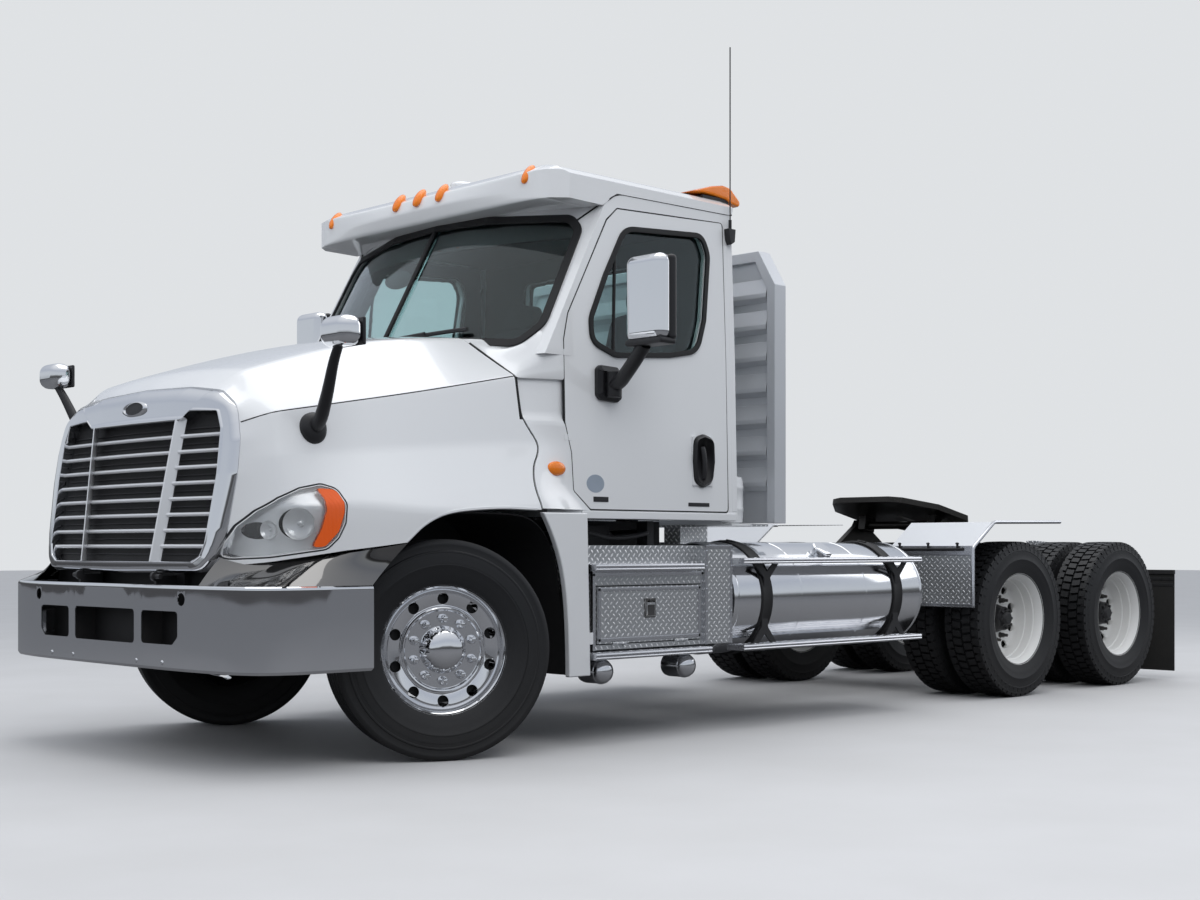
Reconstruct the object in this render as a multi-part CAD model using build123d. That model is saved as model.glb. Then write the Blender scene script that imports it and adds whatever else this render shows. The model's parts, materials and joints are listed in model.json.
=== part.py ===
from build123d import *
import os
from math import cos, hypot, radians, sin

# Lengths are in millimetres. X runs forward from the front axle, Y to the left, Z up from the ground.
# Every node is moved forward by shift_x() when it is written, so the box centre comes to the origin.

# Clearances
SEAT = 0.3
RUN = 6

# Running gear
TYRE_R = 510
WHEELBASE = 5410
TANDEM = 1320
KINGPIN_Y = 870
FRONT_X = -80
STEER_Y = 1025
STEER_W = 285
STEER_REST = -23.5
STEER_MAX = 40
DRIVE_W = 275
DUAL_Y = 905
DUAL_GAP = 340
BEAD_R = 286
FLANGE_R = 302
RIM_W = 226
DRUM_R = 200
NUT_PITCH = 143
ARM_LEN = 190
TIE_Z = 385

# Frame
RAIL_OUT = 430
RAIL_T = 10
RAIL_H = 270
RAIL_FLANGE = 85
RAIL_TOP = 1000
RAIL_FRONT = 950
RAIL_REAR = -6750

# Bumper
BUMPER_X = 1135
BUMPER_T = 6
BUMPER_BOTTOM = 440
BUMPER_TOP = 815
BUMPER_Y = 1200
BUMPER_END = 485

# Hood
HOOD_T = 14
HOOD_LOW = 985
HOOD_BACK = -350
HOOD_GAP = 8
HINGE_X = 1068
HINGE_Z = 850
FENDER_Y = 1203

# Cab
CAB_T = 45
CAB_FRONT = -640
CAB_REAR = -2055
CAB_FLOOR = 1130
CAB_BELT = 1980
CAB_TOP = 2800
CAB_LOW_Y = 1088
CAB_BELT_Y = 1070
CAB_TOP_Y = 1040
GLASS_LEAN = 0.555
NOSE_X = -376
ROOF_TOP = 2990
ROOF_T = 30
GLASS_T = 6
DOOR_GAP = 6
DOOR_HINGE_X = -764
DOOR_HINGE_Y = 1088

# Side equipment
TANK_R = 310
TANK_Y = 890
TANK_Z = 700
TANK_FRONT = -1720
TANK_REAR = -3660
BOX_FRONT = -870
BOX_REAR = -1680
BOX_Y = 1170
SIDE_Y = 1215
STEP_Z = 425
AIR_R = 70

# Rear equipment
RACK_X = -2420
RACK_TOP = 2660
DECK_Z = 1060
FLAP_X = -6866
FIFTH_X = -5100
FIFTH_Z = 1200
FIFTH_TILT = 12
JAW_R = 25.6


def rear_axles():
    """X of the two driven axles."""
    return (TANDEM / 2 - WHEELBASE, -TANDEM / 2 - WHEELBASE)


def shift_x():
    """Distance that brings the middle of the whole length to the origin."""
    return -(BUMPER_X + FLAP_X - 14) / 2


def slab(x0, x1, y0, y1, z0, z1):
    """Box between two corners."""
    size = (abs(x1 - x0), abs(y1 - y0), abs(z1 - z0))
    return Pos((x0 + x1) / 2, (y0 + y1) / 2, (z0 + z1) / 2) * Box(*size)


def outline(points, radius=0):
    """Closed face from points, its corners rounded when a radius is given."""
    if not radius:
        return make_face(Polyline(*points, close=True))
    return make_face(FilletPolyline(*points, radius=radius, close=True))


def prism_xz(points, y0, y1, radius=0):
    """Side-view outline pulled across from y0 to y1."""
    plane = Plane(origin=(0, y1, 0), x_dir=(1, 0, 0), z_dir=(0, -1, 0))
    return extrude(plane * outline(points, radius), y1 - y0)


def prism_yz(points, x0, x1, radius=0):
    """Front-view outline pulled along from x0 to x1."""
    plane = Plane(origin=(x0, 0, 0), x_dir=(0, 1, 0), z_dir=(1, 0, 0))
    return extrude(plane * outline(points, radius), x1 - x0)


def prism_xy(points, z0, z1, radius=0):
    """Plan outline pulled up from z0 to z1."""
    return extrude(Pos(0, 0, z0) * outline(points, radius), z1 - z0)


def rod(start, end, radius):
    """Round bar between two points."""
    a, b = Vector(start), Vector(end)
    plane = Plane(origin=a, z_dir=b - a)
    return extrude(plane * Circle(radius), (b - a).length)


def pipe(points, radius, bend):
    """Round bar bent along points."""
    path = FilletPolyline(*points, radius=bend)
    start = path.edges()[0]
    return sweep(Plane(origin=start @ 0, z_dir=start % 0) * Circle(radius), path=path)


def drum(x, z, radius, y0, y1):
    """Cylinder that lies across the truck."""
    return rod((x, y0, z), (x, y1, z), radius)


def ring(x, z, outer, inner, y0, y1):
    """Tube that lies across the truck."""
    return drum(x, z, outer, y0, y1) - drum(x, z, inner, y0 - 1, y1 + 1)


def turned(profile, x=0, z=0, radius=0):
    """Profile of (y, r) points spun about an axis across the truck at x, z."""
    face = Plane(origin=(x, 0, z), x_dir=(0, 1, 0), z_dir=(1, 0, 0)) * outline(profile, radius)
    return revolve(face, Axis((x, 0, z), (0, 1, 0)))


def flip(shape):
    """Copy on the other side of the truck."""
    return mirror(shape, about=Plane.XZ)


def pair(shape):
    """The shape and its copy on the other side."""
    return [shape, flip(shape)]


# Wheels


def tyre(width, y):
    """Tyre body with its shoulders, centred at y."""
    half = width / 2
    bead = RIM_W / 2 - 14
    right = [(half * 0.70, TYRE_R), (half * 0.84, TYRE_R - 10), (half * 0.96, TYRE_R - 55),
             (half, TYRE_R - 110), (half * 0.93, FLANGE_R + 24), (bead, FLANGE_R + 4), (bead, BEAD_R)]
    profile = right + [(-w, r) for w, r in reversed(right)]
    return turned([(y + w, r) for w, r in profile], 0, TYRE_R)


def rim_barrel(y, side):
    """Rim with its two flanges; side is +1 where the disc faces outward."""
    half = RIM_W / 2
    seat = BEAD_R - SEAT
    profile = [
        (-half, FLANGE_R), (-half + 11, FLANGE_R), (-half + 13, seat), (-half + 60, seat - 4),
        (-half + 80, seat - 24), (half - 80, seat - 24), (half - 60, seat - 4), (half - 13, seat),
        (half - 11, FLANGE_R), (half, FLANGE_R), (half, seat - 12), (half - 56, seat - 16),
        (half - 76, seat - 36), (-half + 76, seat - 36), (-half + 56, seat - 16), (-half, seat - 12),
    ]
    return turned([(y + side * w, r) for w, r in profile], 0, TYRE_R)


def hand_holes(count, pitch_r, hole_r, y0, y1):
    """Round holes through a wheel disc."""
    cut = []
    for i in range(count):
        a = radians(360 * i / count + 18)
        cut.append(drum(pitch_r * cos(a), TYRE_R + pitch_r * sin(a), hole_r, y0, y1))
    return cut


def wheel_nuts(y0, y1):
    """Ten nuts around a hub."""
    nuts = []
    for i in range(10):
        a = radians(36 * i)
        nuts.append(drum(NUT_PITCH * cos(a), TYRE_R + NUT_PITCH * sin(a), 17, y0, y1))
    return nuts


def steer_rim():
    """Polished front wheel: rim, near flush disc with ten hand holes, nuts, cap and brake drum."""
    edge = STEER_Y + RIM_W / 2
    inner = BEAD_R - SEAT - 30
    wheel = rim_barrel(STEER_Y, 1)
    disc = turned([(edge - 26, 0), (edge - 26, 120), (edge - 40, 165), (edge - 12, 205),
                   (edge - 30, inner + 20), (edge - 52, inner + 20), (edge - 34, 205), (edge - 62, 165),
                   (edge - 62, 0)], 0, TYRE_R)
    for hole in hand_holes(10, 222, 27, edge - 90, edge + 10):
        disc -= hole
    wheel += disc
    wheel += turned([(edge - 27, 0), (edge - 27, 92), (edge + 20, 84), (edge + 34, 60), (edge + 34, 0)],
                    0, TYRE_R)
    for nut in wheel_nuts(edge - 45, edge - 6):
        wheel += nut
    back = KINGPIN_Y + 60 + SEAT
    wheel += turned([(back, 0), (back, DRUM_R), (edge - 90, DRUM_R), (edge - 61, 150), (edge - 61, 0)],
                    0, TYRE_R)
    return [wheel]


def drive_rims(x):
    """Both deep wheels of one end of a driven axle, joined by their common hub."""
    inner = BEAD_R - SEAT - 30
    back = axle_end() + SEAT
    wheel = turned([(back, 0), (back, DRUM_R), (DUAL_Y - 60, DRUM_R), (DUAL_Y - 11, 150), (DUAL_Y - 11, 84),
                    (DUAL_Y + 90, 80), (DUAL_Y + 115, 62), (DUAL_Y + 115, 0)], 0, TYRE_R)
    for sign in (1, -1):
        y = DUAL_Y + sign * DUAL_GAP / 2
        far = DUAL_Y + sign * 12
        end = DUAL_Y + sign * 85
        wheel += rim_barrel(y, sign)
        wheel += turned([(DUAL_Y, 70), (DUAL_Y, 185), (end - sign * 12, inner + 20), (end, inner + 20),
                         (far, 185), (far, 70)], 0, TYRE_R)
    for nut in wheel_nuts(DUAL_Y + 11, DUAL_Y + 46):
        wheel += nut
    return [Pos(x, 0, 0) * wheel]


def drive_tyres(x):
    """Both tyres of one end of a driven axle."""
    return [Pos(x, 0, 0) * tyre(DRIVE_W, DUAL_Y + s * DUAL_GAP / 2) for s in (1, -1)]


def axle_end():
    """Y where a driven axle's tube ends, at the back of the brake drum."""
    return DUAL_Y - DUAL_GAP / 2 - DRIVE_W / 2 + 20


# Steering


def steered(shapes, side):
    """Shapes of the left front corner turned to the rest angle, on the side asked for."""
    done = []
    for shape in shapes:
        about = Pos(0, side * KINGPIN_Y, 0) * Rot(0, 0, STEER_REST) * Pos(0, -side * KINGPIN_Y, 0)
        base = shape if side > 0 else flip(shape)
        done.append(about * base)
    return done


def set_back(shapes):
    """Shapes of the front axle moved to its place under the arches."""
    return [Pos(FRONT_X, 0, 0) * s for s in shapes]


def knuckle():
    """Knuckle with its two ears, backing plate and steering arm."""
    y = KINGPIN_Y
    plate_y = y + 46
    top = TYRE_R + 62
    low = TYRE_R - 92
    body = Pos(0, y, top + SEAT + 15) * Cylinder(48, 30)
    body += slab(-46, 46, y, plate_y + 14, top + SEAT, top + SEAT + 30)
    body += Pos(0, y, low - SEAT - 15) * Cylinder(48, 30)
    body += slab(-46, 46, y, plate_y + 14, low - SEAT - 30, low - SEAT)
    body += drum(0, TYRE_R, 150, plate_y, plate_y + 14)
    body += slab(-ARM_LEN, 0, y - 18, y + 18, TIE_Z - 6, TIE_Z + 18)
    body += Pos(-ARM_LEN, y, TIE_Z + 6) * Cylinder(24, 24)
    body += Pos(0, y, (TIE_Z - 6 + low - SEAT - 15) / 2) * Cylinder(40, low - SEAT - 9 - TIE_Z)
    return [body]


def tie_rod():
    """Rod between the two steering arms, with its ball ends under the arms."""
    z = TIE_Z - 6 - SEAT - 22
    x = -ARM_LEN * cos(radians(STEER_REST))
    dy = -ARM_LEN * sin(radians(STEER_REST))
    ends = [Pos(x, s * KINGPIN_Y + dy, z + 4) * Cylinder(24, 36) for s in (1, -1)]
    bar = rod((x, -KINGPIN_Y + dy + 10, z), (x, KINGPIN_Y + dy - 10, z), 16)
    return [bar + ends[0] + ends[1]]


def front_axle():
    """Dropped beam with a boss for each kingpin."""
    low = TYRE_R - 92
    high = TYRE_R + 62
    pts = [(-KINGPIN_Y, low + 20), (-KINGPIN_Y, high - 20), (-KINGPIN_Y + 90, high - 45), (-600, 470),
           (600, 470), (KINGPIN_Y - 90, high - 45), (KINGPIN_Y, high - 20), (KINGPIN_Y, low + 20),
           (KINGPIN_Y - 60, low + 10), (620, 385), (-620, 385), (-KINGPIN_Y + 60, low + 10)]
    beam = prism_yz(pts, -42, 42)
    for s in (1, -1):
        beam += Pos(0, s * KINGPIN_Y, (low + high) / 2) * Cylinder(40, high - low)
    return [beam]


def front_springs():
    """Leaf packs over the axle with their hangers under the rails."""
    y0 = RAIL_OUT - RAIL_FLANGE
    base = RAIL_TOP - RAIL_H
    pts = [(-700, 690), (-650, 655), (-120, 600), (120, 600), (610, 655), (660, 690), (610, 675),
           (120, 642), (-120, 642), (-650, 675)]
    leaf = prism_xz(pts, y0, RAIL_OUT)
    shapes = [leaf, slab(-60, 60, y0, RAIL_OUT, 470, 600)]
    for x in (-700, 640):
        shapes.append(slab(x - 40, x + 40, y0, RAIL_OUT, 640, base) - leaf)
    return [s for shape in shapes for s in pair(shape)]


# Frame


def frame_rails():
    """Two channels, open to the inside, with a plate across each front end."""
    z0 = RAIL_TOP - RAIL_H
    y0 = RAIL_OUT - RAIL_FLANGE
    channel = slab(RAIL_REAR, RAIL_FRONT, y0, RAIL_OUT, z0, RAIL_TOP)
    channel -= slab(RAIL_REAR - 1, RAIL_FRONT + 1, y0 - 1, RAIL_OUT - RAIL_T, z0 + RAIL_T,
                    RAIL_TOP - RAIL_T)
    return pair(channel)


def crossmembers():
    """Channels and closing plates between the rails, the cab's mounts and the bumper's carriers."""
    inside = RAIL_OUT - RAIL_T
    z1 = RAIL_TOP - RAIL_T
    z0 = RAIL_TOP - RAIL_H + RAIL_T
    shapes = []
    for x in (-1600, -2700, -3800, rear_axles()[0] + 420, FIFTH_X - 270, rear_axles()[1] - 420,
              RAIL_REAR + 40):
        shapes.append(slab(x - 30, x + 30, -inside, inside, z0 + 20, z1 - 20)
                      - slab(x - 20, x + 31, -inside - 1, inside + 1, z0 + 32, z1 - 32))
    shapes.append(slab(600, 760, -inside, inside, 800, 880))
    for x in (-900, -1900):
        shapes += pair(slab(x - 55, x + 55, RAIL_OUT - 80, RAIL_OUT - 5, RAIL_TOP, CAB_FLOOR))
    y0 = RAIL_OUT - RAIL_FLANGE
    back = BUMPER_X - BUMPER_T - 34
    carrier = slab(RAIL_FRONT, RAIL_FRONT + 14, y0, RAIL_OUT, 470, RAIL_TOP)
    arm = slab(RAIL_FRONT + 14, BUMPER_X - BUMPER_T, 300, 330, 480, 800)
    arm += slab(RAIL_FRONT, RAIL_FRONT + 14, 300, y0, 480, 800)
    lug = slab(RAIL_FRONT + 14, HINGE_X, y0, y0 + 20, 790, HINGE_Z + 4)
    lug += drum(HINGE_X, HINGE_Z, 22, y0, y0 + 20)
    lug += drum(HINGE_X, HINGE_Z, 12, y0, y0 + 62)
    shapes += pair(carrier + arm + lug)
    return shapes


def bumper_plan():
    """Plan of the bumper's outer face, closed behind the front axle."""
    half = [(BUMPER_X, 480), (BUMPER_X - 24, 820), (BUMPER_X - 85, 1080), (BUMPER_X - 230, BUMPER_Y - 12),
            (BUMPER_END, BUMPER_Y), (-200, BUMPER_Y)]
    return half + [(x, -y) for x, y in reversed(half)]


def inset(points, by):
    """Plan points moved inward by the same distance in Y and X, kept open at the rear."""
    moved = []
    for x, y in points:
        moved.append((x - by, y - by if y > 0 else y + by))
    return moved


def bumper():
    """Chrome bumper: wrapped face with its openings, and a sloped upper tier at each side."""
    plan = bumper_plan()
    face = prism_xy(plan, BUMPER_BOTTOM, BUMPER_TOP, 60)
    face -= prism_xy(inset(plan, BUMPER_T), BUMPER_BOTTOM - 1, BUMPER_TOP + 1, 56)
    face -= slab(-300, BUMPER_END, -1300, 1300, 400, 1000)
    face -= prism_xz([(BUMPER_END - 1, 430), (BUMPER_END + 70, 430), (BUMPER_END - 1, 520)], -1300, 1300)
    for pts in bumper_openings():
        face -= prism_yz(pts, 900, 1200, 18)
    for s in (1, -1):
        face -= rod((900, s * 670, 762), (1300, s * 670, 762), 24)
    return [face] + tiers()


def bumper_openings():
    """Front-view outlines of the three air openings."""
    left = [(343, 565), (600, 565), (642, 600), (642, 715), (343, 715)]
    right = [(-y, z) for y, z in reversed(left)]
    return [[(-279, 560), (279, 560), (279, 718), (-279, 718)], left, right]


def tier_section(z_front, z_rear, points):
    """Closed outline on a plane that rises to the rear."""
    x0, x1 = 1000.0, 280.0
    lifted = [(x, y, z_front + (x0 - x) / (x0 - x1) * (z_rear - z_front)) for x, y in points]
    return make_face(Polyline(*lifted, close=True))


def tiers():
    """Sloped chrome panels from the bumper's top edge up to the hood's lower edge."""
    low = [(BUMPER_X - 40, 700), (BUMPER_X - 24, 820), (BUMPER_X - 85, 1080),
           (BUMPER_X - 230, BUMPER_Y - 12), (BUMPER_END, BUMPER_Y), (200, BUMPER_Y), (200, 700)]
    high = [(1020, 700), (1000, 850), (800, 1010), (560, 1150), (400, 1195), (200, BUMPER_Y), (200, 700)]
    gap = HOOD_LOW - 8
    shell = loft([tier_section(BUMPER_TOP, BUMPER_TOP, low), tier_section(gap - 75, gap, high)], ruled=True)
    cut = [(x - 8 if x > 300 else x - 80, y - 8 if y > 750 else y - 80) for x, y in low]
    cut_high = [(x - 8 if x > 300 else x - 80, y - 8 if y > 750 else y - 80) for x, y in high]
    core = loft([tier_section(BUMPER_TOP - 2, BUMPER_TOP - 2, cut),
                 tier_section(gap - 73, gap + 2, cut_high)], ruled=True)
    panel = shell - core
    panel -= prism_xz([(200 - 90, 700), (BUMPER_END, BUMPER_TOP - 5), (250, 1060), (110, 1060)], 0, 1400)
    panel -= slab(100, 1200, 600, 815, 700, 1100)
    return pair(panel)


# Hood


HOOD_SECTIONS = (
    # x, crown z, shoulder (y, z), crease (y, z), waist (y, z), flare (y, z), foot y
    (1110, 1640, (590, 1600), (790, 1500), (835, 1340), (840, 1140), 842),
    (900, 1760, (640, 1725), (900, 1552), (955, 1370), (985, 1150), 990),
    (560, 1880, (660, 1845), (975, 1615), (1035, 1400), (1150, 1170), 1160),
    (100, 2000, (680, 1960), (1000, 1697), (1060, 1440), (FENDER_Y - 5, 1150), FENDER_Y),
    (-480, 2072, (700, 2020), (1005, 1810), (1062, 1480), (FENDER_Y - 5, 1170), FENDER_Y),
    (-830, 2092, (700, 2040), (1015, 1880), (1078, 1500), (1112, 1190), 1118),
)
SECTION_RADII = (85, 22, 160, 60)


def hood_face(row, by):
    """One cross section of the hood, moved inward by a distance."""
    x, crown, shoulder, crease, waist, flare, foot = row
    low = 760 - by * 4
    half = [(shoulder[0] - by * 0.5, shoulder[1] - by), (crease[0] - by, crease[1] - by * 0.6),
            (waist[0] - by, waist[1]), (flare[0] - by, flare[1]), (foot - by, low)]
    pts = [(0, crown - by)] + half + [(-y, z) for y, z in reversed(half)]
    radii = [3000] + list(SECTION_RADII) + [0, 0] + list(reversed(SECTION_RADII))
    plane = Plane(origin=(x, 0, 0), x_dir=(0, 1, 0), z_dir=(1, 0, 0))
    return plane * make_face(FilletPolyline(*pts, radius=radii, close=True))


def hood_mass(by=0):
    """Solid outer form of the hood, or the same form smaller by a distance."""
    return loft([hood_face(row, by) for row in HOOD_SECTIONS], ruled=True)


def front_lean(x_low, x_high):
    """Everything ahead of the leaning plane behind the grille."""
    return prism_xz([(x_low, 600), (x_high, 1900), (1600, 1900), (1600, 600)], -1400, 1400)


def hood_window(grow=0):
    """Side-view outline kept by the hood: rear seam, arch and lower edge."""
    g = grow
    return [(1300, 840), (1000, 905), (600, HOOD_LOW), (285, HOOD_LOW), (200, 1080), (60, 1142),
            (-240, 1165), (-480, 1160), (-600 + g, 1160), (-598 + g, 1250), (-578 + g, 1470),
            (-516 + g, 1575), (-510 + g, 1940), (-800, 2000), (-800, 2300), (1300, 2300)]


def hood_shell():
    """Hood and both fenders as one thin skin, open below and behind."""
    skin = hood_mass() - hood_mass(HOOD_T)
    skin &= prism_xz(hood_window(), -1300, 1300)
    skin &= ahead_of(HOOD_BACK)
    skin -= front_lean(1040, 905)
    half = (skin & slab(-1000, 1500, 0, 1400, 0, 3000)) - lamp_prism(1, SEAT)
    return [half + flip(half) - grille_surround()[0]]


def ahead_of(x):
    """Everything ahead of a bowed line that crosses the middle at x."""
    back = ThreePointArc((x - 150, -1010), (x, 0), (x - 150, 1010))
    face = make_face([back, Line((x - 150, 1010), (x - 160, 1300)), Line((x - 160, 1300), (1600, 1300)),
                      Line((1600, 1300), (1600, -1300)), Line((1600, -1300), (x - 160, -1300)),
                      Line((x - 160, -1300), (x - 150, -1010))])
    return extrude(Pos(0, 0, 700) * face, 1700)


def cowl_skin():
    """Fixed skin between the hood's rear edge, the doors and the foot of the windshield."""
    skin = hood_mass() - hood_mass(2 * HOOD_T)
    keep = prism_xz([(HOOD_BACK, 1165), (HOOD_BACK, 2300), (-800, 2300), (-750, 2000), (-750, 1600),
                     (-790, 1470), (-795, 1250), (-830, 1165)], -1300, 1300)
    gone = prism_xz(hood_window(-HOOD_GAP), -1300, 1300) & ahead_of(HOOD_BACK - HOOD_GAP)
    return [(skin & keep) - gone - cab_mass()]


def lamp_outline():
    """Side-view outline of a headlight."""
    return [(1010, 985), (985, 1080), (925, 1160), (810, 1222), (705, 1243), (640, 1222), (618, 1160),
            (645, 1030), (745, 975), (915, 945)]


def lamp_prism(side, grow=0):
    """Headlight outline pulled through the hood's corner."""
    pts = lamp_outline()
    cx = sum(x for x, z in pts) / len(pts)
    cz = sum(z for x, z in pts) / len(pts)
    wide = []
    for x, z in pts:
        d = hypot(x - cx, z - cz)
        wide.append((x + (x - cx) / d * grow, z + (z - cz) / d * grow))
    y0, y1 = (700, 1300) if side > 0 else (-1300, -700)
    return prism_xz(wide, y0, y1, 14)


def headlights():
    """Lens shell and bowl of each headlight."""
    lens = (hood_mass() - hood_mass(5)) & lamp_prism(1)
    bowl = (hood_mass(40) - hood_mass(52)) & lamp_prism(1)
    rim = (hood_mass(5) - hood_mass(40)) & (lamp_prism(1) - lamp_prism(1, -8))
    return pair(lens) + pair(bowl + rim)


GRILLE_FACE = ((1094, 850), (965, 1720))


def grille_x(z, back=0):
    """X of the grille's leaning face at a height."""
    (x0, z0), (x1, z1) = GRILLE_FACE
    return x0 + (x1 - x0) * (z - z0) / (z1 - z0) - back


def grille_slice(points, front, back, radius):
    """Front-view outline between two planes that lean with the grille."""
    block = prism_yz(points, 700, 1300, radius)
    zs = (780, 1800)
    lean = [(grille_x(zs[0]) + front, zs[0]), (grille_x(zs[1]) + front, zs[1]),
            (grille_x(zs[1]) - back, zs[1]), (grille_x(zs[0]) - back, zs[0])]
    return block & prism_xz(lean, -1300, 1300)


def grille_surround():
    """Chrome frame around the grille, broad at the top where the badge sat."""
    outer = [(-790, 862), (790, 862), (838, 1000), (845, 1300), (815, 1560), (700, 1668), (-700, 1668),
             (-815, 1560), (-845, 1300), (-838, 1000)]
    inner = [(-655, 915), (655, 915), (724, 985), (722, 1300), (690, 1575), (470, 1585), (400, 1545),
             (-400, 1545), (-470, 1585), (-690, 1575), (-722, 1300), (-724, 985)]
    frame = grille_slice(outer, 0, 52, 55) - grille_slice(inner, 60, 80, 12)
    eye = []
    y0 = RAIL_OUT - RAIL_FLANGE + 20 + RUN
    for s in (1, -1):
        frame -= drum(HINGE_X, HINGE_Z, 30, s * (y0 - 40), s * (y0 + 50))
    for s in (1, -1):
        lug = drum(HINGE_X, HINGE_Z, 22, y0, y0 + 30)
        lug += slab(HINGE_X - 22, HINGE_X - 2, y0, y0 + 30, HINGE_Z, 900)
        lug -= drum(HINGE_X, HINGE_Z, 12 + SEAT, y0 - 1, y0 + 31)
        lug -= frame
        eye.append(lug if s > 0 else flip(lug))
    return [frame] + eye


def grille_bars():
    """Eight bars and two posts in front of a dark mesh."""
    shapes = []
    mesh = grille_slice([(-723, 918), (723, 918), (722, 1300), (690, 1574), (470, 1584), (400, 1544),
                         (-400, 1544), (-470, 1584), (-690, 1574), (-722, 1300)], -36, 44, 0)
    shapes.append(mesh)
    for i in range(8):
        z = 990 + i * 68
        half = 722 if z < 1300 else 722 - (z - 1300) * 0.112
        shapes.append(grille_slice([(-half, z - 9), (half, z - 9), (half, z + 9), (-half, z + 9)],
                                   -14, 36, 0))
    for s in (1, -1):
        post = [(s * 372, 918), (s * 396, 918), (s * 452, 1560), (s * 428, 1560)]
        shapes.append(grille_slice(post, -4, 14, 0))
    surround = grille_surround()[0]
    for i in range(len(shapes)):
        shapes[i] -= surround
    return shapes


def hood_mirrors():
    """Chrome mirror heads on black arms over each fender."""
    arm = pipe([(662, 985, 1500), (668, 1075, 1500), (690, 1150, 1640), (720, 1235, 1800), (728, 1290, 1850)],
               19, 30)
    pad = rod((660, 940, 1500), (664, 1012, 1500), 42)
    head = Pos(728, 1295, 1888) * scale(Sphere(100), by=(0.62, 1.0, 0.66))
    return pair(pad + arm - hood_mass()) + pair(head - arm)


# Cab


def cab_half(z):
    """Half width of the cab's outer skin at a height."""
    rows = ((CAB_FLOOR, CAB_LOW_Y), (CAB_BELT, CAB_BELT_Y), (CAB_TOP, CAB_TOP_Y))
    for (z0, y0), (z1, y1) in zip(rows, rows[1:]):
        if z <= z1:
            return y0 + (y1 - y0) * (z - z0) / (z1 - z0)
    return rows[-1][1]


def cab_front_view(by=0):
    """Front-view outline of the cab, smaller by a distance on every side."""
    rows = (CAB_FLOOR + by, CAB_BELT, CAB_TOP - by)
    right = [(cab_half(z) - by, z) for z in rows]
    return right + [(-y, z) for y, z in reversed(right)]


def cab_nose(by=0):
    """Upper cab: bowed plan leaned back along the windshield."""
    x0 = NOSE_X - by
    x1, x2 = x0 - 235, x0 - 262
    face = make_face([ThreePointArc((x1, -1000), (x0, 0), (x1, 1000)), Line((x1, 1000), (x2, 1150)),
                      Line((x2, 1150), (-3600, 1150)), Line((-3600, 1150), (-3600, -1150)),
                      Line((-3600, -1150), (x2, -1150)), Line((x2, -1150), (x1, -1000))])
    return extrude(Pos(0, 0, 1900) * face, amount=1100, dir=(-GLASS_LEAN, 0, 1))


def cab_mass(by=0):
    """Solid outer form of the cab, or the same form smaller by a distance."""
    side = prism_yz(cab_front_view(by), CAB_REAR + by, 200)
    lower = side & slab(CAB_REAR, CAB_FRONT - by, -1300, 1300, 1000, 1905)
    upper = side & cab_nose(by) & slab(CAB_REAR, 200, -1300, 1300, 1900, 3000)
    return lower + upper


def windshield_outline(grow=0):
    """Front-view outline of the windshield opening."""
    g = grow
    right = [(400, 2030 - g), (900, 1990 - g), (985 + g, 2085), (962 + g, 2590), (895, 2655 + g),
             (400, 2695 + g)]
    return [(0, 2042 - g)] + right + [(0, 2704 + g)] + [(-y, z) for y, z in reversed(right)]


def side_window_outline(grow=0):
    """Side-view outline of a door's window."""
    g = grow
    return [(-960 + g, 2015 - g), (-1125, 1960 - g), (-1534, 1993 - g), (-1740 - g, 2030 - g),
            (-1800 - g, 2203), (-1846 - g, 2560), (-1800 - g, 2655 + g), (-1215, 2615 + g),
            (-1068 + g, 2362), (-955 + g, 2130)]


def door_outline(grow=0):
    """Side-view outline of a door."""
    g = grow
    return [(-935 + g, 1172 - g), (-822 + g, 1262), (-812 + g, 1450), (-770 + g, 1600),
            (-770 + g, 2010), (-802 + g, 2140), (-1090 + g, 2644 + g), (-1165, 2712 + g),
            (-1975 - g, 2748 + g), (-1975 - g, 1172 - g)]


def rear_window_outline(grow=0):
    """Front-view outline of the back window."""
    g = grow
    return [(-620 - g, 2060 - g), (620 + g, 2060 - g), (600 + g, 2600 + g), (-600 - g, 2600 + g)]


def cab_shell():
    """Thin shell of the cab with every opening cut."""
    shell = cab_mass() - cab_mass(CAB_T)
    shell -= prism_yz(windshield_outline(), -1250, 200, 35)
    shell -= prism_yz(rear_window_outline(), CAB_REAR - 10, CAB_REAR + 200, 45)
    for y0, y1 in ((850, 1300), (-1300, -850)):
        shell -= prism_xz(door_outline(DOOR_GAP), y0, y1, 22)
    return shell


def cab_panels():
    """Cab shell split at the floor, back, roof, cowl and sides."""
    shell = cab_shell()
    floor_z = CAB_FLOOR + CAB_T
    back_x = CAB_REAR + CAB_T
    roof_z = CAB_TOP - CAB_T
    wide = 1300
    parts = {}
    parts["cab_floor"] = [shell & slab(-3000, 300, -wide, wide, 1000, floor_z)]
    rest = shell - slab(-3000, 300, -wide, wide, 1000, floor_z)
    parts["cab_back"] = [rest & slab(-3000, back_x, -wide, wide, 1000, 3000)]
    rest -= slab(-3000, back_x, -wide, wide, 1000, 3000)
    parts["cab_header"] = [rest & slab(-3000, 300, -wide, wide, roof_z - 12, 3000)]
    rest -= slab(-3000, 300, -wide, wide, roof_z - 12, 3000)
    cowl = slab(CAB_FRONT - 180, 300, -CAB_TOP_Y + 60, CAB_TOP_Y - 60, 1000, 2100)
    parts["cab_cowl"] = [rest & cowl]
    rest -= cowl
    parts["cab_side_left"] = [rest & slab(-3000, 300, 0, wide, 1000, 3000)]
    parts["cab_side_right"] = [rest & slab(-3000, 300, -wide, 0, 1000, 3000)]
    return parts


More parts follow.
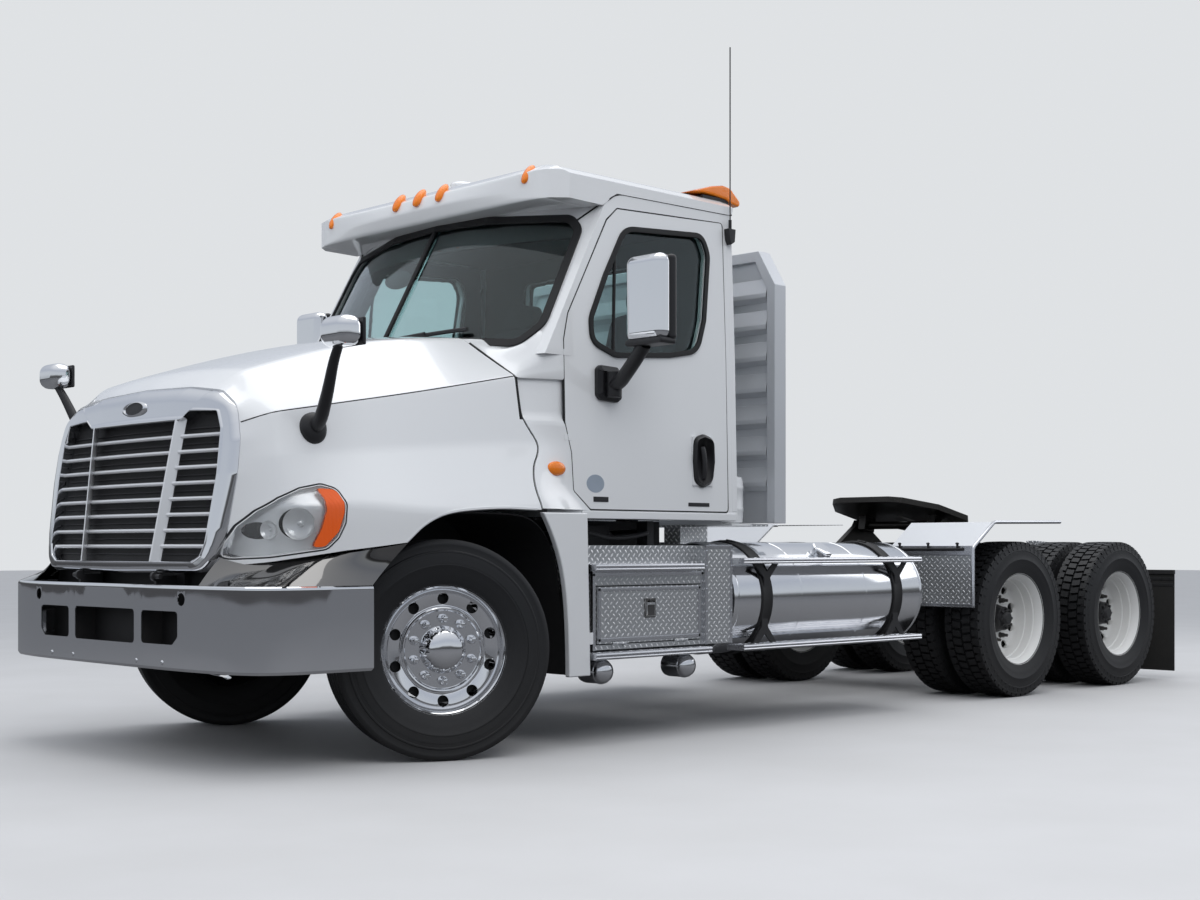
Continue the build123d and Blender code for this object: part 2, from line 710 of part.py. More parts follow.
def door_panel():
    """Left door: a slab of the cab's side with its window cut out."""
    skin = (cab_mass() - cab_mass(CAB_T)) & prism_xz(door_outline(), 850, 1300, 20)
    skin -= prism_xz(side_window_outline(), 850, 1300, 45)
    skin += slab(-1848, -1690, cab_half(1440) - 6, cab_half(1440) + 12, 1310, 1570)
    return skin


def door_hinges():
    """Hinges of the left door: their halves on the cab and their halves on the door."""
    x, y = DOOR_HINGE_X, DOOR_HINGE_Y
    beside = cab_mass(-SEAT) - prism_xz(door_outline(), 850, 1300, 20)
    fixed, moving = [], []
    for z in (1480, 1900):
        low = slab(x, x + 26, y - 46, y + 4, z, z + 30) + Pos(x, y, z + 15) * Cylinder(9, 30)
        fixed.append(low - cab_mass(2) - cowl_skin()[0])
        z += 30 + SEAT
        high = slab(x - 50, x, cab_half(z) - 3, y + 4, z, z + 30) + Pos(x, y, z + 15) * Cylinder(6, 30)
        moving.append(high - beside)
    return fixed, moving


def door_glass():
    """Left door's window."""
    sheet = cab_mass(18) - cab_mass(18 + GLASS_T)
    return sheet & prism_xz(side_window_outline(-SEAT), 850, 1300, 45 - SEAT)


def door_mirror():
    """Left door's mirror: base, bent arm and chrome head."""
    y = cab_half(1800)
    base = slab(-1150, -975, y - 4, y + 26, 1715, 1900)
    path = [(-1060, y + 10, 1800), (-1040, y + 110, 1800), (-1010, 1330, 1935), (-1005, 1395, 1975)]
    arm = pipe(path, 26, 40)
    head = slab(-1070, -950, 1300, 1560, 1965, 2410)
    head = fillet(head.edges(), 40)
    whole = base + arm - door_panel()
    return [whole, head - whole]


def windshield():
    """Two-piece windshield and the strip between its halves."""
    sheet = cab_mass(14) - cab_mass(14 + GLASS_T)
    glass = sheet & prism_yz(windshield_outline(-SEAT), -1250, 200, 35 - SEAT)
    strip = (cab_mass(2) - cab_mass(30)) & slab(-1250, 200, -11, 11, 2045, 2700)
    return [glass - slab(-1250, 200, -11, 11, 1900, 2800), strip]


def rear_window():
    """Back window."""
    x = CAB_REAR + 18
    return [prism_yz(rear_window_outline(-SEAT), x, x + GLASS_T, 45 - SEAT)]


def roof_cap():
    """Roof cap with its forward visor, hollow below."""
    side = [(-705, 2722), (-682, CAB_TOP), (-700, CAB_TOP + 56), (-800, CAB_TOP + 105), (-980, CAB_TOP + 150),
            (-1300, ROOF_TOP), (-1650, ROOF_TOP), (-2030, ROOF_TOP - 80), (CAB_REAR - 6, ROOF_TOP - 110),
            (CAB_REAR - 6, CAB_TOP), (-1160, CAB_TOP - 12), (-1060, 2715)]
    cap = prism_xz(side, -1200, 1200) & prism_yz(roof_arch(), -2200, -400) & roof_plan()
    side = [(-775, 2700), (-775, CAB_TOP + 25), (-860, CAB_TOP + 75), (-1010, CAB_TOP + 112),
            (-1310, ROOF_TOP - ROOF_T), (-1640, ROOF_TOP - ROOF_T), (-2010, ROOF_TOP - 80 - ROOF_T),
            (-2020, 2700)]
    hollow = prism_xz(side, -1200, 1200) & prism_yz(roof_arch(ROOF_T), -2200, -500) & roof_plan(ROOF_T + 10)
    return [cap - hollow - cab_mass()]


def roof_arch(by=0):
    """Front-view outline of the roof cap, or the same outline lower by a distance."""
    edge = CAB_TOP_Y + 6 - by
    left = [(edge, 2700), (edge, CAB_TOP + 68 - by), (900 - by, CAB_TOP + 115 - by),
            (750, CAB_TOP + 142 - by), (500, CAB_TOP + 168 - by), (180, ROOF_TOP - by)]
    return left + [(-y, z) for y, z in reversed(left)]


def roof_plan(by=0):
    """Plan of the roof cap with its bowed front, or the same plan smaller by a distance."""
    edge, y1 = CAB_TOP_Y + 6 - by, 960 - by
    x0, x1, x2, x3 = -675 - by, -735 - by, -800 - by, CAB_REAR - 6 + by
    face = make_face([ThreePointArc((x1, -y1), (x0, 0), (x1, y1)), Line((x1, y1), (x2, edge)),
                      Line((x2, edge), (x3, edge)), Line((x3, edge), (x3, -edge)),
                      Line((x3, -edge), (x2, -edge)), Line((x2, -edge), (x1, -y1))])
    return extrude(Pos(0, 0, 2650) * face, 500)


def amber_lamps():
    """Five lamps on the visor, one on each side of the cowl and a beacon on the roof's rear edge."""
    shapes = []
    cap = roof_cap()[0]
    for x, y in ((-672, 0), (-677, 185), (-677, -185), (-717, 830), (-717, -830)):
        shapes.append(slab(x - 60, x + 8, y - 48, y + 48, CAB_TOP + 42, CAB_TOP + 76) - cap)
    side = rod((-685, 1000, 1370), (-685, 1300, 1370), 38)
    shapes += pair((hood_mass(-9) & side) - hood_mass())
    shapes.append(slab(-2050, -1880, 780, 1000, ROOF_TOP - 110, ROOF_TOP - 5) - cap)
    return shapes


def cab_fittings():
    """Whip antenna on its black base at the left rear corner, and two parked wipers."""
    y = cab_half(2630) + SEAT
    shapes = [slab(-2047, -1987, y, y + 36, 2630, 2720), rod((-2016, y + 20, 2720), (-2016, y + 20, 3715), 4)]
    cowl = cowl_skin()[0]
    for s in (1, -1):
        arm = rod((-516, s * 560, 2056), (-436, s * 60, 2056), 8)
        arm += rod((-436, s * 60, 2056), (-430, s * 60, 1985), 11)
        shapes.append(arm - cowl - cab_mass())
    return shapes


def interior():
    """Seats, dash and steering wheel."""
    seat = []
    for s in (1, -1):
        y = s * 520
        base = slab(-1800, -1330, y - 200, y + 200, CAB_FLOOR + CAB_T, 1480)
        cushion = slab(-1830, -1290, y - 250, y + 250, 1480, 1610)
        back = prism_xz([(-1720, 1610), (-1830, 1610), (-1960, 2260), (-1850, 2290)], y - 240, y + 240, 30)
        head = slab(-1965, -1870, y - 130, y + 130, 2280, 2460) - back
        seat += [base, cushion, back, head]
    dash = prism_xz([(CAB_FRONT - CAB_T - 15, 1960), (-1000, 1900), (-1060, 1700), (-960, 1500),
                     (CAB_FRONT - CAB_T - 15, 1450)], -990, 990)
    dash &= cab_mass(CAB_T + RUN)
    for y in (-300, 300):
        dash += slab(CAB_FRONT - CAB_T - 16, CAB_FRONT - CAB_T, y - 40, y + 40, 1550, 1650)
    centre = Plane(origin=(-1190, 520, 1790), z_dir=(-0.75, 0, 0.66))
    wheel = centre * Torus(215, 14) + centre * Cylinder(45, 30) + centre * Box(400, 30, 12)
    column = rod((-1188, 520, 1788), (-1020, 520, 1640), 28)
    return seat, [dash, wheel + column - dash]


# Engine


def engine():
    """One plain block for the engine and its gearbox, with mounts to the rails."""
    shapes = [slab(-450, 520, -330, 330, 780, 1640)]
    shapes.append(slab(-1350, -450, -210, 210, 640, 1060))
    side = RAIL_OUT - RAIL_T
    mounts = [slab(150, 290, 330, side, 800, 900), slab(-340, -200, 330, side, 800, 900)]
    for m in mounts:
        shapes += pair(m)
    return shapes


def radiator():
    """Radiator core on the front cross member."""
    core = slab(640, 720, -480, 480, RAIL_TOP, 1580) + slab(640, 720, -335, 335, 880, RAIL_TOP)
    return [core]


def drive_shaft():
    """Shaft from the gearbox to the tandem, and between its axles."""
    a, b = rear_axles()
    front = rod((-1353, 0, 690), (a + 300, 0, 610), 52)
    rear = rod((a - 150, 0, 590), (b + 300, 0, 610), 45)
    for axle in drive_axles():
        front -= axle
        rear -= axle
    return [front, rear]


# Rear running gear


def drive_axles():
    """Two driven axles with their bowls."""
    shapes = []
    for x in rear_axles():
        tube = drum(x, TYRE_R, 72, -axle_end(), axle_end())
        bowl = Pos(x, 0, TYRE_R) * Sphere(190)
        nose = rod((x, 0, TYRE_R + 50), (x + 300, 0, 610), 80)
        shapes.append(tube + bowl + nose)
    return shapes


def rear_suspension():
    """Trailing beams, hangers and air springs at each driven axle."""
    shapes = []
    y0 = RAIL_OUT - RAIL_FLANGE
    z1 = RAIL_TOP - RAIL_H
    for x in rear_axles():
        beam = prism_xz([(x + 430, 560), (x + 430, 620), (x + 90, 440), (x - 380, 430), (x - 380, 370),
                         (x + 90, 370)], y0, RAIL_OUT)
        beam -= drum(x, TYRE_R, 72, y0 - 1, RAIL_OUT + 1)
        hanger = slab(x + 360, x + 460, y0, RAIL_OUT, 540, z1) - beam
        bag = rod((x - 280, y0 + 30, 431), (x - 280, y0 + 30, z1), 120)
        seat = slab(x - 60, x + 60, y0, RAIL_OUT, 425, TYRE_R) - beam
        seat -= drum(x, TYRE_R, 72, y0 - 1, RAIL_OUT + 1)
        shapes += pair(beam) + pair(hanger) + pair(bag) + pair(seat)
    return shapes


# Side equipment


def skirt():
    """Fixed panel behind each front wheel."""
    pts = [(-505, 1148), (-800, 1148), (-820, 350), (-676, 350), (-670, 640), (-626, 930), (-560, 1060)]
    return prism_xz(pts, SIDE_Y - 40, SIDE_Y - 6)


def skirts():
    """Both fixed panels with a stay to the side boxes."""
    stay = slab(BOX_FRONT, -790, 1100, SIDE_Y - 40, 500, 560)
    return pair(skirt() + stay)


def tool_box():
    """Left tool box: hollow body open at its hinged panel, with both steps."""
    body = slab(BOX_REAR, BOX_FRONT, 700, BOX_Y, 470, 850)
    body -= slab(BOX_REAR + 20, BOX_FRONT - 20, 720, BOX_Y + 1, 495, 790)
    body += slab(BOX_REAR, BOX_FRONT, 700, 1100, 850, 990)
    for x in HINGE_SPOTS:
        for x0, x1 in ((x - 50, x - 30 - SEAT), (x + 30 + SEAT, x + 50)):
            body += rod((x0, BOX_Y + 6, 495 + RUN), (x1, BOX_Y + 6, 495 + RUN), 7)
            body += slab(x0, x1, BOX_Y, BOX_Y + 6, 480, 496)
    cover = slab(BOX_REAR - 215, BOX_REAR, 760, SIDE_Y - 30, 470, 990)
    hanger = slab(-1500, -1440, RAIL_OUT, 700, 780, 960) + slab(-1100, -1040, RAIL_OUT, 700, 780, 960)
    return [body, cover, hanger]


def box_steps():
    """Upper and lower treads at the tool box."""
    upper = slab(BOX_REAR + 60, BOX_FRONT + 40, 1100, SIDE_Y + 25, 862, 900)
    lower = slab(BOX_REAR, BOX_FRONT + 40, 1000, SIDE_Y + 25, STEP_Z, STEP_Z + 37)
    link = slab(-1500, -1460, 1020, 1060, STEP_Z + 37, 470) + slab(-1100, -1060, 1020, 1060, STEP_Z + 37, 470)
    shelf = slab(BOX_REAR + 60, BOX_FRONT, 1100, BOX_Y, 850, 862)
    return [upper, shelf, lower, link]


HINGE_SPOTS = (-1500, -1050)


def toolbox_door():
    """Hinged panel of the tool box with its latch."""
    panel = slab(BOX_REAR + 20 + RUN, BOX_FRONT - 20 - RUN, BOX_Y - 14, BOX_Y + 6, 495 + RUN, 790 - RUN)
    latch = slab(-1300, -1240, BOX_Y + 6, BOX_Y + 16, 640, 700)
    for x in HINGE_SPOTS:
        panel -= rod((x - 52, BOX_Y + 6, 495 + RUN), (x + 52, BOX_Y + 6, 495 + RUN), 8)
        panel += rod((x - 30, BOX_Y + 6, 495 + RUN), (x + 30, BOX_Y + 6, 495 + RUN), 7)
        panel += slab(x - 30, x + 30, BOX_Y - 8, BOX_Y + 6, 495 + RUN, 510)
    return [panel + latch]


def battery_box():
    """Closed box with its steps on the right side."""
    return [flip(s) for s in (slab(BOX_REAR, BOX_FRONT, 700, BOX_Y, 470, 850),
                              slab(BOX_REAR, BOX_FRONT, 700, 1100, 850, 990),
                              slab(BOX_REAR - 215, BOX_REAR, 760, SIDE_Y - 30, 470, 990),
                              slab(-1500, -1440, RAIL_OUT, 700, 780, 960),
                              slab(-1100, -1040, RAIL_OUT, 700, 780, 960))]


def tank():
    """Left fuel tank."""
    body = rod((TANK_REAR, TANK_Y, TANK_Z), (TANK_FRONT - 180, TANK_Y, TANK_Z), TANK_R)
    return body


def tank_mounts():
    """Left tank's straps, its brackets to the rail and its two treads."""
    shapes = []
    for x in (-2170, -3380):
        strap = rod((x - 26, TANK_Y, TANK_Z), (x + 26, TANK_Y, TANK_Z), TANK_R + 8)
        strap -= rod((x - 40, TANK_Y, TANK_Z), (x + 40, TANK_Y, TANK_Z), TANK_R)
        bracket = slab(x - 40, x + 40, RAIL_OUT, TANK_Y, 700, 960)
        bracket -= rod((x - 60, TANK_Y, TANK_Z), (x + 60, TANK_Y, TANK_Z), TANK_R + 4)
        shapes.append(strap + bracket)
    return shapes


def tank_steps():
    """Two long treads outside the left tank with their stays."""
    shapes = [slab(-3570, -1930, 1150, SIDE_Y + 30, 890, 925),
              slab(-3570, -1930, 1120, SIDE_Y + 30, STEP_Z, STEP_Z + 35)]
    for x in (-2170, -3380):
        for z0, z1 in ((870, 890), (STEP_Z + 35, STEP_Z + 65)):
            stay = slab(x - 20, x + 20, 1040, 1230, z0, z1)
            shapes.append(stay - rod((x - 60, TANK_Y, TANK_Z), (x + 60, TANK_Y, TANK_Z), TANK_R + 8))
    return shapes


def air_tanks():
    """Two air reservoirs under the steps on the left."""
    z = STEP_Z - AIR_R - SEAT
    return [rod((x, 1010, z), (x, 1200, z), AIR_R) for x in (-950, -1560)]


# Deck and rack


def deck_plate():
    """Tread plates over the rails behind the cab."""
    return [slab(-3160, -2560, -RAIL_OUT - 120, RAIL_OUT + 120, RAIL_TOP, RAIL_TOP + 12),
            slab(-2540, -2300, -900, 900, DECK_Z + 40, DECK_Z + 55),
            slab(-2540, -2300, 300, RAIL_OUT, RAIL_TOP, DECK_Z + 40),
            slab(-2540, -2300, -RAIL_OUT, -300, RAIL_TOP, DECK_Z + 40)]


def cab_guard():
    """Aluminium rack behind the cab with five louvred ribs."""
    z0 = DECK_Z + 55
    pts = [(-1080, z0), (1080, z0), (1080, 2460), (960, RACK_TOP), (-960, RACK_TOP), (-1080, 2460)]
    panel = prism_yz(pts, RACK_X - 6, RACK_X + 6)
    frame = prism_yz(pts, RACK_X - 60, RACK_X + 40)
    hole = [(-1020, z0 - 1), (1020, z0 - 1), (1020, 2435), (935, RACK_TOP - 60), (-935, RACK_TOP - 60),
            (-1020, 2435)]
    frame -= prism_yz(hole, RACK_X - 80, RACK_X + 60)
    rack = panel + frame
    for i in range(5):
        z = 1560 + i * 210
        rack += prism_xz([(RACK_X + 6, z), (RACK_X + 40, z + 20), (RACK_X + 40, z + 50), (RACK_X + 6, z + 150)],
                         -1020, 1020)
    return [rack]


def quarter_fenders():
    """Tread-plate fenders ahead of and over the first pair of duals."""
    x = rear_axles()[0]
    top = [(x + 600, 600), (x + 600, 975), (x + 360, 1140), (x - 450, 1150), (x - 450, 1145), (x + 358, 1134),
           (x + 594, 972), (x + 594, 600)]
    plate = prism_xz(top, 590, 1235)
    plate_stay = slab(x + 380, x + 594, RAIL_OUT, 640, 930, 965)
    return pair(plate + plate_stay)


def mud_flaps():
    """Flaps behind the last duals on their hangers."""
    flap = slab(FLAP_X - 4, FLAP_X + 4, 600, 1210, 60, 780)
    bar = slab(FLAP_X - 14, FLAP_X + 14, RAIL_OUT - 60, 1210, 780, 812)
    tie = slab(FLAP_X + 14, RAIL_REAR, RAIL_OUT - 60, RAIL_OUT, 780, 812)
    return pair(flap), pair(bar + tie)


def tail_lights():
    """Lamp bar across the rear end of the frame."""
    bar = slab(RAIL_REAR - 40, RAIL_REAR, -430, 430, 850, 960)
    lamps = [slab(RAIL_REAR - 62, RAIL_REAR - 40, y - 50, y + 50, 870, 940) for y in (-340, -220, 220, 340)]
    return [bar], lamps


def fifth_wheel_base():
    """Brackets of the coupling on the rails and its cross pin."""
    shapes = []
    side = prism_xz([(FIFTH_X - 280, RAIL_TOP), (FIFTH_X + 280, RAIL_TOP), (FIFTH_X + 70, FIFTH_Z - 62),
                     (FIFTH_X + 40, FIFTH_Z - 20), (FIFTH_X - 40, FIFTH_Z - 20),
                     (FIFTH_X - 70, FIFTH_Z - 62)], 345, 385)
    pin = drum(FIFTH_X, FIFTH_Z - 60, 28, -384, 384)
    shapes += pair(side)
    base = slab(FIFTH_X - 280, FIFTH_X + 280, -384, 384, RAIL_TOP, RAIL_TOP + 12)
    return [shapes[0] + shapes[1] + pin + base]


def fifth_wheel_plate():
    """Horseshoe plate, its jaw open to the rear through a throat, rocking on the cross pin."""
    half = [(470, 300 - 90), (430, 300), (200, 450), (-150, 460), (-470, 260), (-440, 150), (-180, JAW_R)]
    full = [(FIFTH_X + x, y) for x, y in half] + [(FIFTH_X + x, -y) for x, y in reversed(half)]
    plate = prism_xy(full, FIFTH_Z, FIFTH_Z + 40)
    plate -= slab(FIFTH_X - 200, FIFTH_X, -JAW_R, JAW_R, FIFTH_Z - 1, FIFTH_Z + 41)
    plate -= rod((FIFTH_X, 0, FIFTH_Z - 1), (FIFTH_X, 0, FIFTH_Z + 41), JAW_R)
    ear = slab(FIFTH_X - 60, FIFTH_X + 60, 270, 330, FIFTH_Z - 100, FIFTH_Z)
    whole = plate + ear + flip(ear)
    whole -= drum(FIFTH_X, FIFTH_Z - 60, 28 + SEAT, -400, 400)
    tilt = Pos(FIFTH_X, 0, FIFTH_Z - 60) * Rot(0, -FIFTH_TILT, 0) * Pos(-FIFTH_X, 0, -(FIFTH_Z - 60))
    return [tilt * whole]


def ramps():
    """Sloped guide plates at the rear ends of the rails."""
    pts = [(RAIL_REAR, RAIL_TOP), (RAIL_REAR + 520, RAIL_TOP), (RAIL_REAR + 520, RAIL_TOP + 30),
           (RAIL_REAR, RAIL_TOP + 4)]
    return pair(prism_xz(pts, 345, 429))


def canister():
    """White reservoir on its shelf behind the cab."""
    body = rod((-2200, 800, 1110), (-2200, 800, 1380), 62)
    shelf = slab(-2300, -2130, 700, 880, 1100, 1115)
    return [body + shelf]


# Output


def nodes():
    """Every node's name with its solids."""
    table = {}
    a, b = rear_axles()
    table["frame_rails"] = frame_rails()
    table["crossmembers"] = crossmembers()
    table["front_axle"] = set_back(front_axle() + front_springs())
    table["drive_axles"] = drive_axles() + drive_shaft()
    table["rear_suspension"] = rear_suspension()
    table["engine"] = engine() + radiator()
    table["bumper"] = bumper()
    table["hood_shell"] = hood_shell()
    table["headlights"] = headlights()
    table["grille_surround"] = grille_surround()
    table["grille_bars"] = grille_bars()
    table["hood_mirrors"] = hood_mirrors()
    panels = cab_panels()
    header = panels.pop("cab_header")
    table.update(panels)
    table["cab_cowl"] += cowl_skin()
    table["cab_glass"] = windshield() + rear_window()
    table["roof_cap"] = roof_cap() + header
    table["cab_fittings"] = cab_fittings()
    table["seats"], table["dashboard"] = interior()
    fixed, moving = door_hinges()
    table["cab_side_left"][0] += fixed
    table["cab_side_right"][0] += [flip(h) for h in fixed]
    panel, glass, mirror_set = door_panel() + moving, door_glass(), door_mirror()
    for side, name in ((1, "left"), (-1, "right")):
        table[f"door_panel_{name}"] = [panel if side > 0 else flip(panel)]
        table[f"door_glass_{name}"] = [glass if side > 0 else flip(glass)]
        table[f"door_mirror_{name}"] = [s if side > 0 else flip(s) for s in mirror_set]
    table["skirts"] = skirts()
    table["side_boxes"] = tool_box() + battery_box()
    table["toolbox_door"] = toolbox_door()
    table["side_steps"] = [s for shape in box_steps() + tank_steps() for s in pair(shape)]
    table["fuel_tanks"] = pair(tank())
    table["tank_mounts"] = [s for shape in tank_mounts() for s in pair(shape)]
    table["reservoirs"] = air_tanks() + canister()
    table["deck_plates"] = deck_plate() + ramps()
    table["cab_guard"] = cab_guard()
    table["quarter_fenders"] = quarter_fenders()
    flaps, hangers = mud_flaps()
    table["mud_flaps"] = flaps
    table["crossmembers"] += hangers
    bar, lamps = tail_lights()
    table["crossmembers"] += bar
    table["lamps"] = amber_lamps() + lamps
    table["fifth_wheel_base"] = fifth_wheel_base()
    table["fifth_wheel_plate"] = fifth_wheel_plate()
    table["tie_rod"] = set_back(tie_rod())
    for side, name in ((1, "left"), (-1, "right")):
        table[f"knuckle_{name}"] = set_back(steered(knuckle(), side))
        table[f"steer_tyre_{name}"] = set_back(steered([tyre(STEER_W, STEER_Y)], side))
        table[f"steer_rim_{name}"] = set_back(steered(steer_rim(), side))
        for number, x in ((1, a), (2, b)):
            tyres, rims = drive_tyres(x), drive_rims(x)
            table[f"drive_tyres_{number}_{name}"] = tyres if side > 0 else [flip(s) for s in tyres]
            table[f"drive_rims_{number}_{name}"] = rims if side > 0 else [flip(s) for s in rims]
    return table


def main():
    """Write one file a node."""
    os.makedirs("parts", exist_ok=True)
    move = Pos(shift_x(), 0, 0)
    for name, shapes in nodes().items():
        solids = []
        for shape in shapes:
            solids += [move * s for s in shape.solids()]
        if not solids:
            print("EMPTY", name)
            continue
        export_step(Compound(children=solids), f"parts/{name}.step")
        print(name, len(solids))


if __name__ == "__main__":
    main()
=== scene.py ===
"""Looks of a white day-cab tractor unit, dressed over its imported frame."""

import json
import logging
import math
from contextlib import contextmanager
from dataclasses import dataclass
from enum import Enum
from typing import Callable, Iterator, Optional, Sequence

import bpy
import numpy as np
from mathutils import Matrix, Vector

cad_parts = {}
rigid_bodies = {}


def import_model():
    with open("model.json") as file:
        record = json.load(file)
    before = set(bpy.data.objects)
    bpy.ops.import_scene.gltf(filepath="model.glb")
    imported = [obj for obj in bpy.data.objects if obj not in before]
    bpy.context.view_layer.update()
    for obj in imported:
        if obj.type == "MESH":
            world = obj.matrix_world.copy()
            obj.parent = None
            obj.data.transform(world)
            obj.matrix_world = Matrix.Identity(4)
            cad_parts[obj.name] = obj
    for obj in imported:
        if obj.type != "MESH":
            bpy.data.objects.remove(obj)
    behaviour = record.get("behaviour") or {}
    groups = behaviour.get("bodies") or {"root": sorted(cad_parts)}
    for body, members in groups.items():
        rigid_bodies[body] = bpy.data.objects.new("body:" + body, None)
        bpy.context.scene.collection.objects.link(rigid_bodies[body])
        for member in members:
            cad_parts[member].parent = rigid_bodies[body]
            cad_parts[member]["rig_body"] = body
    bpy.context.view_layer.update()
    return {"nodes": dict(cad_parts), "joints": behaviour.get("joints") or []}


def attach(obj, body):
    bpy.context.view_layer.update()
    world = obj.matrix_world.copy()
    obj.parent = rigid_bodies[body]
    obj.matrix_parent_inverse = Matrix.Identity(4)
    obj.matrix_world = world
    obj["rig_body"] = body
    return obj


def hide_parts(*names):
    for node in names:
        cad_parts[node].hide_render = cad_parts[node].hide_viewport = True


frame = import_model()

JOINTS = {joint["name"]: joint for joint in frame["joints"]}
AXLE_X = JOINTS["drive_1_left_spin"]["pos_m"][0] + 4.750

# turns of a piece that was spun round the Y axis, so that it stands up or looks ahead
UPRIGHT = Matrix.Rotation(math.pi / 2, 4, "X")
AHEAD = Matrix.Rotation(-math.pi / 2, 4, "Z")

Point = Sequence[float]
Outline = Sequence[Sequence[float]]
log = logging.getLogger("tractor")


class Side(Enum):
    """Side of the truck, as the sign of its Y."""

    LEFT = 1
    RIGHT = -1

    @property
    def word(self) -> str:
        """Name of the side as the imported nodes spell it."""
        return self.name.lower()


class Relief(Enum):
    """Kind of fine relief that a finish carries."""

    PEEL = "peel"
    GRAIN = "grain"
    BRUSHED = "brushed"
    CAST = "cast"
    TREAD_PLATE = "tread plate"
    WEAVE = "weave"
    FLUTES = "flutes"


class Graph:
    """A node tree with short calls that add and join its nodes."""

    def __init__(self, tree: bpy.types.NodeTree) -> None:
        """Keeps the tree that the calls write to."""
        self.tree = tree

    def add(self, kind: str, inputs: Optional[dict] = None, **settings: object) -> bpy.types.Node:
        """Adds a node, fills its sockets and links those given as sockets.

        Args:
            kind: Blender's type name of the node.
            inputs: Socket name or number to a value or to another node's socket.
            **settings: Plain properties of the node.

        Returns:
            The new node.
        """
        node = self.tree.nodes.new(kind)
        for key, value in settings.items():
            setattr(node, key, value)
        for key, value in (inputs or {}).items():
            if isinstance(value, bpy.types.NodeSocket):
                self.tree.links.new(value, node.inputs[key])
            else:
                node.inputs[key].default_value = value
        return node

    def math(self, operation: str, *values: object, clamp: bool = False) -> bpy.types.NodeSocket:
        """Adds a Math node and returns its output.

        Args:
            operation: The node's operation.
            *values: Numbers or sockets, in the node's order.
            clamp: Whether the result is kept between 0 and 1.

        Returns:
            The output socket.
        """
        inputs = dict(enumerate(values))
        return self.add("ShaderNodeMath", inputs, operation=operation, use_clamp=clamp).outputs[0]

    def blend(self, factor: object, first: object, second: object) -> bpy.types.NodeSocket:
        """Mixes two colours by a factor.

        Args:
            factor: Number or socket from 0 to 1.
            first: Colour or socket at factor 0.
            second: Colour or socket at factor 1.

        Returns:
            The mixed colour's socket.
        """
        node = self.add("ShaderNodeMix", data_type="RGBA")
        for socket, value in ((node.inputs["Factor"], factor), (node.inputs[6], first),
                              (node.inputs[7], second)):
            if isinstance(value, bpy.types.NodeSocket):
                self.tree.links.new(value, socket)
            else:
                socket.default_value = value
        return node.outputs[2]


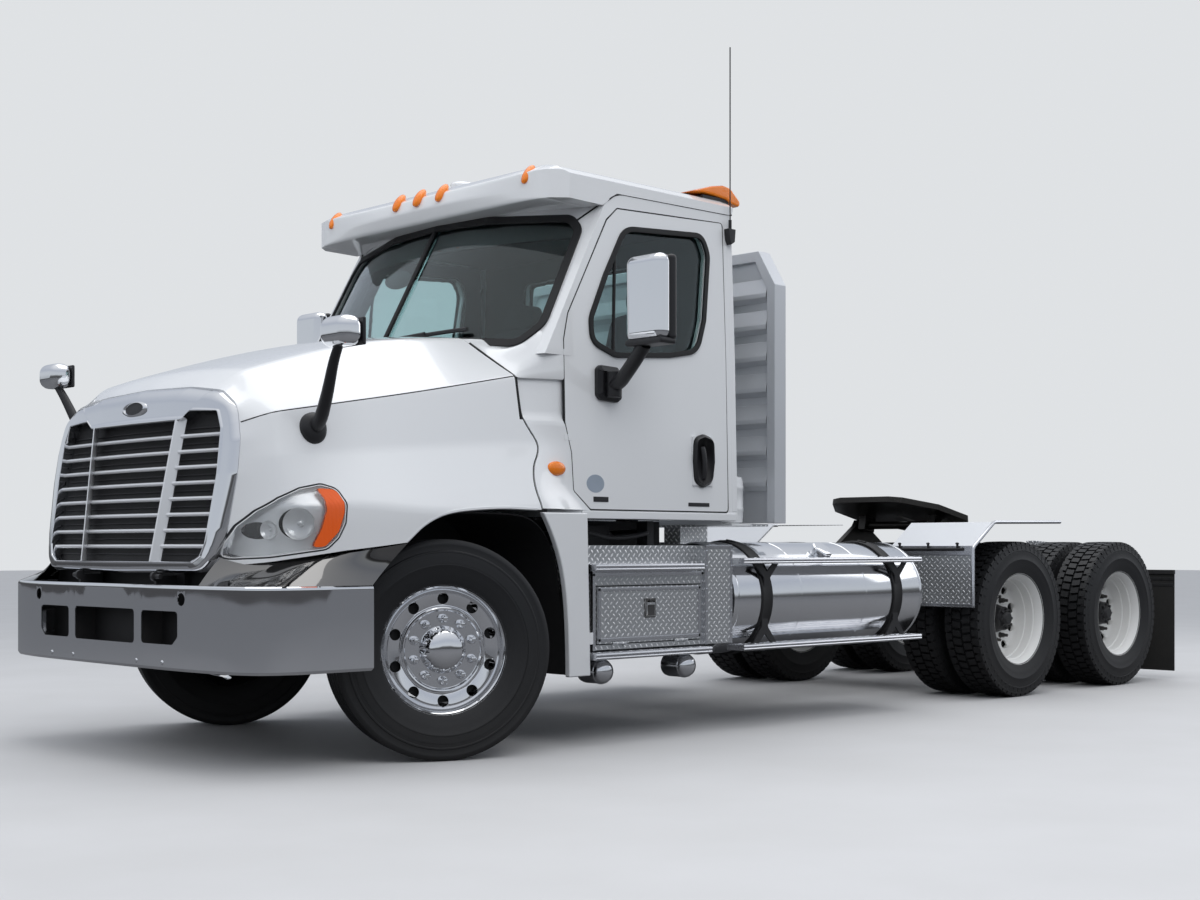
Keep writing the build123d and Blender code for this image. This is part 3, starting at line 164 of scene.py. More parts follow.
class Effects:
    """Node groups that several finishes share, each built once."""

    @staticmethod
    def group(name: str, inputs: Sequence[str], outputs: Sequence[str]) -> tuple[bpy.types.NodeTree, Graph]:
        """Starts a group with a Vector socket and the named float sockets.

        Args:
            name: The group's name.
            inputs: Names of its float inputs.
            outputs: Names of its float outputs.

        Returns:
            The node tree and the graph that writes to it.
        """
        tree = bpy.data.node_groups.new(name, "ShaderNodeTree")
        tree.interface.new_socket("Vector", in_out="INPUT", socket_type="NodeSocketVector")
        for label in inputs:
            tree.interface.new_socket(label, in_out="INPUT", socket_type="NodeSocketFloat")
        for label in outputs:
            tree.interface.new_socket(label, in_out="OUTPUT", socket_type="NodeSocketFloat")
        return tree, Graph(tree)

    @classmethod
    def road_dust(cls) -> bpy.types.NodeTree:
        """Patchy dust that thickens towards the ground: its mask runs from none at High to full at Low."""
        tree = bpy.data.node_groups.get("Road dust")
        if tree:
            return tree
        tree, g = cls.group("Road dust", ("Low", "High"), ("Mask",))
        given = g.add("NodeGroupInput").outputs
        height = g.add("ShaderNodeSeparateXYZ", {0: given["Vector"]}).outputs["Z"]
        rise = g.add("ShaderNodeMapRange", {"Value": height, "From Min": given["High"],
                                            "From Max": given["Low"]},
                     interpolation_type="SMOOTHSTEP").outputs[0]
        broad = g.add("ShaderNodeTexNoise", {"Vector": given["Vector"], "Scale": 3.0,
                                             "Detail": 6.0}).outputs[0]
        fine = g.add("ShaderNodeTexNoise", {"Vector": given["Vector"], "Scale": 38.0,
                                            "Detail": 4.0}).outputs[0]
        patch = g.math("MULTIPLY_ADD", broad, 0.9, g.math("MULTIPLY", fine, 0.5))
        mask = g.math("MULTIPLY", rise, patch, clamp=True)
        g.add("NodeGroupOutput", {"Mask": mask})
        return tree

    @classmethod
    def fine_grain(cls) -> bpy.types.NodeTree:
        """Even fine bumps such as paint's orange peel, moulded grain or a casting's skin."""
        tree = bpy.data.node_groups.get("Fine grain")
        if tree:
            return tree
        tree, g = cls.group("Fine grain", ("Scale", "Detail"), ("Height",))
        given = g.add("NodeGroupInput").outputs
        noise = g.add("ShaderNodeTexNoise", {"Vector": given["Vector"], "Scale": given["Scale"],
                                             "Detail": given["Detail"]}).outputs[0]
        g.add("NodeGroupOutput", {"Height": noise})
        return tree

    @classmethod
    def hairlines(cls) -> bpy.types.NodeTree:
        """Long thin brush lines that run along the truck."""
        tree = bpy.data.node_groups.get("Hairlines")
        if tree:
            return tree
        tree, g = cls.group("Hairlines", ("Scale",), ("Height",))
        given = g.add("NodeGroupInput").outputs
        drawn = g.add("ShaderNodeVectorMath", {0: given["Vector"], 1: (0.03, 1.0, 1.0)}, operation="MULTIPLY")
        noise = g.add("ShaderNodeTexNoise", {"Vector": drawn.outputs[0], "Scale": given["Scale"],
                                             "Detail": 3.0}).outputs[0]
        g.add("NodeGroupOutput", {"Height": noise})
        return tree

    @classmethod
    def plate_pattern(cls) -> bpy.types.NodeTree:
        """Raised bars of tread plate, by turns along two diagonals, on the plane the face lies in."""
        tree = bpy.data.node_groups.get("Plate pattern")
        if tree:
            return tree
        tree, g = cls.group("Plate pattern", ("Pitch",), ("Height",))
        tree.interface.new_socket("Facing", in_out="INPUT", socket_type="NodeSocketVector")
        given = g.add("NodeGroupInput").outputs
        place = g.add("ShaderNodeSeparateXYZ", {0: given["Vector"]}).outputs
        facing = g.add("ShaderNodeVectorMath", {0: given["Facing"]}, operation="ABSOLUTE").outputs[0]
        facing = g.add("ShaderNodeSeparateXYZ", {0: facing}).outputs
        ends = g.math("GREATER_THAN", facing["X"], 0.7)
        tops = g.math("GREATER_THAN", facing["Z"], 0.62)
        across = g.math("MULTIPLY_ADD", ends, g.math("SUBTRACT", place["Y"], place["X"]), place["X"])
        up = g.math("MULTIPLY_ADD", tops, g.math("SUBTRACT", place["Y"], place["Z"]), place["Z"])
        a = g.math("DIVIDE", g.math("ADD", across, up), given["Pitch"])
        b = g.math("DIVIDE", g.math("SUBTRACT", across, up), given["Pitch"])
        turn = g.math("FLOORED_MODULO", g.math("ADD", g.math("FLOOR", a), g.math("FLOOR", b)), 2.0)
        fa = g.math("SUBTRACT", g.math("FRACT", a), 0.5)
        fb = g.math("SUBTRACT", g.math("FRACT", b), 0.5)
        swap = g.math("SUBTRACT", fb, fa)
        long_way = g.math("MULTIPLY_ADD", turn, swap, fa)
        short_way = g.math("SUBTRACT", fb, g.math("MULTIPLY", turn, swap))
        far = g.math("POWER", g.math("DIVIDE", long_way, 0.44), 2.0)
        near = g.math("POWER", g.math("DIVIDE", short_way, 0.17), 2.0)
        bar = g.math("SUBTRACT", 1.0, g.math("ADD", far, near), clamp=True)
        g.add("NodeGroupOutput", {"Height": g.math("POWER", bar, 0.6)})
        return tree

    @classmethod
    def weave(cls) -> bpy.types.NodeTree:
        """Over and under threads of seat cloth."""
        tree = bpy.data.node_groups.get("Weave")
        if tree:
            return tree
        tree, g = cls.group("Weave", ("Pitch",), ("Height",))
        given = g.add("NodeGroupInput").outputs
        place = g.add("ShaderNodeSeparateXYZ", {0: given["Vector"]}).outputs
        turn = g.math("DIVIDE", math.tau, given["Pitch"])
        warp = g.math("SINE", g.math("MULTIPLY", g.math("ADD", place["X"], place["Z"]), turn))
        weft = g.math("SINE", g.math("MULTIPLY", place["Y"], turn))
        g.add("NodeGroupOutput", {"Height": g.math("MULTIPLY_ADD", g.math("MULTIPLY", warp, weft), 0.5, 0.5)})
        return tree

    @classmethod
    def flutes(cls) -> bpy.types.NodeTree:
        """Upright flutes such as a lamp lens has on its inside."""
        tree = bpy.data.node_groups.get("Flutes")
        if tree:
            return tree
        tree, g = cls.group("Flutes", ("Pitch",), ("Height",))
        given = g.add("NodeGroupInput").outputs
        place = g.add("ShaderNodeSeparateXYZ", {0: given["Vector"]}).outputs
        turn = g.math("DIVIDE", math.tau, given["Pitch"])
        wave = g.math("SINE", g.math("MULTIPLY", g.math("ADD", place["X"], place["Y"]), turn))
        g.add("NodeGroupOutput", {"Height": g.math("ABSOLUTE", wave)})
        return tree


@dataclass(frozen=True)
class Finish:
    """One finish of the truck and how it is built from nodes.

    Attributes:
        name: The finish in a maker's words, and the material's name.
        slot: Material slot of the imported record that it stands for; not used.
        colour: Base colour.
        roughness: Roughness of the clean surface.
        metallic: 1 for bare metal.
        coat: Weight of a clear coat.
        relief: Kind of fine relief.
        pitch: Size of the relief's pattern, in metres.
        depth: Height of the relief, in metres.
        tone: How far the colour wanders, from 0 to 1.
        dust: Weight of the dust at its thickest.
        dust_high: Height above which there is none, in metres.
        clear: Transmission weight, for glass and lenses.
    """

    name: str
    slot: str
    colour: tuple[float, float, float]
    roughness: float
    metallic: float = 0.0
    coat: float = 0.0
    relief: Relief = Relief.GRAIN
    pitch: float = 0.004
    depth: float = 0.0003
    tone: float = 0.06
    dust: float = 0.35
    dust_high: float = 1.3
    clear: float = 0.0

    DUST = (0.30, 0.28, 0.25, 1.0)

    def height(self, g: Graph, place: bpy.types.NodeSocket,
               facing: bpy.types.NodeSocket) -> bpy.types.NodeSocket:
        """Adds the relief's group to a graph.

        Args:
            g: The material's graph.
            place: Socket with the object coordinates.
            facing: Socket with the surface's direction.

        Returns:
            The socket with the relief's height.
        """
        makers = {Relief.PEEL: Effects.fine_grain, Relief.GRAIN: Effects.fine_grain,
                  Relief.CAST: Effects.fine_grain, Relief.BRUSHED: Effects.hairlines,
                  Relief.TREAD_PLATE: Effects.plate_pattern, Relief.WEAVE: Effects.weave,
                  Relief.FLUTES: Effects.flutes}
        node = g.add("ShaderNodeGroup", node_tree=makers[self.relief]())
        g.tree.links.new(place, node.inputs["Vector"])
        if "Pitch" in node.inputs:
            node.inputs["Pitch"].default_value = self.pitch
        if "Scale" in node.inputs:
            node.inputs["Scale"].default_value = 1 / self.pitch
        if "Detail" in node.inputs:
            node.inputs["Detail"].default_value = 0.0 if self.relief is Relief.PEEL else 5.0
        if "Facing" in node.inputs:
            g.tree.links.new(facing, node.inputs["Facing"])
        return node.outputs["Height"]

    def material(self) -> bpy.types.Material:
        """Builds the material, or returns it if it was built before."""
        known = bpy.data.materials.get(self.name)
        if known:
            return known
        material = bpy.data.materials.new(self.name)
        material.use_nodes = True
        g = Graph(material.node_tree)
        shader = material.node_tree.nodes["Principled BSDF"]
        coords = g.add("ShaderNodeTexCoord").outputs
        place = coords["Object"]
        height = self.height(g, place, coords["Normal"])
        wander = g.add("ShaderNodeTexNoise", {"Vector": place, "Scale": 2.3, "Detail": 5.0}).outputs[0]
        deep = tuple(c * (1 - self.tone) for c in self.colour) + (1.0,)
        pale = tuple(min(1.0, c * (1 + self.tone * 0.5)) for c in self.colour) + (1.0,)
        colour = g.blend(wander, deep, pale)
        # Painted highlight and shade: the raised bars of the pattern are painted lighter than the hollows
        # between them.
        if self.relief is Relief.TREAD_PLATE:
            colour = g.blend(height, colour, tuple(min(1.0, c * 1.9) for c in self.colour) + (1.0,))
        dust = g.add("ShaderNodeGroup", {"Vector": place}, node_tree=Effects.road_dust())
        dust.inputs["Low"].default_value = 0.1
        dust.inputs["High"].default_value = self.dust_high
        mask = g.math("MULTIPLY", dust.outputs["Mask"], self.dust, clamp=True)
        colour = g.blend(mask, colour, self.DUST)
        rough = g.math("MULTIPLY_ADD", wander, self.roughness * 0.3, self.roughness * 0.85)
        rough = g.math("ADD", rough, g.math("MULTIPLY", mask, 0.7), clamp=True)
        bump = g.add("ShaderNodeBump", {"Height": height, "Strength": 1.0, "Distance": self.depth})
        links = material.node_tree.links
        links.new(colour, shader.inputs["Base Color"])
        links.new(rough, shader.inputs["Roughness"])
        links.new(bump.outputs[0], shader.inputs["Normal"])
        if self.metallic and not self.clear:
            bare = g.math("SUBTRACT", self.metallic, mask, clamp=True)
            links.new(bare, shader.inputs["Metallic"])
        shader.inputs["Coat Weight"].default_value = self.coat
        shader.inputs["Coat Roughness"].default_value = 0.04
        if self.clear:
            shader.inputs["Transmission Weight"].default_value = self.clear
            shader.inputs["IOR"].default_value = 1.45
        return material


class Paint:
    """Every finish of the truck, by the part it goes on."""

    WHITE = Finish("White cab enamel", "white_paint", (0.83, 0.845, 0.86), 0.22, coat=1.0, relief=Relief.PEEL,
                   pitch=0.006, depth=0.00003, tone=0.02, dust=0.08, dust_high=1.0)
    WHEEL = Finish("White wheel enamel", "white_wheel", (0.9, 0.9, 0.88), 0.35, relief=Relief.PEEL,
                   pitch=0.004, depth=0.00006, tone=0.05, dust=0.12)
    CHROME = Finish("Bright chrome", "bright_chrome", (0.86, 0.87, 0.89), 0.05, metallic=1.0,
                    relief=Relief.PEEL, pitch=0.09, depth=0.0002, tone=0.03, dust=0.03, dust_high=0.8)
    BARS = Finish("Satin bright bars", "bright_chrome", (0.90, 0.91, 0.93), 0.22, metallic=0.5,
                  relief=Relief.PEEL, pitch=0.03, depth=0.0001, tone=0.02, dust=0.0)
    SMOKED = Finish("Dark mirror chrome", "bright_chrome", (0.24, 0.235, 0.23), 0.06, metallic=1.0,
                    relief=Relief.PEEL, pitch=0.09, depth=0.0003, tone=0.2, dust=0.03, dust_high=0.8)
    POLISHED = Finish("Polished aluminium", "polished_aluminium", (0.84, 0.85, 0.87), 0.12, metallic=1.0,
                      relief=Relief.BRUSHED, pitch=0.004, depth=0.00004, dust=0.04, dust_high=0.9)
    TREAD = Finish("Diamond tread plate", "tread_plate", (0.56, 0.575, 0.59), 0.30, metallic=0.8,
                   relief=Relief.TREAD_PLATE, pitch=0.040, depth=0.0030, dust=0.04)
    EXTRUDED = Finish("Extruded aluminium tread", "tread_plate", (0.7, 0.71, 0.74), 0.24, metallic=1.0,
                      relief=Relief.BRUSHED, pitch=0.003, depth=0.0001, dust=0.06)
    RACK = Finish("Brushed rack aluminium", "rack_aluminium", (0.70, 0.72, 0.75), 0.38, metallic=0.6,
                  relief=Relief.BRUSHED, pitch=0.005, depth=0.0001, dust=0.25, dust_high=1.6)
    FRAME = Finish("Black chassis enamel", "black_frame", (0.018, 0.018, 0.02), 0.42, relief=Relief.CAST,
                   pitch=0.02, depth=0.0003, tone=0.25, dust=0.12)
    IRON = Finish("Dark cast iron", "dark_iron", (0.04, 0.038, 0.036), 0.62, relief=Relief.CAST, pitch=0.008,
                  depth=0.0009, tone=0.35, dust=0.15)
    GREASE = Finish("Greased coupling steel", "greased_steel", (0.035, 0.033, 0.03), 0.3, metallic=0.7,
                    relief=Relief.CAST, pitch=0.03, depth=0.001, tone=0.5, dust=0.25, dust_high=1.6)
    PLASTIC = Finish("Black moulded plastic", "black_plastic", (0.016, 0.016, 0.018), 0.45, pitch=0.002,
                     depth=0.00015, tone=0.12, dust=0.04)
    RUBBER = Finish("Black window rubber", "black_plastic", (0.012, 0.012, 0.013), 0.6, pitch=0.003,
                    depth=0.0001, tone=0.1, dust=0.03)
    TYRE = Finish("Tyre rubber", "tyre_rubber", (0.0125, 0.013, 0.0145), 0.52, relief=Relief.CAST,
                  pitch=0.006, depth=0.0004, tone=0.2, dust=0.05, dust_high=0.75)
    FLAP = Finish("Mud flap rubber", "flap_rubber", (0.012, 0.012, 0.012), 0.85, pitch=0.01, depth=0.0005,
                  tone=0.2, dust=0.08)
    GLASS = Finish("Clear cab glass", "clear_glass", (0.72, 0.88, 0.87), 0.02, relief=Relief.PEEL, pitch=0.4,
                   depth=0.00005, tone=0.02, dust=0.0, clear=1.0)
    LENS = Finish("Clear lamp lens", "clear_glass", (0.95, 0.96, 0.97), 0.03, relief=Relief.PEEL, pitch=0.05,
                  depth=0.0001, tone=0.01, dust=0.0, clear=0.97)
    AMBER = Finish("Amber lens", "amber_plastic", (1.0, 0.24, 0.008), 0.2, coat=0.6, relief=Relief.FLUTES,
                   pitch=0.02, depth=0.0006, tone=0.1, dust=0.0)
    SIGNAL = Finish("Deep amber strip", "amber_plastic", (1.0, 0.13, 0.005), 0.25, coat=0.4,
                    relief=Relief.FLUTES, pitch=0.02, depth=0.0006, tone=0.1, dust=0.0)
    RED = Finish("Red tail lens", "amber_plastic", (0.55, 0.01, 0.01), 0.15, coat=1.0, relief=Relief.FLUTES,
                 pitch=0.02, depth=0.0006, tone=0.2, dust=0.15, clear=0.2)
    CLOTH = Finish("Grey seat cloth", "grey_fabric", (0.075, 0.08, 0.09), 0.85, relief=Relief.WEAVE,
                   pitch=0.004, depth=0.0008, tone=0.2, dust=0.0)
    TRIM = Finish("Grey cab trim", "grey_trim", (0.05, 0.055, 0.058), 0.6, pitch=0.003, depth=0.0002,
                  tone=0.1, dust=0.0)
    REFLECTOR = Finish("Lamp reflector", "clear_glass", (0.95, 0.96, 0.96), 0.24, metallic=0.3,
                       relief=Relief.PEEL, pitch=0.02, depth=0.0004, tone=0.03, dust=0.0)
    STICKER = Finish("Grey inspection disc", "rack_aluminium", (0.36, 0.42, 0.5), 0.4, relief=Relief.PEEL,
                     pitch=0.02, depth=0.00005, tone=0.35, dust=0.1)
    DEEP = Finish("Dark radiator mesh", "dark_iron", (0.012, 0.012, 0.013), 0.6, relief=Relief.TREAD_PLATE,
                  pitch=0.014, depth=0.002, tone=0.2, dust=0.1)


class Bench:
    """Modelling moves that every sub-assembly uses, in metres, with X counted from the front axle."""

    @staticmethod
    def only(obj: bpy.types.Object) -> bpy.types.Object:
        """Selects this object alone and makes it the active one."""
        bpy.ops.object.select_all(action="DESELECT")
        obj.select_set(True)
        bpy.context.view_layer.objects.active = obj
        return obj

    @staticmethod
    def named(name: str) -> bpy.types.Object:
        """Names the new primitive and puts its place, turn and size into its mesh."""
        obj = bpy.context.object
        obj.name = name
        Bench.only(obj)
        bpy.ops.object.transform_apply(location=True, rotation=True, scale=True)
        return obj

    @staticmethod
    @contextmanager
    def editing(obj: bpy.types.Object, kind: str = "FACE") -> Iterator[None]:
        """Opens an object in edit mode and closes it again.

        Args:
            obj: The mesh object.
            kind: VERT, EDGE or FACE, what is selected in it.
        """
        Bench.only(obj)
        bpy.ops.object.mode_set(mode="EDIT")
        bpy.ops.mesh.select_mode(type=kind)
        try:
            yield
        finally:
            bpy.ops.object.mode_set(mode="OBJECT")

    @staticmethod
    def pick(obj: bpy.types.Object, test: Callable[[Vector, Vector], bool]) -> int:
        """Selects the faces whose centre and normal pass a test, and nothing else.

        Args:
            obj: The mesh object, in object mode.
            test: Says yes or no for a face's centre and normal.

        Returns:
            How many faces are selected.
        """
        mesh = obj.data
        for part in (mesh.vertices, mesh.edges):
            part.foreach_set("select", [False] * len(part))
        chosen = [bool(test(face.center, face.normal)) for face in mesh.polygons]
        mesh.polygons.foreach_set("select", chosen)
        return sum(chosen)

    @staticmethod
    def raise_faces(obj: bpy.types.Object, test: Callable[[Vector, Vector], bool], inset: float,
                    height: float) -> None:
        """Insets the faces that pass a test and moves them along their normal, inward below zero."""
        Bench.pick(obj, test)
        with Bench.editing(obj):
            bpy.ops.mesh.inset(thickness=inset, depth=0)
            bpy.ops.mesh.extrude_region_shrink_fatten(TRANSFORM_OT_shrink_fatten={"value": height})

    @staticmethod
    def modify(obj: bpy.types.Object, kind: str, **settings: object) -> bpy.types.Object:
        """Adds a modifier with its settings and applies it."""
        Bench.only(obj)
        modifier = obj.modifiers.new(kind.title(), kind)
        for key, value in settings.items():
            setattr(modifier, key, value)
        bpy.ops.object.modifier_apply(modifier=modifier.name)
        return obj

    @staticmethod
    def round_edges(obj: bpy.types.Object, width: float, segments: int = 2,
                    angle: float = 30) -> bpy.types.Object:
        """Bevels every edge sharper than an angle in degrees, and shades the faces smooth."""
        Bench.modify(obj, "BEVEL", width=width, segments=segments, limit_method="ANGLE",
                     angle_limit=math.radians(angle), miter_outer="MITER_ARC", harden_normals=False)
        Bench.only(obj)
        bpy.ops.object.shade_smooth_by_angle(angle=math.radians(35))
        return Bench.modify(obj, "WEIGHTED_NORMAL", keep_sharp=True, weight=80)

    @staticmethod
    def cut(obj: bpy.types.Object, tool: bpy.types.Object, operation: str = "DIFFERENCE") -> bpy.types.Object:
        """Cuts an object with another one and deletes the tool."""
        Bench.modify(obj, "BOOLEAN", object=tool, operation=operation, solver="EXACT")
        bpy.data.objects.remove(tool)
        return obj

    @staticmethod
    def block(name: str, low: Point, high: Point, rounding: float = 0.0) -> bpy.types.Object:
        """Adds a block between two corners, its edges rounded if asked."""
        centre = [(a + b) / 2 for a, b in zip(low, high)]
        size = [b - a for a, b in zip(low, high)]
        bpy.ops.mesh.primitive_cube_add(size=1, location=centre, scale=size)
        obj = Bench.named(name)
        return Bench.round_edges(obj, rounding) if rounding else obj

    @staticmethod
    def rod(name: str, start: Point, end: Point, radius: float, sides: int = 24,
            rounding: float = 0.0) -> bpy.types.Object:
        """Adds a round bar between two points, its ends rounded if asked."""
        a, b = Vector(start), Vector(end)
        turn = (b - a).to_track_quat("Z", "Y").to_euler()
        bpy.ops.mesh.primitive_cylinder_add(vertices=sides, radius=radius, depth=(b - a).length,
                                            location=(a + b) / 2, rotation=turn)
        obj = Bench.named(name)
        return Bench.round_edges(obj, rounding) if rounding else Bench.smooth(obj)

    @staticmethod
    def smooth(obj: bpy.types.Object, angle: float = 35) -> bpy.types.Object:
        """Shades an object smooth up to an angle in degrees."""
        Bench.only(obj)
        bpy.ops.object.shade_smooth_by_angle(angle=math.radians(angle))
        return obj

    @staticmethod
    def loop(name: str, points: Sequence[Point], filled: bool) -> bpy.types.Object:
        """Adds a circle of as many corners as there are points, and moves its corners onto them.

        Args:
            name: Name of the new object.
            points: The corners, three numbers each.
            filled: Whether the ring is one face.

        Returns:
            The new object.
        """
        bpy.ops.mesh.primitive_circle_add(vertices=len(points), fill_type="NGON" if filled else "NOTHING")
        obj = Bench.named(name)
        obj.data.vertices.foreach_set("co", [c for p in points for c in p])
        obj.data.update()
        return obj

    @staticmethod
    def prism(name: str, points: Sequence[Point], shift: Point, rounding: float = 0.0) -> bpy.types.Object:
        """Adds a flat outline and extrudes it by a shift.

        Args:
            name: Name of the new object.
            points: The outline's corners, three numbers each.
            shift: How far and which way it is extruded.
            rounding: Bevel of its edges, or 0.

        Returns:
            The new object.
        """
        obj = Bench.loop(name, points, True)
        with Bench.editing(obj):
            bpy.ops.mesh.select_all(action="SELECT")
            bpy.ops.mesh.extrude_region_move(TRANSFORM_OT_translate={"value": shift})
            bpy.ops.mesh.select_all(action="SELECT")
            bpy.ops.mesh.normals_make_consistent(inside=False)
        return Bench.round_edges(obj, rounding) if rounding else obj

    @staticmethod
    def side_prism(name: str, outline: Outline, y: Point, rounding: float = 0.0) -> bpy.types.Object:
        """Extrudes an outline of (x, z) corners from the first to the second y."""
        return Bench.prism(name, [(x, y[0], z) for x, z in outline], (0, y[1] - y[0], 0), rounding)

    @staticmethod
    def front_prism(name: str, outline: Outline, x: Point, rounding: float = 0.0) -> bpy.types.Object:
        """Extrudes an outline of (y, z) corners from the first to the second x."""
        return Bench.prism(name, [(x[0], y, z) for y, z in outline], (x[1] - x[0], 0, 0), rounding)

    @staticmethod
    def loft(name: str, rows: Sequence[Sequence[Point]], closed: tuple[bool, bool] = (False, False),
             outward: Optional[Point] = None) -> bpy.types.Object:
        """Lays a grid over rows of points, and caps it if it closes one way only.

        Args:
            name: Name of the new object.
            rows: Rows of as many points each.
            closed: Whether each row closes on itself, and whether the last row meets the first.
            outward: Rough way out of an open sheet, or None.

        Returns:
            The new object.
        """
        grid = [[*row, row[0]] if closed[0] else list(row) for row in rows]
        if closed[1]:
            grid.append(grid[0])
        bpy.ops.mesh.primitive_grid_add(x_subdivisions=len(grid[0]) - 1, y_subdivisions=len(grid) - 1, size=1)
        obj = Bench.named(name)
        obj.data.vertices.foreach_set("co", [c for row in grid for spot in row for c in spot])
        obj.data.update()
        with Bench.editing(obj, "VERT"):
            bpy.ops.mesh.select_all(action="SELECT")
            if any(closed):
                bpy.ops.mesh.remove_doubles(threshold=0.0001)
            if closed[0] != closed[1]:
                bpy.ops.mesh.fill_holes(sides=0)
                bpy.ops.mesh.select_all(action="SELECT")
            bpy.ops.mesh.normals_make_consistent(inside=False)
        if outward is not None:
            facing = sum((face.normal * face.area for face in obj.data.polygons), Vector())
            if facing.dot(Vector(outward)) < 0:
                obj.data.flip_normals()
        return obj

    @staticmethod
    def lathe(name: str, profile: Outline, steps: int = 72, angle: float = 40) -> bpy.types.Object:
        """Spins a closed outline of (y, radius) corners once round the Y axis through the origin.

        Args:
            name: Name of the new object.
            profile: The outline's corners.
            steps: How many faces it has round.
            angle: Edges sharper than this stay sharp, in degrees.

        Returns:
            The new object.
        """
        obj = Bench.loop(name, [(0.0, y, r) for y, r in profile], False)
        with Bench.editing(obj, "EDGE"):
            bpy.ops.mesh.select_all(action="SELECT")
            bpy.ops.mesh.spin(steps=steps, angle=math.tau, center=(0, 0, 0), axis=(0, 1, 0))
            bpy.ops.mesh.select_all(action="SELECT")
            bpy.ops.mesh.remove_doubles(threshold=0.00005)
            bpy.ops.mesh.dissolve_degenerate(threshold=0.00005)
            bpy.ops.mesh.select_all(action="SELECT")
            bpy.ops.mesh.normals_make_consistent(inside=False)
        return Bench.smooth(obj, angle)

    @staticmethod
    def sweep(name: str, points: Sequence[Point], radius: float, closed: bool = False, sides: int = 4,
              smooth: bool = True, flat: Optional[Point] = None) -> bpy.types.Object:
        """Sweeps a round section along points.

        Args:
            name: Name of the new object.
            points: The path.
            radius: Radius of the section.
            closed: Whether the path closes on itself.
            sides: Blender's bevel resolution of the section.
            smooth: Whether the path is a smooth curve near its points, or straight runs.
            flat: Factors on X, Y and Z about the path's middle, or None.

        Returns:
            The new mesh object.
        """
        curve = bpy.data.curves.new(name, "CURVE")
        curve.dimensions = "3D"
        curve.bevel_depth = radius
        curve.bevel_resolution = sides
        curve.use_fill_caps = not closed
        curve.resolution_u = 6
        spline = curve.splines.new("NURBS" if smooth else "POLY")
        spline.points.add(len(points) - 1)
        for spot, place in zip(spline.points, points):
            spot.co = (*place, 1.0)
        spline.use_cyclic_u = closed
        if smooth:
            spline.order_u = 3
            spline.use_endpoint_u = not closed
        obj = bpy.data.objects.new(name, curve)
        bpy.context.scene.collection.objects.link(obj)
        Bench.only(obj)
        bpy.ops.object.convert(target="MESH")
        obj = bpy.context.object
        if flat:
            middle = sum((v.co for v in obj.data.vertices), Vector()) / len(obj.data.vertices)
            obj.data.transform(Matrix.Translation(middle) @ Matrix.Diagonal((*flat, 1))
                               @ Matrix.Translation(-middle))
        return Bench.smooth(obj, 50)

    @staticmethod
    def ball(name: str, centre: Point, size: Point, rings: int = 20) -> bpy.types.Object:
        """Adds a rounded body with these half sizes."""
        bpy.ops.mesh.primitive_uv_sphere_add(segments=rings * 2, ring_count=rings, radius=1, location=centre,
                                             scale=size)
        return Bench.smooth(Bench.named(name), 60)

    @staticmethod
    def join(name: str, parts: Sequence[bpy.types.Object]) -> bpy.types.Object:
        """Joins objects into one with its own name."""
        Bench.only(parts[0])
        for part in parts[1:]:
            part.select_set(True)
        if len(parts) > 1:
            bpy.ops.object.join()
        parts[0].name = name
        parts[0].data.name = name
        return parts[0]

    @staticmethod
    def copy(obj: bpy.types.Object, name: str, move: Matrix) -> bpy.types.Object:
        """Copies an object with its own mesh, moved by a matrix. A mirrored copy keeps its faces outward."""
        twin = obj.copy()
        twin.data = obj.data.copy()
        twin.name = name
        bpy.context.scene.collection.objects.link(twin)
        twin.data.transform(move)
        if move.determinant() < 0:
            twin.data.flip_normals()
        return twin

    @staticmethod
    def repeat(obj: bpy.types.Object, name: str, moves: Sequence[Matrix]) -> bpy.types.Object:
        """Replaces an object by one joined mesh of its copies, one for each matrix.

        Args:
            obj: The modelled piece, which is deleted.
            name: Name of the joined object.
            moves: Where each copy goes.

        Returns:
            The joined object.
        """
        mesh = obj.data
        spots = np.array([v.co for v in mesh.vertices])
        faces = [list(face.vertices) for face in mesh.polygons]
        points, polygons = [], []
        for number, move in enumerate(moves):
            m = np.array(move)
            points.append(spots @ m[:3, :3].T + m[:3, 3])
            turn = m[:3, :3]
            order = 1 if np.linalg.det(turn) > 0 else -1
            polygons += [[v + number * len(spots) for v in face[::order]] for face in faces]
        joined = bpy.data.meshes.new(name)
        joined.from_pydata(np.concatenate(points).tolist(), [], polygons)
        bpy.data.objects.remove(obj)
        result = bpy.data.objects.new(name, joined)
        bpy.context.scene.collection.objects.link(result)
        return Bench.smooth(result)

    @staticmethod
    def both_sides(obj: bpy.types.Object) -> bpy.types.Object:
        """Joins an object with its mirror image on the other side of the truck."""
        name = obj.name
        twin = Bench.copy(obj, name + "_twin", Matrix.Diagonal((1, -1, 1, 1)))
        return Bench.join(name, [obj, twin])

    @staticmethod
    def place(obj: bpy.types.Object, finish: Finish, body: str, replaces: Sequence[str] = (),
              from_axle: bool = True) -> bpy.types.Object:
        """Gives a finished piece its place in the frame, its finish and its body.

        Args:
            obj: The piece, its place in its mesh.
            finish: The finish all over it.
            body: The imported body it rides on.
            replaces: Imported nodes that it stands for.
            from_axle: Whether its X is counted from the front axle, and not from the frame's origin.

        Returns:
            The same piece.
        """
        if from_axle:
            obj.data.transform(Matrix.Translation((AXLE_X, 0, 0)))
        obj.data.materials.clear()
        obj.data.materials.append(finish.material())
        obj.data.name = obj.name
        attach(obj, body)
        if replaces:
            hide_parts(*replaces)
        log.info("%s: %d faces on %s", obj.name, len(obj.data.polygons), body)
        return obj


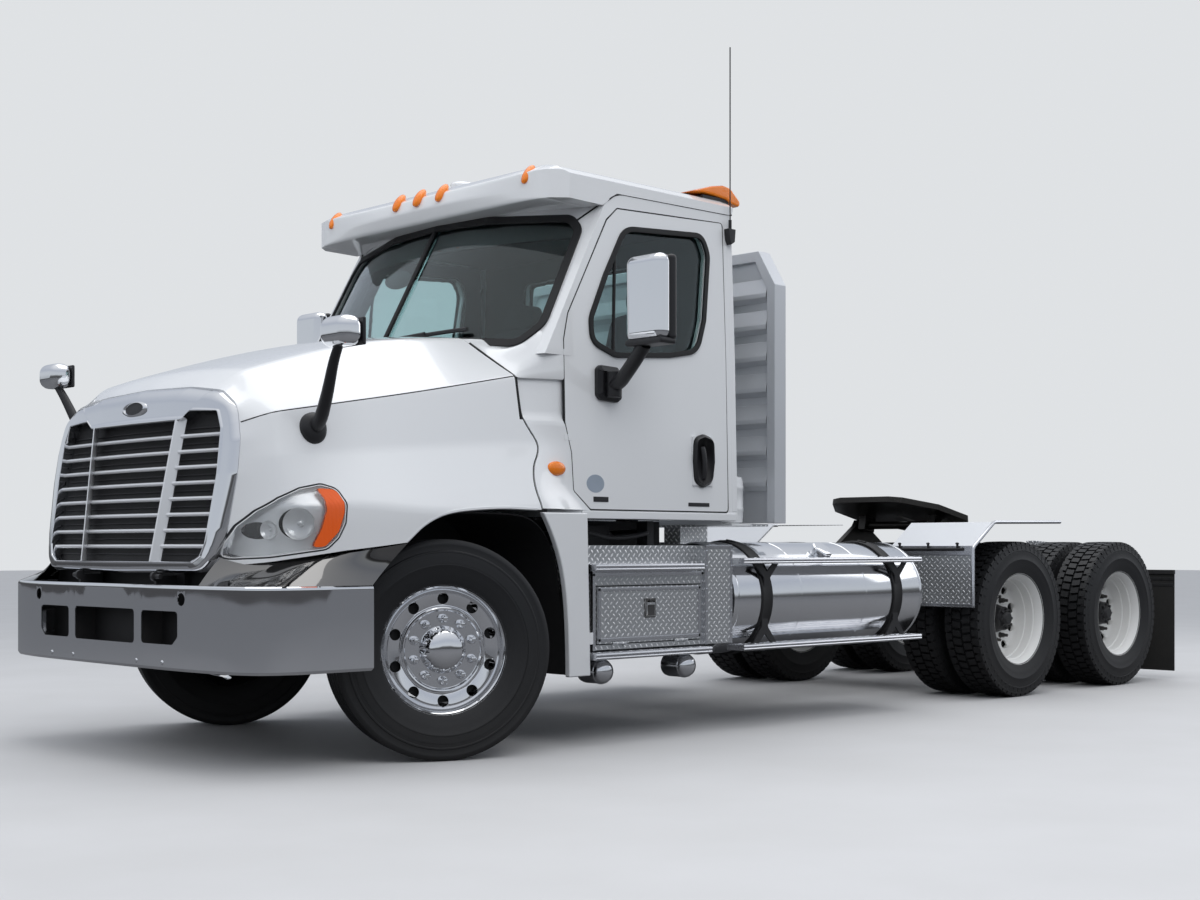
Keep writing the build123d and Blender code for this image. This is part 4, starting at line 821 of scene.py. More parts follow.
class Soft:
    """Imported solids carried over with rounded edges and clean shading."""

    @staticmethod
    def mesh_of(node: str, name: str) -> bpy.types.Object:
        """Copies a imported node's mesh as whole flat faces, in the frame's own place."""
        twin = frame["nodes"][node].copy()
        twin.data = twin.data.copy()
        twin.name = name
        twin.parent = None
        for key in list(twin.keys()):
            del twin[key]
        bpy.context.scene.collection.objects.link(twin)
        twin.hide_render = twin.hide_viewport = False
        with Bench.editing(twin, "VERT"):
            bpy.ops.mesh.select_all(action="SELECT")
            bpy.ops.mesh.customdata_custom_splitnormals_clear()
            bpy.ops.mesh.remove_doubles(threshold=0.00003)
            bpy.ops.mesh.dissolve_limited(angle_limit=math.radians(0.6), delimit={"NORMAL"})
        return twin

    @staticmethod
    def carry(node: str, finish: Finish, rounding: float, body: str = "",
              segments: int = 2) -> bpy.types.Object:
        """Makes a rounded stand-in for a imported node.

        Args:
            node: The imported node.
            finish: Its finish.
            rounding: Width of the bevel on its edges, or 0 to keep them.
            body: The body it rides on, or the node's own.
            segments: Segments of the bevel.

        Returns:
            The stand-in.
        """
        obj = Soft.mesh_of(node, "dressed_" + node)
        if rounding:
            Bench.round_edges(obj, rounding, segments, 28)
        else:
            Bench.smooth(obj, 30)
        body = body or frame["nodes"][node]["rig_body"]
        return Bench.place(obj, finish, body, (node,), from_axle=False)


def bent(start: Vector, corner: Vector, end: Vector, steps: int) -> list[Vector]:
    """Points of the curve from a start to an end that a corner pulls at, both ends included."""
    shares = [k / steps for k in range(steps + 1)]
    return [start * (1 - t) ** 2 + corner * 2 * t * (1 - t) + end * t * t for t in shares]


def rounded(outline: Outline, radius: float, steps: int = 6) -> list[tuple[float, float]]:
    """Rounds the corners of a closed flat outline.

    Args:
        outline: Its corners.
        radius: Radius of the corners, less where the sides are short.
        steps: Points on each corner.

    Returns:
        The points of the rounded outline.
    """
    result = []
    count = len(outline)
    for i, corner in enumerate(outline):
        here = Vector(corner)
        before, after = Vector(outline[i - 1]) - here, Vector(outline[(i + 1) % count]) - here
        turn = math.pi - before.angle(after)
        taken = min(radius * math.tan(turn / 2), before.length * 0.48, after.length * 0.48)
        start, end = here + before.normalized() * taken, here + after.normalized() * taken
        result += [(spot.x, spot.y) for spot in bent(start, here, end, steps)]
    return result


def grown(outline: Outline, by: float) -> list[tuple[float, float]]:
    """Moves each point of a closed flat outline outward along its own normal.

    Args:
        outline: Its points.
        by: How far, inward if negative.

    Returns:
        The moved points.
    """
    area = sum(a[0] * b[1] - b[0] * a[1] for a, b in zip(outline, [*outline[1:], outline[0]]))
    turn = 1 if area > 0 else -1
    result = []
    for i, spot in enumerate(outline):
        a, b = Vector(outline[i - 1]), Vector(outline[(i + 1) % len(outline)])
        along = (b - a).normalized() if (b - a).length > 1e-9 else Vector((1, 0))
        result.append((spot[0] + along.y * turn * by, spot[1] - along.x * turn * by))
    return result


def mirrored(half: Outline) -> list[tuple[float, float]]:
    """Closes a half outline that runs from the middle back to the middle with its mirror image."""
    return [*half, *((-y, z) for y, z in reversed(half[1:-1]))]


def whole(left: Sequence[Point]) -> list[Point]:
    """Puts the mirror image before a row of points that starts on the middle plane."""
    return [*((x, -y, z) for x, y, z in reversed(left)), *left[1:]]


def reach(outline: Outline, centre: Point, angle: float) -> float:
    """Distance from a centre to a closed flat outline along an angle in radians."""
    way = Vector((math.cos(angle), math.sin(angle)))
    best = 0.0
    for first, last in zip(outline, [*outline[1:], outline[0]]):
        a, b = Vector(first) - Vector(centre), Vector(last) - Vector(centre)
        side_a, side_b = way.cross(a), way.cross(b)
        if side_a * side_b <= 0 and side_a != side_b:
            best = max(best, a.lerp(b, side_a / (side_a - side_b)).dot(way))
    return best


def softened(line: Outline, times: int = 4) -> list[tuple[float, float]]:
    """Cuts the corners of an open flat line again and again, its ends kept."""
    points = [tuple(spot) for spot in line]
    for _ in range(times):
        inner = [(a[0] + (b[0] - a[0]) * t, a[1] + (b[1] - a[1]) * t) for a, b in zip(points, points[1:])
                 for t in (0.25, 0.75)]
        points = [points[0], *inner[1:-1], points[-1]]
    return points


def part_way(line: Sequence[Point], share: float) -> list[float]:
    """Place on an open line at a share of its length."""
    steps = [0.0]
    for a, b in zip(line, line[1:]):
        steps.append(steps[-1] + math.dist(a, b))
    return [float(np.interp(share * steps[-1], steps, column)) for column in zip(*line)]


def band(name: str, outline: Outline, on: Callable[[float, float], Vector], inner: float, outer: float,
         thickness: float, rounding: float = 0.003) -> bpy.types.Object:
    """Lays a closed band along an outline on a curved face.

    Args:
        name: Name of the new object.
        outline: Points of its middle line, in the face's own two coordinates.
        on: Gives the place in space of two such coordinates.
        inner: Reach inside the line.
        outer: Reach outside the line.
        thickness: How far it stands out of the face.
        rounding: Bevel of its edges.

    Returns:
        The new object.
    """
    rings = [[on(u, v) for u, v in grown(outline, by)] for by in (-inner, outer)]
    obj = Bench.loop(name, rings[0], False)
    count = len(outline)
    with Bench.editing(obj, "EDGE"):
        bpy.ops.mesh.select_all(action="SELECT")
        bpy.ops.mesh.extrude_region_move(TRANSFORM_OT_translate={"value": (0, 0, 0.001)})
    for i, place in enumerate(rings[1]):
        obj.data.vertices[count + i].co = place
    with Bench.editing(obj):
        bpy.ops.mesh.select_all(action="SELECT")
        bpy.ops.mesh.normals_make_consistent(inside=False)
    middle = obj.data.polygons[0]
    beside = Vector((0.3, math.copysign(1, middle.center.y), 0.0))
    outward = beside if abs(middle.normal.y) > 0.5 else Vector((1, 0, 0.3))
    if middle.normal.dot(outward) < 0:
        obj.data.flip_normals()
    Bench.modify(obj, "SOLIDIFY", thickness=thickness, offset=0.6)
    return Bench.round_edges(obj, rounding, 2, 50)


@dataclass
class Hood:
    """Painted hood with both fenders: a smooth skin over a few cross sections, with its trim."""

    wall: float = 0.014
    front_low: tuple[float, float] = (1.040, 0.600)
    front_high: tuple[float, float] = (0.905, 1.900)
    stations: int = 90
    front_reach: float = 0.130
    front_back: float = 0.020
    lip: float = 0.011
    mouth: tuple = ()

    # x, crown z, shoulder y z, crease y z, waist y z, flare y z, foot y
    SECTIONS = (
        (-0.830, 2.092, 0.700, 2.040, 1.015, 1.880, 1.078, 1.500, 1.112, 1.190, 1.118),
        (-0.480, 2.072, 0.700, 2.020, 1.005, 1.810, 1.062, 1.480, 1.198, 1.170, 1.203),
        (0.100, 2.000, 0.680, 1.960, 1.000, 1.697, 1.060, 1.440, 1.198, 1.150, 1.203),
        (0.560, 1.880, 0.660, 1.845, 0.975, 1.615, 1.035, 1.400, 1.150, 1.170, 1.160),
        (0.900, 1.760, 0.640, 1.725, 0.900, 1.552, 0.955, 1.370, 0.985, 1.150, 0.990),
        (1.110, 1.640, 0.590, 1.600, 0.790, 1.500, 0.835, 1.340, 0.840, 1.140, 0.842),
    )
    RADII = (0.10, 0.03, 0.18, 0.09)
    FOOT_Z = 0.760
    SEAM = ((-0.505, 1.160), (-0.492, 1.270), (-0.520, 1.370), (-0.580, 1.440), (-0.592, 1.490),
            (-0.545, 1.555), (-0.514, 1.610), (-0.510, 1.700), (-0.510, 1.940))
    LAMP = ((0.998, 0.925), (0.990, 1.000), (0.962, 1.075), (0.915, 1.140), (0.850, 1.195), (0.765, 1.238),
            (0.675, 1.258), (0.610, 1.237), (0.583, 1.170), (0.590, 1.085), (0.620, 1.020), (0.668, 0.970),
            (0.884, 0.935))
    MOUTH = ((0.0, 1.716), (0.400, 1.704), (0.660, 1.672), (0.790, 1.600), (0.838, 1.450), (0.842, 1.300),
             (0.808, 1.050), (0.765, 0.930), (0.700, 0.868), (0.0, 0.862))
    MOUTH_CENTRE = (0.0, 1.250)

    def section(self, x: float) -> list[float]:
        """Reads the cross section's sizes at a length by smooth steps between the drawn ones."""
        rows = np.array(self.SECTIONS)
        xs = rows[:, 0]
        slopes = np.diff(rows, axis=0) / np.diff(xs)[:, None]
        tangents = np.vstack([slopes[:1], (slopes[:-1] + slopes[1:]) / 2, slopes[-1:]])
        flat = np.vstack([np.zeros((1, rows.shape[1]), bool), slopes[:-1] * slopes[1:] <= 0,
                          np.zeros((1, rows.shape[1]), bool)])
        tangents[flat] = 0
        i = int(np.clip(np.searchsorted(xs, x) - 1, 0, len(xs) - 2))
        step = xs[i + 1] - xs[i]
        t = (x - xs[i]) / step
        value = ((1 + 2 * t) * (1 - t) ** 2 * rows[i] + t * (1 - t) ** 2 * step * tangents[i]
                 + t * t * (3 - 2 * t) * rows[i + 1] + t * t * (t - 1) * step * tangents[i + 1])
        return value.tolist()

    def half(self, x: float) -> list[tuple[float, float]]:
        """Points of the left half of a cross section, from the crown down to the foot."""
        _, crown, *rest = self.section(x)
        corners = [Vector((rest[i], rest[i + 1])) for i in (0, 2, 4, 6)] + [Vector((rest[8], self.FOOT_Z))]
        last, pull = Vector((0.0, crown)), Vector((corners[0].x * 0.5, crown))
        points = []
        for radius, corner, after in zip(self.RADII, corners, corners[1:]):
            back, ahead = (last if points else pull) - corner, after - corner
            turn = math.pi - back.angle(ahead)
            taken = min(radius * math.tan(turn / 2) * 1.3, back.length * 0.45, ahead.length * 0.45)
            a, b = corner + back.normalized() * taken, corner + ahead.normalized() * taken
            if points:
                points += [last.lerp(a, k / 9) for k in range(9)]
            else:
                points += bent(last, pull, a, 9)[:-1]
            points += bent(a, corner, b, 6)
            last = b
        points += [last.lerp(corners[-1], (k + 1) / 6) for k in range(6)]
        return [(p.x, p.y) for p in points]

    def front(self, z: float) -> float:
        """X of the leaning plane where the skin ends behind the grille's rim."""
        (x0, z0), (x1, z1) = self.front_low, self.front_high
        return x0 - self.front_back + (x1 - x0) * (z - z0) / (z1 - z0)

    def gather(self, spot: Point) -> Vector:
        """Draws a point of the skin's front in to the rim of the grille."""
        x, y, z = spot
        share = max(0.0, min(1.0, 1 - (self.front(z) - x) / self.front_reach)) ** 2.2
        if share == 0.0:
            return Vector(spot)
        if not self.mouth:
            outline = grown(rounded(mirrored(self.MOUTH), 0.10, 8), 0.004)
            angles = np.linspace(-math.pi, math.pi, 361)
            self.mouth = (angles, [reach(outline, self.MOUTH_CENTRE, angle) for angle in angles])
        way = Vector((y, z)) - Vector(self.MOUTH_CENTRE)
        rim = way.normalized() * float(np.interp(math.atan2(way.y, way.x), *self.mouth))
        way = way.lerp(rim, share) + Vector(self.MOUTH_CENTRE)
        return Vector((x, way.x, way.y))

    def side(self, x: float, z: float) -> Vector:
        """Place on the left flank at a length and a height."""
        points = self.half(x)
        for (y0, z0), (y1, z1) in zip(points, points[1:]):
            if z1 <= z <= z0 and z0 > z1:
                return self.gather((x, y0 + (y1 - y0) * (z0 - z) / (z0 - z1), z))
        return Vector((x, points[-1][0], z))

    def skin(self, name: str, wall: float, inward: float = 0.0) -> bpy.types.Object:
        """Builds the whole untrimmed skin as a closed sheet that ends at the leaning front plane.

        Args:
            name: Name of the new object.
            wall: Its thickness, inward.
            inward: How far its outer face lies inside the hood's.

        Returns:
            The new object.
        """
        start, end = -0.83, 1.11
        lengths = np.linspace(start, end, 140)
        drawn = np.array([self.half(x) for x in lengths])
        rows = []
        for k in range(self.stations):
            share = 1 - (1 - k / (self.stations - 1)) ** 1.8
            left = []
            for column in range(drawn.shape[1]):
                x = 0.5
                for _ in range(3):
                    z = float(np.interp(x, lengths, drawn[:, column, 1]))
                    x = start + (self.front(z) - start) * share
                left.append((x, float(np.interp(x, lengths, drawn[:, column, 0])), z))
            rows.append([self.gather(spot) for spot in whole(left)])
        obj = Bench.loft(name, rows, outward=(0, 0, 1))
        if inward:
            Bench.modify(obj, "SOLIDIFY", thickness=inward, offset=-1, use_rim=False)
            half = len(obj.data.polygons) // 2
            keep = set(range(half, half * 2))
            with Bench.editing(obj):
                bpy.ops.mesh.select_all(action="DESELECT")
            for face in obj.data.polygons:
                face.select = face.index not in keep
            with Bench.editing(obj):
                bpy.ops.mesh.delete(type="FACE")
                bpy.ops.mesh.select_all(action="SELECT")
                bpy.ops.mesh.flip_normals()
        return Bench.modify(obj, "SOLIDIFY", thickness=wall, offset=-1)

    @staticmethod
    def bow(y: float) -> float:
        """X of the bowed rear edge of the hood's top."""
        return -0.350 - 0.150 * (y / 1.01) ** 2

    def rear(self) -> bpy.types.Object:
        """Block behind the bowed rear seam."""
        bow = [(self.bow(y), y) for y in np.linspace(-1.01, 1.01, 25)]
        outline = [(-1.6, -1.5), (-0.52, -1.5), *bow, (-0.52, 1.5), (-1.6, 1.5)]
        return Bench.prism("rear_tool", [(x, y, 1.6) for x, y in outline], (0, 0, 1.0))

    def below(self) -> bpy.types.Object:
        """Block below the arches and the lower edge and behind the side seam."""
        outline = [(1.3, 0.846), (1.0, 0.898), (0.6, 0.966), *self.arch(), *softened(self.SEAM, 3),
                   (-1.5, 1.94), (-1.5, 0.3), (1.3, 0.3)]
        return Bench.side_prism("below_tool", outline, (-1.5, 1.5))

    def arch(self) -> list[tuple[float, float]]:
        """Side outline of the wheel arch, from the front corner back to the seam."""
        outline = [(0.300, 1.002), (0.200, 1.085), (0.060, 1.142), (-0.240, 1.165), (-0.480, 1.160)]
        points = [outline[0]]
        for before, corner, after in zip(outline, outline[1:], outline[2:]):
            a, b, c = Vector(before), Vector(corner), Vector(after)
            points += [(spot.x, spot.y) for spot in bent(b.lerp(a, 0.45), b, b.lerp(c, 0.45), 6)]
        return [*points, outline[-1]]

    def lamp(self, by: float) -> bpy.types.Object:
        """Block of the left headlight's outline, grown by a distance and pulled through the flank."""
        return Bench.side_prism("lamp_tool", grown(rounded(self.LAMP, 0.05, 5), by), (0.7, 1.3))

    def build(self) -> None:
        """Builds the skin, its arch lips and its crease seams."""
        shell = self.skin("hood_skin", self.wall)
        Bench.cut(shell, self.rear())
        Bench.cut(shell, self.below())
        Bench.cut(shell, self.lamp(0.002))
        right = self.lamp(0.002)
        right.data.transform(Matrix.Diagonal((1, -1, 1, 1)))
        right.data.flip_normals()
        Bench.cut(shell, right)
        Bench.smooth(shell, 24)
        Bench.place(shell, Paint.WHITE, "hood", ("hood_shell",))
        self.lips()
        self.seams()

    def lips(self) -> None:
        """Rolled lip along each wheel arch."""
        path = [self.side(x, z + self.lip * 0.5) - Vector((0, self.lip * 0.9, 0)) for x, z in self.arch()]
        lip = Bench.sweep("arch_lips", path, self.lip, sides=3, smooth=False)
        Bench.place(Bench.both_sides(lip), Paint.WHITE, "hood")

    def seams(self) -> None:
        """Dark joint between the hood's top and each flank."""
        path = []
        for k in range(40):
            x = -0.500 + (0.918 + 0.500) * k / 39
            path.append(self.gather((x, *self.half(x)[28])))
        seam = Bench.sweep("crease_seams", path, 0.0028, sides=2, smooth=False)
        Bench.place(Bench.both_sides(seam), Paint.RUBBER, "hood")


@dataclass
class Headlights:
    """Both headlights: clear lens over a bright bowl with two reflectors and an amber strip."""

    hood: Hood
    lens_wall: float = 0.004
    bowl_depth: float = 0.042
    rim: float = 0.012
    # centre x, centre z, radius, depth of each reflector
    BOWLS = ((0.762, 1.082, 0.066, 0.045), (0.884, 1.052, 0.037, 0.030))
    AMBER = ((0.700, 1.238), (0.625, 1.232), (0.594, 1.200), (0.596, 1.130), (0.620, 1.050), (0.676, 0.984),
             (0.728, 0.978), (0.690, 1.060), (0.668, 1.140), (0.672, 1.190))

    def build(self) -> None:
        """Builds the left lamp's pieces and their mirror images."""
        pieces = []
        outline = rounded(self.AMBER, 0.03, 4)
        lens = self.hood.skin("lamp_lenses", self.lens_wall, 0.001)
        Bench.cut(lens, self.hood.lamp(-0.006), "INTERSECT")
        pieces.append((Bench.cut(lens, Bench.side_prism("amber_tool", outline, (0.7, 1.3))), Paint.LENS))
        rim = self.hood.skin("lamp_rims", self.rim)
        Bench.cut(rim, self.hood.lamp(0.0), "INTERSECT")
        pieces.append((Bench.cut(rim, self.hood.lamp(-0.005)), Paint.PLASTIC))
        bowl = self.hood.skin("lamp_bowls", 0.004, self.bowl_depth)
        Bench.cut(bowl, self.hood.lamp(-0.008), "INTERSECT")
        for x, z, radius, _ in self.BOWLS:
            Bench.cut(bowl, Bench.rod("bowl_tool", (x, 0.6, z), (x, 1.4, z), radius, 36))
        pieces.append((bowl, Paint.REFLECTOR))
        wall = self.hood.skin("lamp_walls", self.bowl_depth)
        Bench.cut(wall, self.hood.lamp(-0.005), "INTERSECT")
        pieces.append((Bench.cut(wall, self.hood.lamp(-0.008)), Paint.REFLECTOR))
        amber = self.hood.skin("lamp_ambers", 0.010, 0.0015)
        Bench.cut(amber, self.hood.lamp(-0.006), "INTERSECT")
        pieces.append((Bench.cut(amber, Bench.side_prism("amber_tool", outline, (0.7, 1.3)), "INTERSECT"),
                       Paint.SIGNAL))
        pieces.append((self.reflectors(), Paint.REFLECTOR))
        for number, (piece, finish) in enumerate(pieces):
            both = Bench.both_sides(Bench.smooth(piece, 30))
            Bench.place(both, finish, "hood", ("headlights",) if number == 0 else ())

    def reflectors(self) -> bpy.types.Object:
        """Dished reflectors with a raised bulb shield in their middle."""
        parts = []
        for x, z, radius, depth in self.BOWLS:
            face = self.hood.side(x, z)
            ahead = (self.hood.side(x + 0.05, z) - self.hood.side(x - 0.05, z)).normalized()
            look = Vector((-ahead.y, ahead.x, 0)).normalized()
            if look.y < 0:
                look = -look
            dish = Bench.lathe("dish", [(0.0, 0.0), (0.004, radius * 0.35), (depth * 0.45, radius * 0.75),
                                        (depth, radius), (depth + 0.003, radius + 0.004),
                                        (depth - 0.004, radius + 0.004), (-0.004, 0.0)], 40)
            cap = Bench.lathe("cap", [(0.0, 0.0), (0.0, radius * 0.2), (depth * 0.7, radius * 0.17),
                                      (depth * 0.85, 0.0)], 20)
            both = Bench.join("dish", [dish, cap])
            aim = (look + Vector((0.5, 0, 0))).normalized()
            tilt = Vector((0, 1, 0)).rotation_difference(aim).to_matrix().to_4x4()
            both.data.transform(Matrix.Translation(face - look * (self.bowl_depth + depth * 0.6)) @ tilt)
            parts.append(both)
        return Bench.join("lamp_reflectors", parts)


@dataclass
class Grille:
    """Chrome surround, its bars and blades, the mesh behind them and the bare badge."""

    hood: Hood
    low: tuple[float, float] = (1.094, 0.850)
    high: tuple[float, float] = (0.965, 1.720)
    bow: float = 0.045
    bars: int = 8
    first_bar: float = 0.985
    bar_step: float = 0.0705
    bar_radius: float = 0.0095
    badge_z: float = 1.624

    OPENING = ((0.0, 1.548), (0.405, 1.548), (0.470, 1.588), (0.680, 1.580), (0.722, 1.500), (0.735, 1.300),
               (0.714, 1.000), (0.690, 0.945), (0.630, 0.918), (0.0, 0.918))
    # share of the way from the opening to the rim, depth behind the face
    SECTION = ((0.0, 0.062), (0.0, 0.008), (0.015, 0.002), (0.06, 0.0), (0.11, 0.001), (0.14, 0.006),
               (0.20, 0.007), (0.55, 0.005), (0.74, 0.009), (0.86, 0.018), (0.95, 0.034), (0.99, 0.055),
               (1.0, 0.080), (1.0, 0.125), (0.94, 0.125))

    def face(self, y: float, z: float) -> float:
        """X of the leaning and bowed front face at a place."""
        (x0, z0), (x1, z1) = self.low, self.high
        return x0 + (x1 - x0) * (z - z0) / (z1 - z0) - self.bow * (y / 0.8) ** 2

    def build(self) -> None:
        """Builds the surround, bars, blades, mesh and badge."""
        self.surround()
        self.rails()
        self.mesh()
        self.badge()

    def surround(self) -> None:
        """Chrome frame with a raised lip at the opening and a deep rounded rim."""
        centre = self.hood.MOUTH_CENTRE
        inner = rounded(mirrored(self.OPENING), 0.024, 4)
        outer = rounded(mirrored(self.hood.MOUTH), 0.10, 8)
        angles = sorted({round(math.atan2(z - centre[1], y), 3) for y, z in inner + outer})
        spans = [(reach(inner, centre, angle), reach(outer, centre, angle)) for angle in angles]
        rows = []
        for share, depth in self.SECTION:
            row = []
            for angle, (near, far) in zip(angles, spans):
                out = near + (far - near) * share
                y, z = centre[0] + out * math.cos(angle), centre[1] + out * math.sin(angle)
                row.append((self.face(y, z) - depth, y, z))
            rows.append(row)
        Bench.place(Bench.smooth(Bench.loft("grille_surround", rows, (True, True)), 50), Paint.CHROME, "hood",
                    ("grille_surround",))

    def half_width(self, z: float) -> float:
        """Half width that the bars span at a height."""
        return 0.738 if z < 1.3 else 0.738 - (z - 1.3) * 0.080

    def rails(self) -> None:
        """Rounded bright bars across and two slanted blades in front of them."""
        parts = []
        for i in range(self.bars):
            z = self.first_bar + i * self.bar_step
            reach_y = self.half_width(z)
            spots = [reach_y * (k / 8 - 1) for k in range(17)]
            parts.append(Bench.sweep("bar", [(self.face(y, z) - 0.030, y, z) for y in spots],
                                     self.bar_radius))
        for side in (1, -1):
            rows = []
            for y, z in ((0.340, 0.915), (0.400, 1.556)):
                x = self.face(y, z)
                corners = ((0.002, -0.024), (0.002, -0.013), (-0.034, 0.020), (-0.041, 0.012))
                rows.append([(x + dx, side * (y + dy), z) for dx, dy in corners])
            parts.append(Bench.round_edges(Bench.loft("blade", rows, (True, False)), 0.002))
        Bench.place(Bench.join("grille_rails", parts), Paint.BARS, "hood", ("grille_bars",))

    def mesh(self) -> None:
        """Fine dark mesh behind the bars, with its stiffening ribs."""
        rows = []
        for z in (0.900, 1.100, 1.300, 1.500, 1.600):
            spots = [0.745 * (k / 8 - 1) for k in range(17)]
            rows.append([(self.face(y, z) - 0.058, y, z) for y in spots])
        sheet = Bench.modify(Bench.loft("grille_mesh", rows, outward=(1, 0, 0)), "SOLIDIFY", thickness=0.003)
        Bench.place(Bench.smooth(sheet), Paint.DEEP, "hood")
        parts = []
        for i in range(9):
            z = self.first_bar + (i - 0.5) * self.bar_step
            spots = [(self.face(k / 10, z) - 0.054, k / 10, z) for k in range(-7, 8)]
            parts.append(Bench.sweep("rib", spots, 0.004, sides=1))
        Bench.place(Bench.join("grille_ribs", parts), Paint.PLASTIC, "hood")

    def badge(self) -> None:
        """Bare oval badge: a chrome ring round a dark plain field."""
        tilt = Matrix.Rotation(math.atan2(self.low[0] - self.high[0], self.high[1] - self.low[1]), 4, "Y")
        ring = Bench.lathe("badge_ring", [(0.0, 0.026), (0.008, 0.027), (0.012, 0.030), (0.008, 0.035),
                                          (0.0, 0.037)], 56)
        field = Bench.lathe("badge_field", [(0.0, 0.0), (0.006, 0.0), (0.004, 0.028), (0.0, 0.028)], 56)
        move = (Matrix.Translation((self.face(0, self.badge_z) - 0.008, 0, self.badge_z)) @ tilt.inverted()
                @ Matrix.Diagonal((1, 3.1, 1, 1)) @ AHEAD)
        for piece, finish in ((ring, Paint.CHROME), (field, Paint.PLASTIC)):
            piece.data.transform(move)
            Bench.place(piece, finish, "hood")


@dataclass
class Bumper:
    """Wrapped chrome bumper with its openings, sloped upper tiers, bolts and dark backing."""

    hood: Hood
    top: float = 0.815
    sheet: float = 0.005

    PLAN = ((1.130, 0.0), (1.130, 0.480), (1.113, 0.820), (1.056, 1.080), (0.905, 1.186), (0.485, 1.199))
    # inward from the plan, z
    FACE = ((0.055, 0.452), (0.024, 0.441), (0.008, 0.443), (0.0, 0.456), (0.0, 0.630), (0.0, 0.798),
            (0.003, 0.809), (0.011, 0.815), (0.058, 0.817))
    OPENINGS = (((-0.279, 0.552), (0.279, 0.552), (0.279, 0.705), (-0.279, 0.705)),
                ((0.343, 0.556), (0.600, 0.556), (0.642, 0.590), (0.642, 0.702), (0.343, 0.702)))

    def plan(self, inward: float = 0.0) -> list[tuple[float, float]]:
        """Plan of the left half from the middle to its rear end, moved inward by a distance."""
        points = softened(self.PLAN, 4)
        moved = []
        for i, (x, y) in enumerate(points):
            a, b = Vector(points[max(0, i - 1)]), Vector(points[min(len(points) - 1, i + 1)])
            along = (b - a).normalized()
            moved.append((x - along.y * inward, y + along.x * inward))
        return moved

    def build(self) -> None:
        """Builds the face, the tiers, the bolts and what shows behind the openings."""
        self.face()
        self.tiers()
        self.bolts()
        backing = Bench.block("bumper_grids", (1.010, -0.720, 0.500), (1.016, 0.720, 0.800))
        Bench.place(backing, Paint.RUBBER, "chassis")
        outline = [(-0.860, 0.780), (0.860, 0.780), (0.820, 0.892), (-0.820, 0.892)]
        valance = Bench.front_prism("grille_valance", outline, (0.930, 0.936), 0.001)
        Bench.place(valance, Paint.PLASTIC, "chassis")

    def face(self) -> None:
        """Wrapped face with rolled edges, three openings and two tow holes."""
        rows = []
        for inward, z in self.FACE:
            rows.append(whole([(x, y, z) for x, y in self.plan(inward)]))
        face = Bench.loft("bumper_face", rows, outward=(1, 0, 0.1))
        Bench.modify(face, "SOLIDIFY", thickness=self.sheet, offset=-1)
        left = self.OPENINGS[1]
        for outline in (*self.OPENINGS, [(-y, z) for y, z in reversed(left)]):
            Bench.cut(face, Bench.front_prism("opening_tool", rounded(outline, 0.022, 4), (0.95, 1.2)))
        for side in (1, -1):
            Bench.cut(face, Bench.rod("tow_tool", (1.0, side * 0.670, 0.755), (1.3, side * 0.670, 0.755),
                                      0.028, 32))
        Bench.cut(face, Bench.side_prism("heel_tool", [(0.480, 0.42), (0.505, 0.42), (0.480, 0.465)],
                                         (-1.3, 1.3)))
        Bench.modify(Bench.smooth(face, 30), "WEIGHTED_NORMAL", keep_sharp=True, weight=80)
        Bench.place(face, Paint.CHROME, "chassis", ("bumper",))

    def tiers(self) -> None:
        """Bright panels that rise from the bumper's top to just below the hood's lower edge."""
        low = [spot for spot in self.plan(0.010) if spot[1] > 0.765]
        count = 30
        rows = []
        for k in range(count + 1):
            share = k / count
            x1 = 0.985 + (0.292 - 0.985) * share
            z1 = 0.895 + (0.998 - 0.895) * share
            head = self.hood.side(x1, z1) - Vector((0.004, 0.014, 0))
            foot = Vector((*part_way(low, share), self.top))
            row = []
            for j in range(9):
                t = j / 8
                row.append(foot.lerp(head, t) + Vector((-0.4, -1, 0)) * 0.018 * math.sin(math.pi * t))
            row.append(head + Vector((-0.02, -0.03, 0.012)))
            rows.append(row)
        sheet = Bench.loft("bumper_tiers", rows, outward=(0.3, 1, 0.3))
        Bench.modify(sheet, "SOLIDIFY", thickness=0.004, offset=-1)
        seam = Bench.sweep("tier_seams", rows[14][:9], 0.0022, sides=1)
        Bench.place(Bench.both_sides(Bench.smooth(sheet, 40)), Paint.SMOKED, "chassis")
        Bench.place(Bench.both_sides(seam), Paint.RUBBER, "chassis")

    def bolts(self) -> None:
        """Chrome bolt heads low on the face."""
        bolt = Bench.lathe("bumper_bolts", [(0.0, 0.0), (0.010, 0.0), (0.008, 0.008), (0.002, 0.013),
                                            (0.0, 0.013)], 20)
        bolt.data.transform(AHEAD)
        places = [Matrix.Translation((x, y, 0.475))
                  for x, y in ((1.123, 0.52), (1.125, 0.30), (1.125, -0.30), (1.123, -0.52))]
        Bench.place(Bench.repeat(bolt, "bumper_bolts", places), Paint.CHROME, "chassis")


